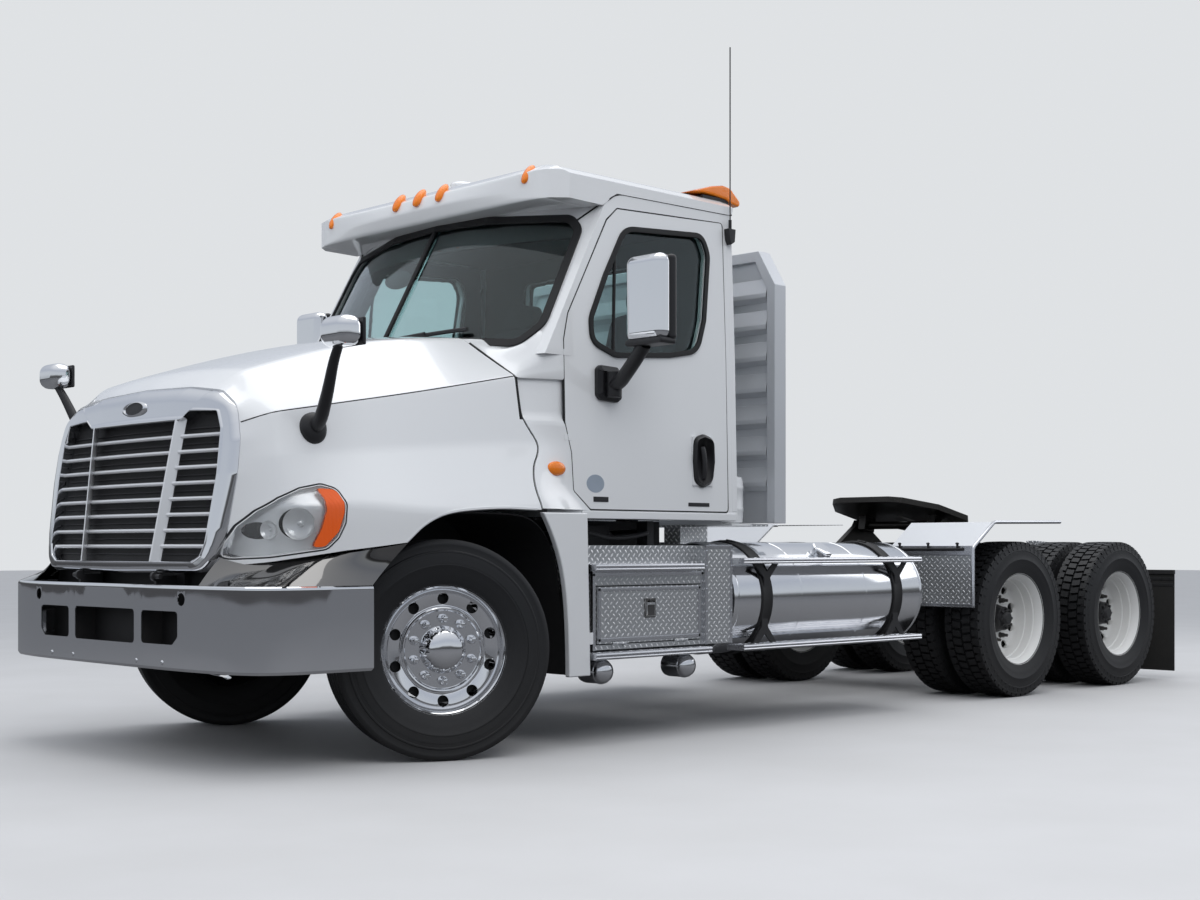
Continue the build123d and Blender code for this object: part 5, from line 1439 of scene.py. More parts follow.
@dataclass
class HoodMirrors:
    """Fender mirrors: black foot and arm, chrome head with its convex glass to the rear."""

    head: tuple[float, float, float] = (0.728, 1.295, 1.888)
    PATH = ((0.655, 0.975, 1.500), (0.660, 1.035, 1.505), (0.688, 1.140, 1.640), (0.715, 1.225, 1.780),
            (0.728, 1.288, 1.850))

    def build(self) -> None:
        """Builds the left mirror's pieces and their mirror images."""
        arm = Bench.sweep("arm", self.PATH, 0.030)
        spine = [Vector(spot) for spot in self.PATH]
        for vertex in arm.data.vertices:
            z = vertex.co.z
            index = max(i for i in range(len(spine) - 1) if spine[i].z <= z or i == 0)
            a, b = spine[index], spine[index + 1]
            share = max(0.0, min(1.0, (z - a.z) / max(b.z - a.z, 0.001)))
            centre = a.lerp(b, share)
            vertex.co = centre + (vertex.co - centre) * (1.05 - 0.40 * max(0.0, min(1.0, (z - 1.50) / 0.35)))
        foot = Bench.lathe("foot", [(-0.030, 0.0), (-0.030, 0.058), (0.006, 0.058), (0.020, 0.050),
                                    (0.032, 0.034), (0.034, 0.0)], 40)
        foot.data.transform(Matrix.Translation((0.655, 0.990, 1.500)) @ Matrix.Rotation(0.14, 4, "X")
                            @ Matrix.Diagonal((1.1, 1, 1.25, 1)))
        Bench.place(Bench.both_sides(Bench.join("fender_mirror_arms", [foot, arm])), Paint.PLASTIC, "hood",
                    ("hood_mirrors",))
        x, y, z = self.head
        shell = Bench.block("fender_mirror_heads", (x - 0.058, y - 0.098, z - 0.062),
                            (x + 0.060, y + 0.100, z + 0.068))
        Bench.round_edges(shell, 0.050, 7, 30)
        Bench.place(Bench.both_sides(shell), Paint.CHROME, "hood")
        ring = Bench.block("fender_mirror_rings", (x - 0.066, y - 0.090, z - 0.056),
                           (x - 0.050, y + 0.092, z + 0.062))
        Bench.place(Bench.both_sides(Bench.round_edges(ring, 0.007, 3)), Paint.PLASTIC, "hood")
        glass = Bench.block("fender_mirror_glasses", (x - 0.070, y - 0.080, z - 0.047),
                            (x - 0.064, y + 0.082, z + 0.053))
        Bench.place(Bench.both_sides(Bench.round_edges(glass, 0.003)), Paint.CHROME, "hood")


@dataclass
class Cab:
    """Cab shell, its glass rubbers, roof cap, lamps and fittings."""

    floor_z: float = 1.130
    belt_z: float = 1.980
    top_z: float = 2.800
    half_low: float = 1.088
    half_belt: float = 1.070
    half_top: float = 1.040
    nose_x: float = -0.376
    nose_z: float = 1.900
    nose_sag: float = 0.235
    lean: float = 0.555
    rear_x: float = -2.055

    WINDSHIELD = ((0.0, 2.042), (0.400, 2.030), (0.900, 1.990), (0.985, 2.085), (0.962, 2.590),
                  (0.895, 2.655), (0.400, 2.695), (0.0, 2.704))
    REAR_WINDOW = ((-0.620, 2.060), (0.620, 2.060), (0.600, 2.600), (-0.600, 2.600))
    DOOR = ((-0.935, 1.172), (-0.822, 1.262), (-0.812, 1.450), (-0.770, 1.600), (-0.770, 2.010),
            (-0.802, 2.140), (-1.090, 2.644), (-1.165, 2.712), (-1.975, 2.748), (-1.975, 1.172))
    SIDE_WINDOW = ((-0.960, 2.015), (-1.125, 1.960), (-1.534, 1.993), (-1.740, 2.030), (-1.800, 2.203),
                   (-1.846, 2.560), (-1.800, 2.655), (-1.215, 2.615), (-1.068, 2.362), (-0.955, 2.130))

    def half(self, z: float) -> float:
        """Half width of the cab at a height."""
        if z < self.belt_z:
            share = (z - self.floor_z) / (self.belt_z - self.floor_z)
            return self.half_low + (self.half_belt - self.half_low) * share
        share = min(1.0, (z - self.belt_z) / (self.top_z - self.belt_z))
        return self.half_belt + (self.half_top - self.half_belt) * share

    @property
    def nose_radius(self) -> float:
        """Radius of the nose's bow in plan, from its sag at 1 m beside the middle."""
        return (1.0 + self.nose_sag ** 2) / (2 * self.nose_sag)

    def nose(self, y: float, z: float) -> Vector:
        """Place on the bowed and leaned face that holds the windshield."""
        radius = self.nose_radius
        x = self.nose_x - radius + math.sqrt(radius ** 2 - y * y) - self.lean * (z - self.nose_z)
        return Vector((x, y, z))

    def flank(self, x: float, z: float) -> Vector:
        """Place on the left side at a length and a height."""
        return Vector((x, self.half(z), z))

    def build(self) -> None:
        """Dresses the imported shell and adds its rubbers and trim."""
        for node in ("cab_floor", "cab_back"):
            Soft.carry(node, Paint.WHITE, 0.004, "chassis")
        Soft.carry("cab_glass", Paint.GLASS, 0.0, "chassis")
        self.roof_cap()
        self.header()
        Bench.place(self.windshield_rubber(), Paint.RUBBER, "chassis")
        self.rear_window_rubber()
        self.door_seals()
        self.sills()
        self.roof()
        self.fittings()

    def roof_cap(self) -> None:
        """Roof cap and visor as one soft skin, lower and further back towards its ends."""
        side = [(-0.712, 2.722), (-0.684, 2.790), (-0.705, 2.858), (-0.800, 2.905), (-0.980, 2.950),
                (-1.300, 2.989), (-1.650, 2.989), (-2.000, 2.916), (-2.061, 2.872), (-2.061, 2.802),
                (-1.160, 2.790), (-1.062, 2.717)]
        steps = 72
        arch = ((0.0, 2.989), (0.18, 2.988), (0.50, 2.966), (0.75, 2.941), (0.90, 2.912), (1.00, 2.880),
                (1.046, 2.846))
        plan = ((0.0, -0.675), (0.35, -0.683), (0.70, -0.708), (0.90, -0.730), (0.98, -0.755),
                (1.046, -0.830))
        rows = []
        for x, z in rounded(side, 0.035, 6):
            row = []
            for k in range(steps + 1):
                y = 1.046 * math.sin(math.pi / 2 * (2 * k / steps - 1))
                top, front = (np.interp(abs(y), *zip(*table)) for table in (arch, plan))
                row.append((self.lower_of(x, front), y, self.lower_of(z, top)))
            rows.append(row)
        obj = Bench.loft("roof_cap", rows, (False, True))
        Bench.place(Bench.smooth(obj, 42), Paint.WHITE, "chassis", ("roof_cap",))

    @staticmethod
    def lower_of(value: float, limit: float, blend: float = 0.018) -> float:
        """The lower of two numbers, with a soft passage where they meet."""
        share = max(0.0, min(1.0, 0.5 + (value - limit) / (2 * blend)))
        return value + (limit - value) * share - blend * share * (1 - share)

    def header(self) -> None:
        """Painted rail under the roof cap's edge and the dark joint between the two."""
        outline = [(-2.054, 2.736), (-2.054, 2.799), (-1.168, 2.788), (-1.072, 2.722), (-1.080, 2.700)]
        rail = Bench.side_prism("roof_rails", outline, (0.900, self.half(2.76) + 0.001), 0.002)
        Bench.place(Bench.both_sides(rail), Paint.WHITE, "chassis")
        line = softened([(-0.985, 2.640), (-1.062, 2.716), (-1.155, 2.792), (-1.300, 2.795),
                         (-2.055, 2.805)], 3)
        path = [Vector((x, 0, z)) for x, z in line]
        for spot in path:
            spot.y = min(self.half(spot.z), self.nose_limit(spot)) + 0.001
        joint = Bench.sweep("roof_joints", path, 0.005, sides=2, smooth=False)
        Bench.place(Bench.both_sides(joint), Paint.RUBBER, "chassis")

    def knuckles(self) -> bpy.types.Object:
        """Block over the left door's front edge that takes in whatever stands proud of the cab's side."""
        low, high = self.half(1.40) + 0.0012, self.half(1.975) + 0.0012
        return Bench.front_prism("knuckle_tool", [(low, 1.40), (high, 1.975), (1.25, 1.975), (1.25, 1.40)],
                                 (-0.900, -0.640))

    @staticmethod
    def on_side(tool: bpy.types.Object, side: Side) -> bpy.types.Object:
        """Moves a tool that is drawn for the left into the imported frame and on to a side."""
        tool.data.transform(Matrix.Translation((AXLE_X, 0, 0)) @ Matrix.Diagonal((1, side.value, 1, 1)))
        if side is Side.RIGHT:
            tool.data.flip_normals()
        return tool

    @staticmethod
    def trimmed(node: str, side: Side, *tools: bpy.types.Object) -> bpy.types.Object:
        """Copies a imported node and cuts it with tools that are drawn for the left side.

        Args:
            node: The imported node.
            side: The side it stands on.
            *tools: The tools, which are deleted.

        Returns:
            The copy with its edges rounded.
        """
        obj = Soft.mesh_of(node, "dressed_" + node)
        for tool in tools:
            Bench.cut(obj, Cab.on_side(tool, side))
        return Bench.round_edges(obj, 0.004, 2, 28)

    def windshield_rubber(self) -> bpy.types.Object:
        """Broad black rubber round the windshield and the strip between its halves."""
        path = rounded(mirrored(self.WINDSHIELD), 0.085, 8)
        rim = band("windshield_rubber", path, lambda y, z: self.nose(y, z) + Vector((0.002, 0, 0)), 0.018,
                   0.020, 0.014)
        strip = Bench.sweep("strip", [self.nose(0, 2.035 + k * 0.0835) for k in range(9)], 0.012,
                            smooth=False)
        return Bench.join("windshield_rubber", [rim, strip])

    def rear_window_rubber(self) -> None:
        """Rubber round the back window."""
        path = [(self.rear_x - 0.001, y, z) for y, z in rounded(self.REAR_WINDOW, 0.05, 6)]
        rim = Bench.sweep("rear_window_rubber", path, 0.014, closed=True, smooth=False)
        Bench.place(rim, Paint.RUBBER, "chassis")

    def door_seals(self) -> None:
        """Dark seal in the gap round each door."""
        path = [Vector((x, self.half(z) - 0.006, z)) for x, z in rounded(grown(self.DOOR, 0.003), 0.023, 4)]
        for spot in path:
            spot.y = min(spot.y, self.nose_limit(spot) - 0.006)
        seal = Bench.sweep("door_seals", path, 0.0075, closed=True, sides=2, smooth=False)
        Bench.place(Bench.both_sides(seal), Paint.RUBBER, "chassis")

    def nose_limit(self, spot: Vector) -> float:
        """Half width that the bowed nose leaves at a place, where it cuts the cab's front corners."""
        radius = self.nose_radius
        ahead = spot.x + self.lean * (spot.z - self.nose_z) - (self.nose_x - radius)
        if spot.z < self.nose_z or ahead >= radius:
            return self.half(spot.z)
        return max(0.9, min(self.half(spot.z), math.sqrt(max(0.0, radius ** 2 - ahead ** 2))))

    def sills(self) -> None:
        """Painted rail below each door."""
        sill = Bench.block("sills", (-2.040, 1.060, 1.124), (-0.870, 1.096, 1.164), 0.006)
        Bench.place(Bench.both_sides(sill), Paint.WHITE, "chassis")

    def roof(self) -> None:
        """Roof and side lamps, beacon, aerial pods and the tail lamps."""
        lamps = []
        for x, y in ((-0.706, 0.0), (-0.711, 0.185), (-0.711, -0.185), (-0.747, 0.830), (-0.747, -0.830)):
            body = Bench.ball("lamp", (0, 0, 0), (0.062, 0.030, 0.024), 12)
            body.data.transform(Matrix.Translation((x, y, 2.858)) @ Matrix.Rotation(math.radians(54), 4, "Y"))
            lamps.append(body)
        for side in (1, -1):
            body = Bench.ball("marker", (-0.688, side * 1.102, 1.366), (0.060, 0.020, 0.036), 14)
            lamps.append(body)
        outline = [(-1.800, 2.912), (-1.950, 2.958), (-2.040, 2.975), (-2.100, 2.968), (-2.185, 2.900),
                   (-2.172, 2.870), (-2.105, 2.880), (-2.060, 2.898), (-1.960, 2.908)]
        beacon = Bench.side_prism("beacon", outline, (0.780, 1.000), 0.014)
        lamps.append(beacon)
        Bench.place(Bench.join("amber_lamps", lamps), Paint.AMBER, "chassis", ("lamps",))
        base = Bench.block("beacon_base", (-2.090, 0.790, 2.862), (-1.877, 0.990, 2.904), 0.006)
        Bench.place(base, Paint.PLASTIC, "chassis")
        pods = [Bench.ball("pod", (-1.243, 0.403, 2.990), (0.085, 0.055, 0.042), 14),
                Bench.ball("pod", (-1.030, 0.0, 2.966), (0.100, 0.060, 0.028), 14)]
        Bench.place(Bench.join("aerial_pods", pods), Paint.WHITE, "chassis")
        tails = [Bench.block("tail", (-6.812, y - 0.05, 0.870), (-6.790, y + 0.05, 0.940), 0.006)
                 for y in (-0.340, -0.220, 0.220, 0.340)]
        Bench.place(Bench.join("tail_lenses", tails), Paint.RED, "chassis")

    def fittings(self) -> None:
        """Antenna with its tapered base, and both wipers with blades."""
        y = self.half(2.63)
        outline = [(-2.047, 2.720), (-1.987, 2.720), (-1.995, 2.660), (-2.010, 2.632), (-2.040, 2.650)]
        base = Bench.side_prism("base", outline, (y, y + 0.036), 0.004)
        whip = Bench.rod("whip", (-2.016, y + 0.020, 2.715), (-2.016, y + 0.020, 3.714), 0.0035, 10)
        spring = Bench.rod("spring", (-2.016, y + 0.020, 2.715), (-2.016, y + 0.020, 2.770), 0.009, 16, 0.002)
        parts = [base, whip, spring]
        for side in (1, -1):
            heel, toe = self.nose(side * 0.06, 2.050), self.nose(side * 0.600, 2.075)
            pivot = Vector((-0.430, side * 0.06, 1.990))
            lift = Vector((0.022, 0, 0.012))
            parts.append(Bench.sweep("arm", [pivot, heel + lift, heel.lerp(toe, 0.5) + lift * 1.2], 0.010,
                                     smooth=False))
            parts.append(Bench.sweep("blade", [heel.lerp(toe, 0.12) + lift * 0.6, heel.lerp(toe, 0.55) + lift,
                                               toe + lift * 0.6], 0.011))
            parts.append(Bench.ball("cap", pivot, (0.022, 0.022, 0.014), 10))
        Bench.place(Bench.join("antenna_and_wipers", parts), Paint.PLASTIC, "chassis", ("cab_fittings",))


@dataclass
class Cowl:
    """Painted panels between the hood's rear edge and the doors, with the step below the crease line."""

    cab: Cab
    hood: Hood
    gap: float = 0.013
    recess: float = 0.022
    columns: int = 16

    # height, share of the recess
    STEP = ((1.10, 0.0), (1.585, 0.0), (1.600, 0.12), (1.620, 0.7), (1.640, 1.0), (1.804, 1.0), (1.808, 0.0))
    # x, z of the panel's rear edge beside the door
    EDGE = ((-0.931, 1.167), (-0.818, 1.262), (-0.808, 1.450), (-0.766, 1.600), (-0.766, 1.930))
    # y, z along the foot of the windshield, from the pillar inward
    SILL = ((0.990, 2.060), (0.955, 2.000), (0.900, 1.968), (0.800, 1.972))

    def build(self) -> None:
        """Builds the panels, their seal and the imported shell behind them."""
        for side in Side:
            node = "cab_side_" + side.word
            outline = [(-0.931, 1.10), *self.EDGE[1:], (0.0, 1.930), (0.0, 1.10)]
            room = Bench.side_prism("room_tool", outline, (0.90, 1.30))
            piece = Cab.trimmed(node, side, room, self.cab.knuckles())
            Bench.place(piece, Paint.WHITE, "chassis", (node,), from_axle=False)
        wings = [Bench.block("wing_tool", (-0.950, 0.985, 1.00), (-0.380, 1.300, 1.935)) for _ in Side]
        shell = Soft.mesh_of("cab_cowl", "dressed_cab_cowl")
        for side, wing in zip(Side, wings):
            Bench.cut(shell, Cab.on_side(wing, side))
        Bench.place(Bench.round_edges(shell, 0.006, 3, 28), Paint.WHITE, "chassis", ("cab_cowl",),
                    from_axle=False)
        self.panels()

    def rails(self) -> list[tuple[Vector, Vector, float]]:
        """Pairs of points that the panel spans, from its foot up, with the recess's depth at each."""
        heights = sorted({*np.linspace(1.167, 1.803, 26).round(4), *(z for z, _ in self.STEP[1:-1]), 1.8075})
        seam_x, seam_z = zip(*softened(self.hood.SEAM, 3))
        edge_x, edge_z = zip(*self.EDGE)
        pairs = []
        for z in heights:
            x = float(np.interp(z, seam_z, seam_x)) - self.gap
            near = self.hood.side(x, z)
            far = Vector((float(np.interp(z, edge_z, edge_x)), self.cab.half(z) + 0.0005, z))
            depth = self.recess * float(np.interp(z, *zip(*self.STEP)))
            pairs.append((near, far, depth))
        rear = [Vector((-0.766, self.cab.half(z) + 0.0005, z)) for z in (1.815, 1.860, 1.930)]
        rear += [Vector((-0.752, self.cab.half(1.985) - 0.002, 1.985))]
        rear += [self.cab.nose(y, z) + Vector((0.005, 0, 0)) for y, z in self.SILL]
        places = range(28, 16, -1)
        for number, index in enumerate(places):
            y, z = self.hood.half(-0.50)[index]
            near = Vector((self.hood.bow(y) - self.gap, y, z))
            pairs.append((near, Vector(part_way(rear, number / (len(places) - 1))), 0.0))
        return pairs

    def panels(self) -> None:
        """Panel of each side, its recess and the seal in the gap to the hood."""
        rows, edge = [], []
        for near, far, depth in self.rails():
            row = []
            for k in range(self.columns + 1):
                share = k / self.columns
                spot = near.lerp(far, share)
                soft = share * share * (3 - 2 * share)
                spot.y = near.y + (far.y - near.y) * soft - depth
                row.append(spot)
            rows.append(row)
            edge.append(near - Vector((-self.gap / 2, 0.016, 0)))
        sheet = Bench.loft("cowl_panels", rows, outward=(0.2, 1, 0.2))
        Bench.modify(sheet, "SOLIDIFY", thickness=0.010, offset=-1)
        Bench.place(Bench.both_sides(Bench.smooth(sheet, 30)), Paint.WHITE, "chassis")
        seal = Bench.sweep("cowl_seals", edge, 0.010, sides=2, smooth=False)
        Bench.place(Bench.both_sides(seal), Paint.RUBBER, "chassis")


@dataclass
class Door:
    """One door: painted panel, window rubber, vent bar, handle, discs and mirror, built for the left."""

    cab: Cab
    side: Side

    HANDLE = ((-1.700, 1.330), (-1.762, 1.302), (-1.835, 1.330), (-1.852, 1.440), (-1.846, 1.560),
              (-1.765, 1.580), (-1.696, 1.560), (-1.690, 1.440))

    @property
    def body(self) -> str:
        """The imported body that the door's pieces ride on."""
        return "door_" + self.side.word

    def turned(self, piece: bpy.types.Object, finish: Finish, replaces: Sequence[str] = ()) -> None:
        """Places a piece modelled for the left door on this side.

        Args:
            piece: The piece.
            finish: Its finish.
            replaces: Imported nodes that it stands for.
        """
        piece.name = f"{piece.name}_{self.side.word}"
        if self.side is Side.RIGHT:
            piece.data.transform(Matrix.Diagonal((1, -1, 1, 1)))
            piece.data.flip_normals()
        Bench.place(piece, finish, self.body, replaces)

    def build(self) -> None:
        """Builds every piece of the door."""
        node = "door_panel_" + self.side.word
        panel = self.cab.trimmed(node, self.side, self.cab.knuckles())
        Bench.place(panel, Paint.WHITE, self.body, (node,), from_axle=False)
        Soft.carry("door_glass_" + self.side.word, Paint.GLASS, 0.0)
        self.lining()
        self.window()
        self.handle()
        self.plates()
        self.mirror()

    def lining(self) -> None:
        """Dark trim on the door's inner face, cut out for its window."""
        board = Bench.side_prism("door_lining", grown(self.cab.DOOR, -0.012), (0.972, 0.996), 0.006)
        Bench.cut(board, Bench.side_prism("lining_tool", rounded(grown(self.cab.SIDE_WINDOW, 0.004), 0.07, 5),
                                          (0.90, 1.10)))
        pull = Bench.block("pull", (-1.700, 0.925, 1.640), (-1.250, 0.974, 1.690), 0.015)
        self.turned(Bench.join("door_lining", [Bench.smooth(board), pull]), Paint.TRIM)

    def window(self) -> None:
        """Thick rubber round the window and the bar of its vent pane."""
        path = rounded(self.cab.SIDE_WINDOW, 0.120, 8)
        rim = band("window_rubber", path, lambda x, z: self.cab.flank(x, z) + Vector((0, 0.001, 0)), 0.012,
                   0.016, 0.014)
        low, high = self.cab.flank(-1.128, 1.968), self.cab.flank(-1.160, 2.520)
        inward = Vector((0, 0.020, 0))
        bar = Bench.sweep("bar", [low - inward, high - inward], 0.010, smooth=False)
        self.turned(Bench.join("window_rubber", [rim, bar]), Paint.RUBBER)

    def handle(self) -> None:
        """Dark oval cup with its grip and lock."""
        y = self.cab.half(1.44)
        plate = Bench.side_prism("handle", rounded(self.HANDLE, 0.05, 4), (y - 0.004, y + 0.015), 0.005)
        Bench.raise_faces(plate, lambda c, n: n.y > 0.9, 0.014, -0.012)
        grip = Bench.sweep("grip", [(-1.772, y + 0.006, 1.350), (-1.772, y + 0.018, 1.390),
                                    (-1.768, y + 0.018, 1.480), (-1.766, y + 0.008, 1.515)], 0.013,
                           flat=(1.5, 1, 1))
        lock = Bench.lathe("lock", [(0.0, 0.0), (0.0, 0.014), (0.008, 0.013), (0.008, 0.0)], 24)
        lock.data.transform(Matrix.Translation((-1.768, y + 0.004, 1.545)))
        self.turned(Bench.join("door_handle", [plate, grip, lock]), Paint.PLASTIC)

    def plates(self) -> None:
        """Plain disc and two bare plates low on the door."""
        disc = Bench.lathe("door_disc", [(0.0, 0.0), (0.0, 0.046), (0.0015, 0.045), (0.0015, 0.0)], 40)
        disc.data.transform(Matrix.Translation((-0.972, self.cab.half(1.30), 1.300))
                            @ Matrix.Diagonal((1.35, 1, 1, 1)))
        self.turned(disc, Paint.STICKER)
        parts = []
        for x, z, half, tall in ((-1.008, 1.222, 0.052, 0.013), (-1.740, 1.208, 0.082, 0.010)):
            y = self.cab.half(z)
            parts.append(Bench.block("plate", (x - half, y - 0.001, z - tall),
                                     (x + half, y + 0.003, z + tall), 0.001))
        self.turned(Bench.join("door_plates", parts), Paint.PLASTIC)

    def mirror(self) -> None:
        """Black foot and bent arm, chrome head with its collar and both glasses."""
        y = self.cab.half(1.8)
        name = "door_mirror_" + self.side.word
        outline = [(-1.150, 1.735), (-1.120, 1.715), (-1.000, 1.722), (-0.975, 1.745), (-0.975, 1.880),
                   (-1.000, 1.898), (-1.120, 1.894), (-1.150, 1.860)]
        foot = Bench.side_prism("mirror_arm", rounded(outline, 0.02, 3), (y - 0.003, y + 0.024), 0.006)
        Bench.raise_faces(foot, lambda c, n: n.y > 0.9, 0.030, 0.014)
        arm = Bench.sweep("arm", [(-1.060, y + 0.010, 1.790), (-1.052, y + 0.090, 1.795),
                                  (-1.030, y + 0.175, 1.850), (-1.012, 1.345, 1.925),
                                  (-1.008, 1.390, 1.975)], 0.036, sides=5)
        knuckle = Bench.rod("knuckle", (-1.058, y + 0.055, 1.735), (-1.058, y + 0.055, 1.865), 0.040, 24,
                            0.006)
        collar = Bench.block("collar", (-1.066, 1.306, 1.966), (-0.954, 1.554, 1.998), 0.012)
        self.turned(Bench.join("mirror_arm", [foot, arm, knuckle, collar]), Paint.PLASTIC, (name,))
        head = Bench.block("mirror_head", (-1.050, 1.300, 1.985), (-0.950, 1.552, 2.410))
        Bench.round_edges(head, 0.046, 7, 30)
        self.turned(head, Paint.CHROME)
        frame_ring = Bench.block("mirror_frame", (-1.072, 1.306, 1.988), (-1.022, 1.560, 2.406))
        Bench.round_edges(frame_ring, 0.022, 4, 30)
        self.turned(frame_ring, Paint.PLASTIC)
        glasses = [Bench.block("glass", (-1.0745, 1.326, 2.130), (-1.070, 1.534, 2.384), 0.002),
                   Bench.block("glass", (-1.0745, 1.326, 2.004), (-1.070, 1.534, 2.112), 0.002)]
        self.turned(Bench.join("mirror_glass", glasses), Paint.CHROME)


@dataclass
class Interior:
    """Seats, dash, wheel, the dark band of visors and painted shadow behind the windshield's top, and linings
    as seen through the glass.
    """

    cab: Cab
    seat_y: float = 0.520

    def build(self) -> None:
        """Builds the seats and their bases, the dash, the wheel, the band of visors and painted shadow, and
        the linings.
        """
        for side in Side:
            self.seat(side)
        bases = [Bench.block("base", (-1.800, y - 0.2, 1.176), (-1.330, y + 0.2, 1.478), 0.03)
                 for y in (self.seat_y, -self.seat_y)]
        Bench.place(Bench.join("seat_bases", bases), Paint.TRIM, "chassis", ("seats",))
        Soft.carry("dashboard", Paint.TRIM, 0.012, "chassis", 3)
        self.wheel()
        self.visor()
        self.linings()
        mirror = Bench.ball("cab_mirror", (-0.800, -0.300, 2.460), (0.016, 0.125, 0.050), 12)
        Bench.place(mirror, Paint.TRIM, "chassis")

    def linings(self) -> None:
        """Dark trim of the back wall, roof, floor and windshield pillars."""
        half = [(0.985, 1.182), (0.985, 1.980), (0.960, 2.735)]
        back = Bench.front_prism("cab_linings", [*half, *((-y, z) for y, z in reversed(half))],
                                 (-2.006, -1.990), 0.002)
        Bench.cut(back, Bench.front_prism("lining_tool", rounded(self.cab.REAR_WINDOW, 0.06, 5),
                                          (-2.1, -1.9)))
        parts = [Bench.smooth(back),
                 Bench.block("ceiling", (-1.990, -0.955, 2.728), (-0.945, 0.955, 2.744), 0.004),
                 Bench.block("floor", (-1.985, -0.960, 1.178), (-0.760, 0.960, 1.190), 0.004)]
        for side in (1, -1):
            spots = [self.cab.nose(side * 0.950, 1.95 + k * 0.125) - Vector((0.098, 0, 0)) for k in range(7)]
            parts.append(Bench.sweep("pillar", spots, 0.034))
        Bench.place(Bench.join("cab_linings", parts), Paint.TRIM, "chassis")

    def pad(self, name: str, low: Point, high: Point, puff: float, turn: float = 0.0) -> bpy.types.Object:
        """Models one crowned cushion.

        Args:
            name: Name of the new object.
            low: Its lowest corner.
            high: Its highest corner.
            puff: How far its broad face is crowned.
            turn: Lean about its lower rear edge, in radians.

        Returns:
            The cushion.
        """
        obj = Bench.block(name, low, high)
        with Bench.editing(obj):
            bpy.ops.mesh.select_all(action="SELECT")
            bpy.ops.mesh.subdivide(number_cuts=5)
        centre = (Vector(low) + Vector(high)) / 2
        half = (Vector(high) - Vector(low)) / 2
        for vertex in obj.data.vertices:
            share = [(vertex.co[i] - centre[i]) / half[i] for i in range(3)]
            thin = min(range(3), key=lambda i: half[i])
            others = [i for i in range(3) if i != thin]
            crown = (1 - share[others[0]] ** 4) * (1 - share[others[1]] ** 4)
            vertex.co[thin] += math.copysign(puff * (crown - 0.35), share[thin]) * abs(share[thin])
            for i in others:
                vertex.co[i] -= share[i] * 0.02 * share[others[0]] ** 2 * share[others[1]] ** 2
        Bench.modify(obj, "SUBSURF", levels=2, render_levels=2)
        if turn:
            heel = Vector((low[0], 0, low[2]))
            obj.data.transform(Matrix.Translation(heel) @ Matrix.Rotation(turn, 4, "Y")
                               @ Matrix.Translation(-heel))
        return Bench.smooth(obj, 60)

    def seat(self, side: Side) -> None:
        """Cushion, leaned back and head rest of one seat."""
        y = side.value * self.seat_y
        word = side.word
        pads = (("cushion", (-1.820, y - 0.245, 1.482), (-1.295, y + 0.245, 1.612), 0.022, 0.0),
                ("backrest", (-1.830, y - 0.235, 1.615), (-1.722, y + 0.235, 2.300), 0.018, -0.190),
                ("head_rest", (-1.965, y - 0.125, 2.305), (-1.878, y + 0.125, 2.455), 0.012, 0.0))
        for label, low, high, puff, turn in pads:
            obj = self.pad(f"{label}_{word}", low, high, puff, turn)
            Bench.place(obj, Paint.CLOTH, "chassis")

    def wheel(self) -> None:
        """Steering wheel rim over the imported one, with its hub pad."""
        tilt = Matrix.Translation((-1.190, 0.520, 1.790)) @ Vector((0, 1, 0)).rotation_difference(
            Vector((-0.75, 0, 0.66))).to_matrix().to_4x4()
        ring = [(0.217 * math.cos(math.tau * k / 48), 0.0, 0.217 * math.sin(math.tau * k / 48))
                for k in range(48)]
        rim = Bench.sweep("steering_rim", ring, 0.0165, closed=True, smooth=False)
        hub = Bench.lathe("hub", [(-0.02, 0.0), (-0.02, 0.06), (0.01, 0.075), (0.022, 0.05), (0.024, 0.0)],
                          32)
        both = Bench.join("steering_rim", [rim, hub])
        both.data.transform(tilt)
        Bench.place(both, Paint.PLASTIC, "chassis")

    def visor(self) -> None:
        """Black band behind the top of the windshield: the sun visors, with the shadow under the roof visor
        painted in as the same dark sheet.
        """
        bpy.ops.mesh.primitive_grid_add(x_subdivisions=24, y_subdivisions=4, size=1)
        sheet = Bench.named("sun_visors")
        for vertex in sheet.data.vertices:
            share = vertex.co.x * 2
            y = share * 0.92
            z = 2.555 + (2.700 - 2.555) * (vertex.co.y + 0.5)
            vertex.co = self.cab.nose(y, z) - Vector((0.050, 0, 0.0))
        sheet.data.update()
        Bench.modify(sheet, "SOLIDIFY", thickness=0.012, offset=0)
        # Painted shadow: black plastic darkens the top of the windshield where the roof visor's shade falls.
        Bench.place(Bench.smooth(sheet), Paint.PLASTIC, "chassis")


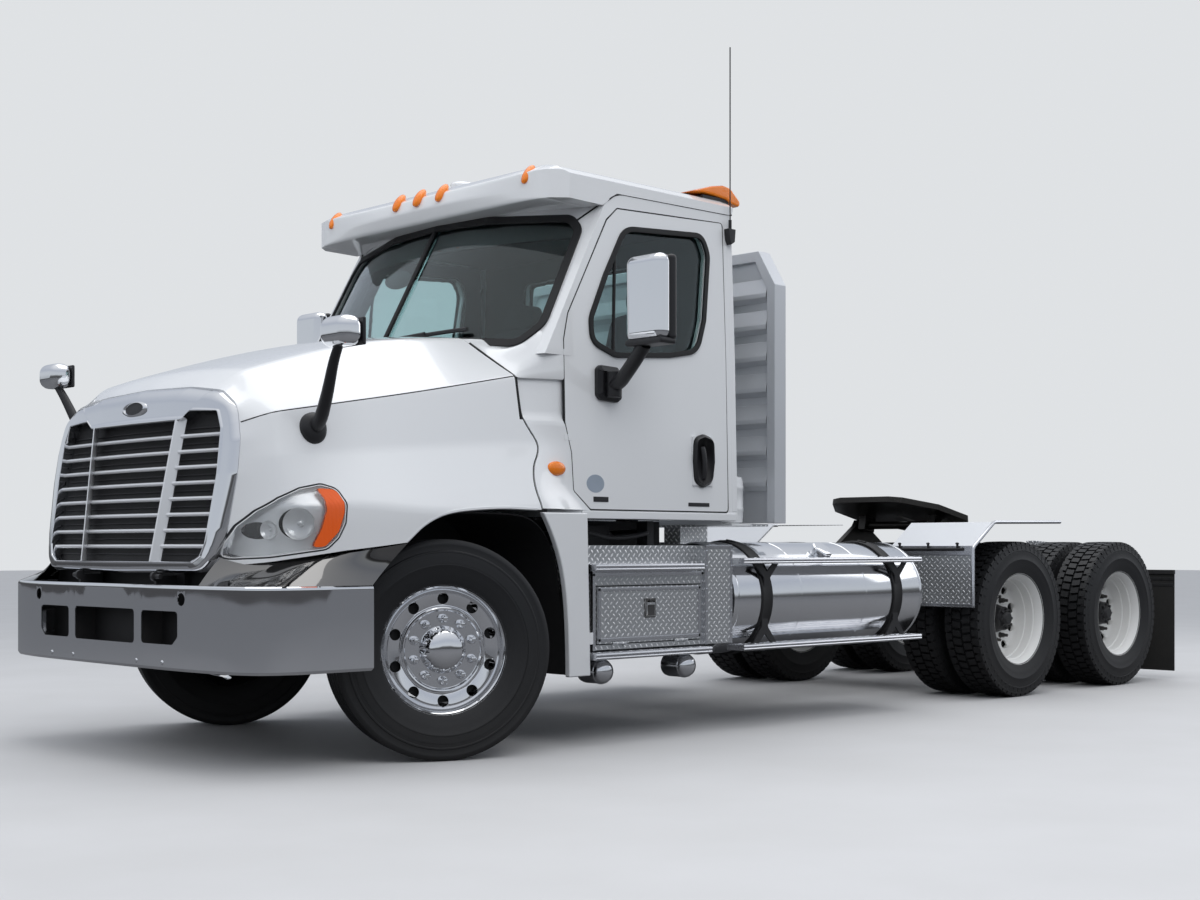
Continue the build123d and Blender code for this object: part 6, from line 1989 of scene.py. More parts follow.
@dataclass
class Tyre:
    """Tyre modelled about the Y axis at the origin, from its bead to its tread."""

    radius: float = 0.510
    width: float = 0.285
    bead: float = 0.286
    seat: float = 0.1130

    def profile(self, grooves: Sequence[float], depth: float) -> list[tuple[float, float]]:
        """Half section from the inner bead over the tread to the outer bead.

        Args:
            grooves: Centres of the grooves that run round, across the tread.
            depth: Their depth.

        Returns:
            Points as (y, radius).
        """
        half, r = self.width / 2, self.radius
        flank = [(self.seat * 0.90, self.bead), (self.seat + 0.004, self.bead + 0.010),
                 (half * 0.90, r - 0.190), (half * 0.905, r - 0.187), (half * 0.93, r - 0.175),
                 (half * 0.985, r - 0.150), (half, r - 0.124), (half + 0.0015, r - 0.121),
                 (half + 0.0015, r - 0.117), (half, r - 0.114), (half * 0.985, r - 0.080),
                 (half * 0.972, r - 0.064), (half * 0.980, r - 0.062), (half * 0.976, r - 0.056),
                 (half * 0.950, r - 0.052), (half * 0.93, r - 0.030), (half * 0.935, r - 0.027),
                 (half * 0.925, r - 0.020), (half * 0.895, r - 0.010), (half * 0.86, r - 0.0022)]
        tread = []
        for y in grooves:
            crown = r - 0.0022 * (y / (half * 0.86)) ** 2
            tread += [(y - 0.0062, crown), (y - 0.0040, crown - depth), (y + 0.0040, crown - depth),
                      (y + 0.0062, crown)]
        return [(-y, z) for y, z in flank] + tread + list(reversed(flank))

    def steer(self) -> bpy.types.Object:
        """Steer tyre: five ribs and rings on its sidewall."""
        grooves = (-0.078, -0.028, 0.028, 0.078)
        obj = Bench.lathe("steer_tyre", self.profile(grooves, 0.013), 120)
        Bench.raise_faces(obj, lambda c, n: abs(math.hypot(c.x, c.z) - (self.radius - 0.100)) < 0.006, 0.002,
                          0.002)
        return Bench.smooth(obj, 28)

    def drive(self) -> bpy.types.Object:
        """Drive tyre: a carcass with four rows of lugs and blocks on its shoulders."""
        half = self.width / 2
        section = [(y, min(z, self.radius - 0.020)) for y, z in self.profile((), 0.0)]
        carcass = Bench.lathe("drive_tyre", section, 96)
        count = 56
        pitch = math.tau / count
        lugs = []
        rows = ((-0.118, -0.072, 0.0), (-0.066, -0.005, 0.5), (0.005, 0.066, 0.0), (0.072, 0.118, 0.5))
        for low, high, phase in rows:
            for k in range(count):
                lugs.append(self.lug(low, high, (k + phase) * pitch, pitch * 0.74,
                                     0.22 if low > 0 else -0.22))
        for side in (1, -1):
            for k in range(count):
                lugs.append(self.shoulder(side, (k + (0.5 if side > 0 else 0.0)) * pitch, pitch * 0.74, half))
        vertices, faces = [], []
        for corner, quads in lugs:
            first = len(vertices)
            vertices += corner
            faces += [[first + i for i in quad] for quad in quads]
        mesh = bpy.data.meshes.new("lugs")
        mesh.from_pydata(vertices, [], faces)
        blocks = bpy.data.objects.new("lugs", mesh)
        bpy.context.collection.objects.link(blocks)
        with Bench.editing(blocks):
            bpy.ops.mesh.select_all(action="SELECT")
            bpy.ops.mesh.normals_make_consistent(inside=False)
        return Bench.smooth(Bench.join("drive_tyre", [carcass, blocks]), 28)

    BOX = ((0, 1, 3, 2), (4, 6, 7, 5), (0, 4, 5, 1), (2, 3, 7, 6), (0, 2, 6, 4), (1, 5, 7, 3))

    def lug(self, low: float, high: float, turn: float, span: float, skew: float) -> tuple[list, Sequence]:
        """One tread block, tapered to its top.

        Args:
            low: Its edge nearest the inner side.
            high: Its other edge.
            turn: Angle of its middle.
            span: Angle that it covers.
            skew: Its slant, as radians along per metre across times the radius.

        Returns:
            Its corners and its faces.
        """
        corners = []
        for radius, inset in ((self.radius - 0.024, 0.0), (self.radius, 0.06)):
            for y in (low, high):
                for end in (-0.5, 0.5):
                    angle = turn + span * end * (1 - inset) + skew * y
                    edge = y + (0.0015 if y == low else -0.0015) * (inset > 0)
                    drop = 0.0022 * (y / (self.width * 0.43)) ** 2 if inset else 0.0
                    corners.append((((radius - drop) * math.cos(angle)), edge,
                                    (radius - drop) * math.sin(angle)))
        return corners, self.BOX

    def shoulder(self, side: int, turn: float, span: float, half: float) -> tuple[list, Sequence]:
        """One block that comes down from the tread's edge on to the sidewall."""
        corners = []
        for radius, y0, y1 in ((self.radius - 0.062, half * 0.90, half * 0.985),
                               (self.radius - 0.004, half * 0.70, half * 0.895)):
            for y in (y0, y1):
                for end in (-0.5, 0.5):
                    angle = turn + span * end
                    corners.append((radius * math.cos(angle), side * y, radius * math.sin(angle)))
        return corners, self.BOX


@dataclass
class Rim:
    """Disc wheel modelled about the Y axis at the origin; +Y is the face with the hand holes."""

    flange: float = 0.302
    width: float = 0.226
    disc_y: float = 0.020
    hole_ring: float = 0.222
    hole: float = 0.027
    holes: int = 10
    nut_ring: float = 0.143
    phase: float = math.radians(18)

    def shell(self, face: Outline, name: str) -> bpy.types.Object:
        """Turned barrel with its flanges, and the disc whose face is given from the barrel to the hub.

        Args:
            face: Points of the disc's outer face as (y, radius), from the rim inwards.
            name: Name of the new object.

        Returns:
            The wheel with its hand holes cut.
        """
        half = self.width / 2
        lip = [(half - 0.004, self.flange - 0.014), (half + 0.006, self.flange - 0.002),
               (half + 0.001, self.flange), (half - 0.008, self.flange - 0.006), (half - 0.012, 0.286)]
        outside = [(half - 0.030, 0.284), (half - 0.062, 0.262), (-half + 0.062, 0.262),
                   (-half + 0.030, 0.284)]
        inner_lip = [(-half + 0.012, 0.286), (-half + 0.008, self.flange - 0.006),
                     (-half - 0.001, self.flange), (-half - 0.006, self.flange - 0.002),
                     (-half + 0.004, self.flange - 0.014)]
        back = [(y - 0.012, max(0.0, r - 0.002)) for y, r in face if r < 0.249]
        inside = [(-half + 0.034, 0.272), (-half + 0.066, 0.252), (back[0][0] - 0.016, 0.252)]
        obj = Bench.lathe(name, back[::-1] + inside[::-1] + inner_lip[::-1] + outside[::-1] + lip[::-1]
                          + list(face), 120)
        drills = [Bench.rod("drill", (self.hole_ring * math.cos(a), -0.2, self.hole_ring * math.sin(a)),
                            (self.hole_ring * math.cos(a), 0.2, self.hole_ring * math.sin(a)), self.hole, 28)
                  for a in (self.phase + math.tau * k / self.holes for k in range(self.holes))]
        Bench.cut(obj, Bench.join("drills", drills))
        Bench.round_edges(obj, 0.002, 2, 38)
        return Bench.smooth(obj, 35)

    def around(self, piece: bpy.types.Object, radius: float, count: int = 10,
               phase: float = 0.0) -> bpy.types.Object:
        """Copies of a piece on a ring round the Y axis."""
        moves = [Matrix.Rotation(math.tau * k / count + phase, 4, "Y") @ Matrix.Translation((radius, 0, 0))
                 for k in range(count)]
        return Bench.repeat(piece, piece.name, moves)

    def steer(self) -> dict[str, bpy.types.Object]:
        """Polished steer wheel: dished disc, tall nut covers and the lobed hub cap."""
        y = self.disc_y
        face = [(y + 0.084, 0.285), (y + 0.068, 0.280), (y + 0.064, 0.275), (y + 0.072, 0.270),
                (y + 0.078, 0.262), (y + 0.078, 0.248), (y + 0.070, 0.208), (y + 0.064, 0.202),
                (y + 0.064, 0.198), (y + 0.074, 0.195), (y + 0.077, 0.191), (y + 0.076, 0.185),
                (y + 0.068, 0.180), (y + 0.066, 0.176), (y + 0.066, 0.0)]
        wheel = self.shell(face, "steer_rim")
        cover = Bench.lathe("nut_covers", [(y + 0.060, 0.0), (y + 0.060, 0.0215), (y + 0.074, 0.0215),
                                           (y + 0.082, 0.0175), (y + 0.110, 0.0155), (y + 0.118, 0.0100),
                                           (y + 0.120, 0.0)], 24)
        covers = self.around(Bench.smooth(cover, 50), self.nut_ring, phase=self.phase)
        cap = Bench.lathe("hub_cap", [(y + 0.060, 0.0), (y + 0.060, 0.110), (y + 0.074, 0.110),
                                      (y + 0.082, 0.106), (y + 0.098, 0.100), (y + 0.114, 0.089),
                                      (y + 0.126, 0.073), (y + 0.134, 0.052), (y + 0.138, 0.028),
                                      (y + 0.139, 0.0)], 80)
        for vertex in cap.data.vertices:
            if math.hypot(vertex.co.x, vertex.co.z) > 0.095 and vertex.co.y > y + 0.078:
                turn = math.atan2(vertex.co.z, vertex.co.x)
                notch = 1 - 0.10 * max(0.0, math.cos(turn * 10)) ** 3
                vertex.co.x *= notch
                vertex.co.z *= notch
        Bench.smooth(cap, 40)
        drum = Bench.lathe("brake_drum", [(y - 0.130, 0.0), (y - 0.130, 0.222), (y + 0.020, 0.246),
                                          (y + 0.030, 0.246), (y + 0.030, 0.0)], 48)
        return {"steer_rim": wheel, "nut_covers": Bench.join("nut_covers", [covers, cap]), "brake_drum": drum}

    def drive(self) -> dict[str, bpy.types.Object]:
        """White drive wheel: deep dish with studs."""
        y = -0.085
        face = [(0.083, 0.272), (0.062, 0.269), (0.058, 0.262), (0.004, 0.260), (0.000, 0.254),
                (y + 0.030, 0.251), (y + 0.014, 0.246), (y + 0.004, 0.236), (y - 0.002, 0.200),
                (y - 0.004, 0.180), (y - 0.002, 0.168), (y + 0.002, 0.160), (y + 0.002, 0.0)]
        wheel = self.shell(face, "drive_rim")
        stud = Bench.lathe("studs", [(y, 0.0), (y, 0.021), (y + 0.006, 0.021), (y + 0.008, 0.0165),
                                     (y + 0.034, 0.016), (y + 0.036, 0.011), (y + 0.060, 0.0105),
                                     (y + 0.062, 0.0)], 6)
        Bench.round_edges(stud, 0.0015, 2, 25)
        studs = self.around(stud, self.nut_ring, phase=self.phase)
        return {"drive_rim": wheel, "drive_studs": studs}

    def hub(self) -> bpy.types.Object:
        """Dark hub of a drive axle with its ring of bolts."""
        y = -0.085
        hub = Bench.lathe("drive_hub", [(y, 0.0), (y, 0.100), (y + 0.030, 0.092), (y + 0.070, 0.078),
                                        (y + 0.088, 0.078), (y + 0.090, 0.075), (y + 0.096, 0.073),
                                        (y + 0.098, 0.050), (y + 0.118, 0.042), (y + 0.124, 0.034),
                                        (y + 0.125, 0.0)], 60)
        bolt = Bench.rod("bolt", (0, y + 0.094, 0), (0, y + 0.110, 0), 0.009, 6, 0.001)
        bolts = self.around(bolt, 0.062, 8)
        obj = Bench.join("drive_hub", [hub, bolts])
        return Bench.smooth(obj, 35)


@dataclass
class Wheels:
    """All ten wheels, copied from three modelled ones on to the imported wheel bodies."""

    dual_y: float = 0.905
    dual_gap: float = 0.340
    steer_rest: float = -23.5

    def centre(self, joint: str) -> Vector:
        """Centre of a wheel from the joint it spins on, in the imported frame."""
        return Vector(JOINTS[joint]["pos_m"])

    @staticmethod
    def facing(side: Side) -> Matrix:
        """Turn that sets a wheel modelled for the left on a side."""
        return Matrix.Rotation(0.0 if side is Side.LEFT else math.pi, 4, "Z")

    def spread(self, sources: dict[str, bpy.types.Object], finishes: dict[str, Finish], move: Matrix,
               word: str, body: str, nodes: dict[str, str]) -> None:
        """Copies modelled pieces to one wheel.

        Args:
            sources: Piece name to the modelled piece.
            finishes: Piece name to its finish.
            move: Where the wheel stands.
            word: Ending of the new names.
            body: Body that the wheel rides on.
            nodes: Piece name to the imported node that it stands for.
        """
        for label, source in sources.items():
            piece = Bench.copy(source, f"{label}_{word}", move)
            replaced = (nodes[label],) if label in nodes else ()
            Bench.place(piece, finishes[label], body, replaced, from_axle=False)

    def build(self) -> None:
        """Builds the steer pair and both tandem axles."""
        finishes = {"steer_tyre": Paint.TYRE, "steer_rim": Paint.CHROME, "nut_covers": Paint.CHROME,
                    "brake_drum": Paint.RUBBER}
        sources = {"steer_tyre": Tyre().steer(), **Rim(hole_ring=0.236, hole=0.0265).steer()}
        for side in Side:
            turn = Matrix.Rotation(math.radians(self.steer_rest), 4, "Z") @ self.facing(side)
            centre = Matrix.Translation(self.centre(f"{side.word}_front_spin"))
            nodes = {"steer_tyre": f"steer_tyre_{side.word}", "steer_rim": f"steer_rim_{side.word}"}
            self.spread(sources, finishes, centre @ turn, side.word, f"{side.word}_front_wheel", nodes)
        for obj in sources.values():
            bpy.data.objects.remove(obj)
        self.drive_wheels()

    def drive_wheels(self) -> None:
        """Doubled wheels of both drive axles."""
        outward = {"drive_tyre": Tyre(width=0.275).drive(), **Rim().drive()}
        hub = Rim().hub()
        finishes = {"drive_tyre": Paint.TYRE, "drive_rim": Paint.WHEEL, "drive_studs": Paint.IRON}
        for axle in (1, 2):
            for side in Side:
                word, body = f"{axle}_{side.word}", f"drive_wheel_{axle}_{side.word}"
                centre = self.centre(f"drive_{axle}_{side.word}_spin")
                centre.y = side.value * self.dual_y
                shift = Vector((0, side.value * self.dual_gap / 2, 0))
                outer = Matrix.Translation(centre + shift) @ self.facing(side)
                inner = Matrix.Translation(centre - shift) @ self.facing(side) @ self.facing(Side.RIGHT)
                nodes = {"drive_tyre": f"drive_tyres_{word}", "drive_rim": f"drive_rims_{word}"}
                self.spread(outward, finishes, outer, f"{word}_outer", body, nodes)
                self.spread({k: v for k, v in outward.items() if k != "drive_studs"}, finishes, inner,
                            f"{word}_inner", body, {})
                Bench.place(Bench.copy(hub, f"drive_hub_{word}", outer), Paint.PLASTIC, body, from_axle=False)
        for obj in (*outward.values(), hub):
            bpy.data.objects.remove(obj)


@dataclass
class Chassis:
    """Frame, axles, springs, engine block and the coupling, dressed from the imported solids."""

    rail_y: float = 0.430

    CARRIED = (("frame_rails", Paint.FRAME, 0.004), ("crossmembers", Paint.FRAME, 0.003),
               ("front_axle", Paint.FRAME, 0.005), ("drive_axles", Paint.IRON, 0.008),
               ("engine", Paint.IRON, 0.012), ("fifth_wheel_base", Paint.GREASE, 0.004),
               ("fifth_wheel_plate", Paint.GREASE, 0.006), ("tie_rod", Paint.FRAME, 0.002),
               ("knuckle_left", Paint.IRON, 0.004), ("knuckle_right", Paint.IRON, 0.004))

    def build(self) -> None:
        """Dresses the carried nodes and adds bolts, bellows and spring clips."""
        for node, finish, rounding in self.CARRIED:
            Soft.carry(node, finish, rounding)
        Soft.carry("rear_suspension", Paint.IRON, 0.005)
        Bench.place(self.bolts(), Paint.IRON, "chassis")
        Bench.place(self.bellows(), Paint.FLAP, "chassis")
        Bench.place(self.fins(), Paint.IRON, "chassis")

    def bolts(self) -> bpy.types.Object:
        """Rows of bolt heads along both rails' webs."""
        head = Bench.rod("frame_bolts", (0, 0, 0), (0, 0.009, 0), 0.014, 6, 0.002)
        moves = []
        for x in (-6.62, -6.34, -5.50, -5.32, -4.86, -4.30, -3.95, -3.65, -2.82, -2.58, -1.72, -1.48, 0.46,
                  0.64):
            for z in (0.795, 0.865, 0.935):
                moves.append(Matrix.Translation((x, self.rail_y - 0.001, z)))
        return Bench.both_sides(Bench.repeat(head, "frame_bolts", moves))

    def bellows(self) -> bpy.types.Object:
        """Folded rubber round each air spring."""
        wave = [(0.0, 0.0)]
        for k in range(25):
            wave.append((0.02 + 0.24 * k / 24, 0.1215 + 0.0055 * math.sin(math.tau * k / 8)))
        wave.append((0.28, 0.0))
        bag = Bench.lathe("air_springs", wave, 40)
        moves = [Matrix.Translation((x - 0.280, 0.375, 0.440)) @ UPRIGHT for x in (-4.750, -6.070)]
        return Bench.both_sides(Bench.repeat(Bench.smooth(bag, 50), "air_springs", moves))

    def fins(self) -> bpy.types.Object:
        """Clips, eyes and U-bolts of the front springs."""
        parts = []
        for x in (-0.78, 0.56):
            parts.append(Bench.rod("eye", (x, 0.340, 0.672), (x, 0.436, 0.672), 0.034, 24, 0.004))
        for x in (-0.48, 0.30):
            parts.append(Bench.block("clip", (x - 0.02, 0.341, 0.628), (x + 0.02, 0.434, 0.684), 0.004))
        for x in (-0.125, -0.035):
            for y in (0.352, 0.423):
                parts.append(Bench.rod("u_bolt", (x, y, 0.455), (x, y, 0.660), 0.010, 12, 0.002))
        return Bench.both_sides(Bench.join("spring_clips", parts))


@dataclass
class SideGear:
    """Skirts, tool box, steps, fuel tanks and air tanks on both sides."""

    tank_front: float = -1.900
    tank_rear: float = -3.660
    tank_y: float = 0.890
    tank_z: float = 0.700
    tank_r: float = 0.310
    box_y: float = 1.170
    side_y: float = 1.215
    step_z: float = 0.425
    rail_side: float = 0.430
    air_r: float = 0.062

    # x, z down the front edge of the panel behind the front wheel
    SKIRT = ((-0.505, 1.148), (-0.532, 1.106), (-0.564, 1.050), (-0.598, 0.978), (-0.626, 0.900),
             (-0.647, 0.810), (-0.661, 0.710), (-0.669, 0.600), (-0.674, 0.480), (-0.676, 0.350))

    def build(self) -> None:
        """Builds every piece between the front wheels and the duals."""
        Bench.place(self.skirts(), Paint.WHITE, "chassis", ("skirts",))
        Soft.carry("side_boxes", Paint.TREAD, 0.005, segments=3)
        Bench.place(self.air_tanks(), Paint.POLISHED, "chassis", ("reservoirs",))
        self.toolbox_panel()
        Bench.place(self.tanks(), Paint.POLISHED, "chassis", ("fuel_tanks",))
        Bench.place(self.straps(), Paint.RUBBER, "chassis", ("tank_mounts",))
        Bench.place(self.caps(), Paint.CHROME, "chassis")
        Bench.place(self.steps(), Paint.EXTRUDED, "chassis", ("side_steps",))
        Bench.place(self.brackets(), Paint.PLASTIC, "chassis")
        Bench.place(self.trims(), Paint.EXTRUDED, "chassis")

    def skirts(self) -> bpy.types.Object:
        """Fixed panel behind each front wheel, with a curved front edge and its stay."""
        panel = Bench.side_prism("skirts", [*softened(self.SKIRT, 1), (-0.820, 0.350), (-0.800, 1.148)],
                                 (1.175, 1.209))
        Bench.round_edges(panel, 0.007, 3, 40)
        stay = Bench.block("stay", (-0.870, 1.100, 0.500), (-0.790, 1.176, 0.560), 0.004)
        return Bench.both_sides(Bench.join("skirts", [panel, stay]))

    def air_tanks(self) -> bpy.types.Object:
        """Two domed air reservoirs below the left steps."""
        r = self.air_r
        tank = Bench.lathe("air_tanks", [(1.008, 0.0), (1.012, r * 0.6), (1.030, r * 0.93), (1.048, r),
                                         (1.140, r), (1.142, r + 0.002), (1.152, r + 0.002), (1.154, r),
                                         (1.166, r * 0.97), (1.184, r * 0.80), (1.196, r * 0.45),
                                         (1.200, 0.0)], 40)
        moves = [Matrix.Translation((x, 0, self.step_z - r - 0.001)) for x in (-0.950, -1.560)]
        return Bench.repeat(Bench.smooth(tank, 40), "air_tanks", moves)

    def toolbox_panel(self) -> None:
        """Hinged tread-plate panel with its raised frame, paddle latch and ring."""
        Soft.carry("toolbox_door", Paint.TREAD, 0.003)
        y = self.box_y + 0.006
        rim = [Bench.block("rim", (-1.650, y - 0.001, 0.512), (-0.900, y + 0.005, 0.528), 0.002),
               Bench.block("rim", (-1.650, y - 0.001, 0.762), (-0.900, y + 0.005, 0.778), 0.002),
               Bench.block("rim", (-1.650, y - 0.001, 0.512), (-1.634, y + 0.005, 0.778), 0.002),
               Bench.block("rim", (-0.916, y - 0.001, 0.512), (-0.900, y + 0.005, 0.778), 0.002)]
        Bench.place(Bench.join("toolbox_rim", rim), Paint.EXTRUDED, "toolbox_lid")
        plate = Bench.block("toolbox_latch", (-1.310, y, 0.622), (-1.230, y + 0.006, 0.722), 0.003)
        Bench.raise_faces(plate, lambda c, n: n.y > 0.9, 0.014, -0.004)
        paddle = Bench.block("paddle", (-1.296, y + 0.002, 0.632), (-1.244, y + 0.012, 0.690), 0.004)
        lock = Bench.rod("lock", (-1.270, y, 0.708), (-1.270, y + 0.011, 0.708), 0.010, 24, 0.002)
        Bench.place(Bench.join("toolbox_latch", [plate, paddle, lock]), Paint.SMOKED, "toolbox_lid")

    def along(self, obj: bpy.types.Object) -> bpy.types.Object:
        """Turns a piece made about the Y axis on to the left tank's axis."""
        obj.data.transform(Matrix.Translation((0, self.tank_y, self.tank_z)) @ AHEAD)
        return obj

    def tanks(self) -> bpy.types.Object:
        """Polished shells with rolled seams and dished ends."""
        r, x0, x1 = self.tank_r, self.tank_rear, self.tank_front
        profile = [(x0 + 0.001, 0.0), (x0 + 0.004, 0.11), (x0 + 0.010, 0.20), (x0 + 0.022, 0.265),
                   (x0 + 0.030, 0.280), (x0 + 0.012, 0.294), (x0 + 0.012, 0.300), (x0 + 0.018, 0.306),
                   (x0 + 0.030, r), (x0 + 0.040, r), (x0 + 0.046, r - 0.003), (x0 + 0.052, r - 0.001)]
        middle = (x0 + x1) / 2
        front = [(2 * middle - x, radius) for x, radius in reversed(profile)]
        welds = [(-3.080, r - 0.001), (-3.076, r + 0.0015), (-3.072, r - 0.001),
                 (-2.480, r - 0.001), (-2.476, r + 0.0015), (-2.472, r - 0.001)]
        shell = self.along(Bench.lathe("fuel_tanks", profile + welds + front, 128))
        return Bench.both_sides(Bench.smooth(shell, 28))

    def straps(self) -> bpy.types.Object:
        """Black straps with rubber edges, their tee bolts and the brackets to the rails."""
        parts = []
        for x in (-2.170, -3.380):
            r = self.tank_r
            ring = [(x - 0.044, r + 0.0005), (x - 0.044, r + 0.006), (x - 0.036, r + 0.009),
                    (x - 0.028, r + 0.006), (x + 0.028, r + 0.006), (x + 0.036, r + 0.009),
                    (x + 0.044, r + 0.006), (x + 0.044, r + 0.0005)]
            strap = self.along(Bench.lathe("strap", [*ring, ring[0]], 96))
            parts.append(Bench.smooth(strap, 30))
            parts.append(Bench.block("bracket", (x - 0.040, self.rail_side, 0.700),
                                     (x + 0.040, 0.650, 0.960), 0.006))
            arm = [(0.560, 0.900), (0.640, 0.960), (0.880, 1.022), (0.880, 1.010), (0.700, 0.940)]
            parts.append(Bench.front_prism("horn", arm, (x - 0.030, x + 0.030), 0.003))
            bolt = Bench.rod("bolt", (x, 0.905, 1.018), (x, 0.965, 1.008), 0.009, 12, 0.002)
            parts.append(bolt)
        return Bench.both_sides(Bench.join("tank_straps", parts))

    def caps(self) -> bpy.types.Object:
        """Filler neck with a lobed cap on each tank."""
        cap = Bench.lathe("filler_caps", [(0.280, 0.0), (0.280, 0.052), (0.325, 0.052), (0.327, 0.062),
                                          (0.345, 0.062), (0.352, 0.056), (0.354, 0.0)], 36)
        for vertex in cap.data.vertices:
            if vertex.co.y > 0.326:
                turn = math.atan2(vertex.co.z, vertex.co.x)
                lobe = 1 + 0.05 * math.cos(turn * 6)
                vertex.co.x *= lobe
                vertex.co.z *= lobe
        Bench.smooth(cap, 40)
        tilt = Matrix.Rotation(math.radians(52), 4, "X")
        cap.data.transform(Matrix.Translation((-2.780, self.tank_y, self.tank_z)) @ tilt)
        return Bench.both_sides(cap)

    @staticmethod
    def tread(name: str, x0: float, x1: float, y0: float, y1: float, z0: float,
              z1: float) -> bpy.types.Object:
        """One extruded step: fluted front edge, open raised holes over its top and closed ends.

        Args:
            name: Name of the new object.
            x0: Rear end.
            x1: Front end.
            y0: Inner edge.
            y1: Outer edge.
            z0: Underside.
            z1: Top.

        Returns:
            The step.
        """
        w, h = y1 - y0, z1 - z0
        section = [(y0, z0), (y1 - 0.012, z0), (y1 - 0.003, z0 + 0.003), (y1, z0 + 0.009),
                   (y1 - 0.003, z0 + h * 0.40), (y1 - 0.0065, z0 + h * 0.46), (y1 - 0.003, z0 + h * 0.52),
                   (y1, z1 - 0.010), (y1 - 0.004, z1 - 0.002), (y1 - 0.012, z1)]
        teeth = max(3, int(w / 0.022))
        for k in range(teeth):
            y = y1 - 0.014 - (w - 0.018) * k / teeth
            section += [(y, z1), (y - 0.004, z1 - 0.003), (y - 0.008, z1 - 0.003), (y - 0.012, z1)]
        section.append((y0, z1))
        bar = Bench.front_prism(name, section, (x0, x1))
        cleat = Bench.lathe("cleat", [(0.0, 0.0), (0.0, 0.013), (0.0022, 0.0105), (0.0022, 0.007),
                                      (-0.001, 0.006), (-0.001, 0.0)], 12)
        cleat.data.transform(UPRIGHT)
        moves = []
        count = int((x1 - x0) / 0.075)
        rows = max(1, int((w - 0.02) / 0.05))
        for i in range(count):
            for j in range(rows):
                x = x0 + (i + 0.5 + 0.25 * (j % 2)) * (x1 - x0) / (count + 0.5)
                y = y0 + (j + 0.5) * (w - 0.012) / rows
                moves.append(Matrix.Translation((x, y, z1 - 0.0005)))
        return Bench.join(name, [bar, Bench.repeat(cleat, "cleats", moves)])

    def steps(self) -> bpy.types.Object:
        """The four treads of each side."""
        edge = self.side_y
        parts = [self.tread("side_treads", -1.620, -0.830, 1.100, edge + 0.024, 0.862, 0.898),
                 self.tread("lower", -1.680, -0.830, 1.000, edge + 0.024, self.step_z, self.step_z + 0.035),
                 self.tread("tank_upper", -3.570, -1.930, 1.150, edge + 0.029, 0.890, 0.923),
                 self.tread("tank_lower", -3.570, -1.930, 1.120, edge + 0.029, self.step_z,
                            self.step_z + 0.033),
                 Bench.block("shelf", (-1.620, 1.100, 0.850), (-0.870, 1.170, 0.862), 0.002)]
        for x in (-1.480, -1.080):
            parts.append(Bench.block("link", (x - 0.020, 1.020, self.step_z + 0.034),
                                     (x + 0.020, 1.060, 0.472), 0.002))
        return Bench.both_sides(Bench.join("side_treads", parts))

    def brackets(self) -> bpy.types.Object:
        """Forked plates that hold the long treads to the tank straps."""
        parts = []
        for x in (-2.170, -3.380):
            for low, fork, high, y in ((0.760, 0.812, 0.890, 1.190), (0.600, 0.545, 0.458, 1.176)):
                tip = fork + (high - fork) * 0.45
                outline = [(-0.026, low), (0.026, low), (0.026, fork), (0.098, high), (0.050, high),
                           (0.0, tip), (-0.050, high), (-0.098, high), (-0.026, fork)]
                fork_plate = [(x + dx, z) for dx, z in outline]
                parts.append(Bench.side_prism("stay", fork_plate, (y, y + 0.010), 0.002))
        return Bench.both_sides(Bench.join("tread_stays", parts))

    def trims(self) -> bpy.types.Object:
        """Bright angle trims and rivets round both tool boxes and their covers."""
        parts = []
        y = self.box_y
        for low, high in (((-1.684, y - 0.012, 0.468), (-1.664, y + 0.003, 0.852)),
                          ((-0.886, y - 0.012, 0.468), (-0.868, y + 0.003, 0.852)),
                          ((-1.684, y - 0.012, 0.836), (-0.868, y + 0.003, 0.853)),
                          ((-1.897, 1.176, 0.468), (-1.878, 1.188, 0.992)),
                          ((-1.700, 1.176, 0.468), (-1.682, 1.188, 0.992)),
                          ((-1.897, 1.172, 0.974), (-1.682, 1.188, 0.993))):
            parts.append(Bench.block("trim", low, high, 0.002))
        rivet = Bench.rod("rivet", (0, 0, 0), (0, 0.003, 0), 0.006, 12, 0.0015)
        moves = [Matrix.Translation((x, 1.1875, z))
                 for x in (-1.888, -1.691) for z in (0.52, 0.64, 0.76, 0.88, 0.96)]
        parts.append(Bench.repeat(rivet, "rivets", moves))
        return Bench.both_sides(Bench.join("box_trims", parts))


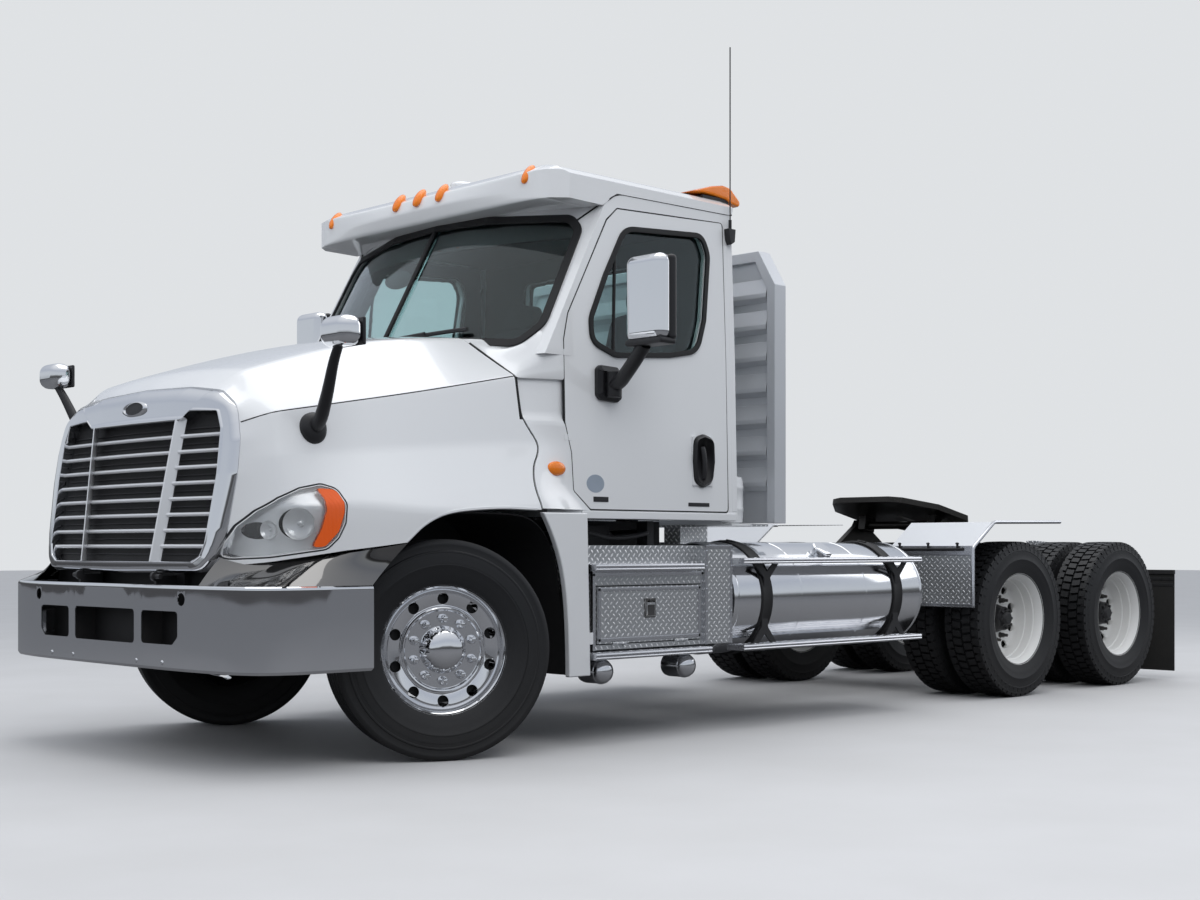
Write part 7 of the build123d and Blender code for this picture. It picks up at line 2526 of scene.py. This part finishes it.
@dataclass
class Wells:
    """Dark liners round the front wheels, splash panels beside the engine and the lines below the cab."""

    splash_y: float = 0.500
    outer_y: float = 1.140
    wall: float = 0.006

    ARCH = ((-0.690, 0.360), (-0.684, 0.640), (-0.650, 0.900), (-0.590, 1.030), (-0.500, 1.110),
            (-0.380, 1.138), (0.080, 1.138), (0.220, 1.090), (0.340, 0.990), (0.420, 0.880))

    def build(self) -> None:
        """Builds the liners, the panels and the lines."""
        line = softened(self.ARCH, 3)
        centre = Vector((-0.080, 0.510))
        back = [tuple(Vector(spot) + (Vector(spot) - centre).normalized() * self.wall) for spot in line]
        liner = Bench.side_prism("wheel_liners", [*line, *reversed(back)], (self.splash_y, self.outer_y))
        foot = Bench.block("foot", (-0.694, self.outer_y - 0.01, 0.360), (-0.684, 1.176, 0.800))
        strip = Bench.block("strip", (-2.050, self.splash_y - self.wall, 0.930),
                            (0.600, self.splash_y, 1.126))
        side = Bench.block("side", (0.080, self.splash_y - self.wall, 1.120), (0.600, self.splash_y, 1.340))
        Bench.place(Bench.both_sides(Bench.join("wheel_liners", [liner, strip, side, foot])), Paint.RUBBER,
                    "chassis")
        Bench.place(self.lines(), Paint.PLASTIC, "chassis")

    def lines(self) -> bpy.types.Object:
        """Air lines and a valve block above the boxes."""
        parts = [Bench.block("air_lines", (-1.360, 0.620, 0.985), (-1.130, 0.790, 1.095), 0.008),
                 Bench.sweep("line", [(-0.760, 0.520, 1.050), (-1.100, 0.800, 1.040), (-1.400, 0.720, 1.060),
                                      (-1.655, 0.505, 1.040)], 0.020),
                 Bench.sweep("line", [(-0.900, 0.505, 1.020), (-0.960, 0.950, 1.085), (-1.250, 0.930, 1.010),
                                      (-1.620, 0.960, 1.080), (-1.640, 0.505, 1.060)], 0.012)]
        for x in (-0.980, -1.520):
            parts.append(Bench.block("stand", (x - 0.025, 0.860, 0.985), (x + 0.025, 0.940, 1.120), 0.004))
        return Bench.both_sides(Bench.join("air_lines", parts))


@dataclass
class RearDeck:
    """Deck plates, cab guard, quarter fenders, flaps and the white canister."""

    axle_x: float = -4.750
    guard_x: float = -2.420
    guard_low: float = 1.115

    def build(self) -> None:
        """Builds every piece behind the cab."""
        Soft.carry("deck_plates", Paint.TREAD, 0.003)
        Soft.carry("quarter_fenders", Paint.TREAD, 0.002)
        Soft.carry("mud_flaps", Paint.FLAP, 0.002)
        Bench.place(self.guard(), Paint.RACK, "chassis", ("cab_guard",))
        Bench.place(self.rails(), Paint.EXTRUDED, "chassis")
        Bench.place(self.slopes(), Paint.RACK, "chassis")
        Bench.place(self.pegs(), Paint.PLASTIC, "chassis")
        Bench.place(self.canister(), Paint.WHITE, "chassis")
        Bench.place(self.hooks(), Paint.RUBBER, "chassis")

    def guard(self) -> bpy.types.Object:
        """Rack of one folded panel with louvres, a broad flange round it and two rows of rivets."""
        x, low = self.guard_x, self.guard_low
        outer = [(-1.080, low), (1.080, low), (1.080, 2.460), (0.960, 2.660), (-0.960, 2.660),
                 (-1.080, 2.460)]
        inner = [(-1.020, low - 0.01), (1.020, low - 0.01), (1.020, 2.435), (0.935, 2.600), (-0.935, 2.600),
                 (-1.020, 2.435)]
        frame_piece = Bench.front_prism("cab_guard", outer, (x - 0.060, x + 0.040))
        Bench.cut(frame_piece, Bench.front_prism("hole", inner, (x - 0.2, x + 0.2)))
        Bench.round_edges(frame_piece, 0.005, 2, 30)
        panel = Bench.front_prism("panel", [(y * 0.985, z if z > low else low + 0.002) for y, z in outer],
                                  (x - 0.005, x + 0.005))
        parts = [frame_piece, panel]
        for k in range(7):
            z = 1.300 + k * 0.178
            section = [(x + 0.004, z), (x + 0.010, z + 0.001), (x + 0.034, z + 0.020), (x + 0.038, z + 0.030),
                       (x + 0.038, z + 0.046), (x + 0.034, z + 0.054), (x + 0.010, z + 0.132),
                       (x + 0.004, z + 0.136)]
            parts.append(Bench.side_prism("louvre", section, (-1.012, 1.012), 0.002))
        hook = Bench.rod("rivet", (x - 0.062, 1.050, 0), (x - 0.066, 1.050, 0), 0.010, 12, 0.001)
        moves = [Matrix.Translation((0, y, 1.25 + 0.20 * k)) for k in range(7) for y in (0.0, -2.100)]
        parts.append(Bench.repeat(hook, "rivets", moves))
        return Bench.join("cab_guard", parts)

    def rails(self) -> bpy.types.Object:
        """Bright edge rail along each quarter fender and its folded front lip."""
        a = self.axle_x
        path = [(a + 0.602, 1.228, 0.610), (a + 0.602, 1.228, 0.968), (a + 0.592, 1.228, 0.985),
                (a + 0.368, 1.228, 1.136), (a + 0.345, 1.228, 1.1415), (a - 0.446, 1.228, 1.1505)]
        edge = Bench.sweep("fender_rails", path, 0.0115, smooth=False)
        angle = Bench.block("angle", (a + 0.598, 0.600, 0.930), (a + 0.606, 1.224, 0.990), 0.002)
        foot = Bench.block("foot", (a + 0.597, 0.600, 0.602), (a + 0.606, 1.224, 0.622), 0.002)
        return Bench.both_sides(Bench.join("fender_rails", [edge, angle, foot]))

    def slopes(self) -> bpy.types.Object:
        """Plain plate over the front slope of each fender."""
        a = self.axle_x
        up = Vector((0.563, 0.826)) * 0.0025
        foot, head = Vector((a + 0.600, 0.9762)), Vector((a + 0.361, 1.1408))
        outline = [tuple(spot) for spot in (foot, head, head + up, foot + up)]
        return Bench.both_sides(Bench.side_prism("fender_slopes", outline, (0.594, 1.228)))

    def pegs(self) -> bpy.types.Object:
        """Dark bar across each fender's bend with three short pegs."""
        x = self.axle_x + 0.610
        parts = [Bench.rod("fender_pegs", (x, 0.640, 0.968), (x, 1.160, 0.968), 0.011, 16, 0.002)]
        for y in (0.680, 0.900, 1.120):
            parts.append(Bench.rod("peg", (x, y, 0.966), (x + 0.006, y, 1.004), 0.008, 16, 0.002))
            parts.append(Bench.ball("head", (x + 0.006, y, 1.004), (0.012, 0.012, 0.008), 8))
        return Bench.both_sides(Bench.join("fender_pegs", parts))

    def canister(self) -> bpy.types.Object:
        """White canister with its bands and domed ends."""
        profile = [(1.112, 0.0), (1.112, 0.045), (1.122, 0.060), (1.150, 0.0635), (1.180, 0.0635),
                   (1.184, 0.066), (1.204, 0.066), (1.208, 0.0635), (1.300, 0.0635), (1.304, 0.066),
                   (1.324, 0.066), (1.328, 0.0635), (1.345, 0.0635), (1.372, 0.056), (1.382, 0.030),
                   (1.384, 0.0)]
        body = Bench.lathe("white_canister", profile, 40)
        body.data.transform(Matrix.Translation((-2.215, 0.905, 0)) @ UPRIGHT)
        shelf = Bench.block("shelf", (-2.300, 0.700, 1.100), (-2.130, 0.980, 1.113), 0.003)
        return Bench.join("white_canister", [Bench.smooth(body, 35), shelf])

    def hooks(self) -> bpy.types.Object:
        """Bars and bolts that clamp the mud flaps."""
        parts = []
        for z in (0.700, 0.745):
            low, high = (-6.873, 0.602, z - 0.012), (-6.859, 1.208, z + 0.012)
            parts.append(Bench.block("flap_clamps", low, high, 0.003))
        for y in (0.66, 0.80, 0.95, 1.10, 1.17):
            parts.append(Bench.rod("bolt", (-6.874, y, 0.745), (-6.856, y, 0.745), 0.009, 6, 0.001))
        return Bench.both_sides(Bench.join("flap_clamps", parts))


class Studio:
    """Pale floor and backdrop, soft lamps, the world and the camera that matches the photo."""

    CAMERA_AT = (7.7015, 7.052, 0.981)
    CAMERA_TURN = (90.0, 0.0, 135.655)
    LENS = 49.74
    SHIFT_Y = 0.081

    def build(self) -> None:
        """Builds the whole studio."""
        self.ground()
        self.world()
        self.lamps()
        self.camera()

    def ground(self) -> None:
        """Pale matte floor."""
        bpy.ops.mesh.primitive_plane_add(size=120)
        floor = Bench.named("studio_floor")
        material = bpy.data.materials.new("studio_floor")
        material.use_nodes = True
        graph = Graph(material.node_tree)
        shader = material.node_tree.nodes["Principled BSDF"]
        place = graph.add("ShaderNodeTexCoord")
        speck = graph.add("ShaderNodeTexNoise", {"Vector": place.outputs["Object"], "Scale": 1.4,
                                                 "Detail": 6.0})
        pale = graph.blend(speck.outputs["Fac"], (0.58, 0.58, 0.58, 1), (0.66, 0.66, 0.67, 1))
        path = graph.add("ShaderNodeLightPath")
        colour = graph.blend(path.outputs["Is Camera Ray"], (0.13, 0.13, 0.135, 1), pale)
        material.node_tree.links.new(colour, shader.inputs["Base Color"])
        shader.inputs["Roughness"].default_value = 0.62
        floor.data.materials.append(material)

    def world(self) -> None:
        """Sky-like dome: bright above, pale at the horizon, and a level pale tone for the camera."""
        world = bpy.data.worlds.new("studio")
        bpy.context.scene.world = world
        world.use_nodes = True
        world.node_tree.nodes.clear()
        graph = Graph(world.node_tree)
        place = graph.add("ShaderNodeTexCoord")
        part = graph.add("ShaderNodeSeparateXYZ", {0: place.outputs["Generated"]})
        ramp = graph.add("ShaderNodeValToRGB", {0: part.outputs["Z"]})
        stops = ((0.0, (0.07, 0.07, 0.075, 1)), (0.055, (0.12, 0.125, 0.13, 1)),
                 (0.10, (0.62, 0.66, 0.71, 1)), (0.35, (0.50, 0.54, 0.62, 1)), (1.0, (0.95, 0.97, 1.0, 1)))
        ramp.color_ramp.elements.remove(ramp.color_ramp.elements[1])
        for k, (spot, colour) in enumerate(stops):
            stop = ramp.color_ramp.elements[0] if k == 0 else ramp.color_ramp.elements.new(spot)
            stop.position, stop.color = spot, colour
        dome = graph.add("ShaderNodeBackground", {"Color": ramp.outputs[0], "Strength": 0.9})
        plain = graph.add("ShaderNodeBackground", {"Color": (0.74, 0.76, 0.78, 1), "Strength": 1.0})
        path = graph.add("ShaderNodeLightPath")
        mix = graph.add("ShaderNodeMixShader", {0: path.outputs["Is Camera Ray"], 1: dome.outputs[0],
                                                2: plain.outputs[0]})
        graph.add("ShaderNodeOutputWorld", {0: mix.outputs[0]})

    def lamps(self) -> None:
        """Broad soft panels above and beside the truck."""
        panels = (("key", (4.5, 7.5, 7.5), 6.0, 260.0), ("fill", (9.0, -3.0, 5.0), 6.0, 120.0),
                  ("top", (0.0, 0.0, 9.5), 9.0, 300.0), ("back", (-9.0, 3.0, 6.0), 6.0, 120.0))
        for name, spot, size, power in panels:
            bpy.ops.object.light_add(type="AREA", location=spot)
            lamp = bpy.context.object
            lamp.name = name
            lamp.data.size = size
            lamp.data.energy = power
            lamp.visible_glossy = name in ("top", "back")
            lamp.rotation_euler = (Vector((0, 0, 1.2)) - Vector(spot)).to_track_quat("-Z", "Y").to_euler()

    def camera(self) -> None:
        """Camera that matches the photo's view."""
        bpy.ops.object.camera_add(location=self.CAMERA_AT)
        camera = bpy.context.object
        camera.name = "camera"
        camera.rotation_euler = [math.radians(a) for a in self.CAMERA_TURN]
        camera.data.lens = self.LENS
        camera.data.sensor_width = 36.0
        camera.data.shift_y = self.SHIFT_Y
        camera.data.clip_end = 400.0
        bpy.context.scene.camera = camera
        bpy.context.scene.view_settings.view_transform = "Standard"


def main() -> None:
    """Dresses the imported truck, group by group, then lights and frames it."""
    logging.basicConfig(level=logging.INFO, format="%(name)s: %(message)s")
    hood = Hood()
    cab = Cab()
    groups = (hood, Headlights(hood), Grille(hood), Bumper(hood), HoodMirrors(), cab, Cowl(cab, hood),
              Door(cab, Side.LEFT), Door(cab, Side.RIGHT), Interior(cab), Wheels(), Chassis(), SideGear(),
              Wells(), RearDeck(), Studio())
    for group in groups:
        log.info("building %s", type(group).__name__)
        group.build()


if __name__ == "__main__":
    main()
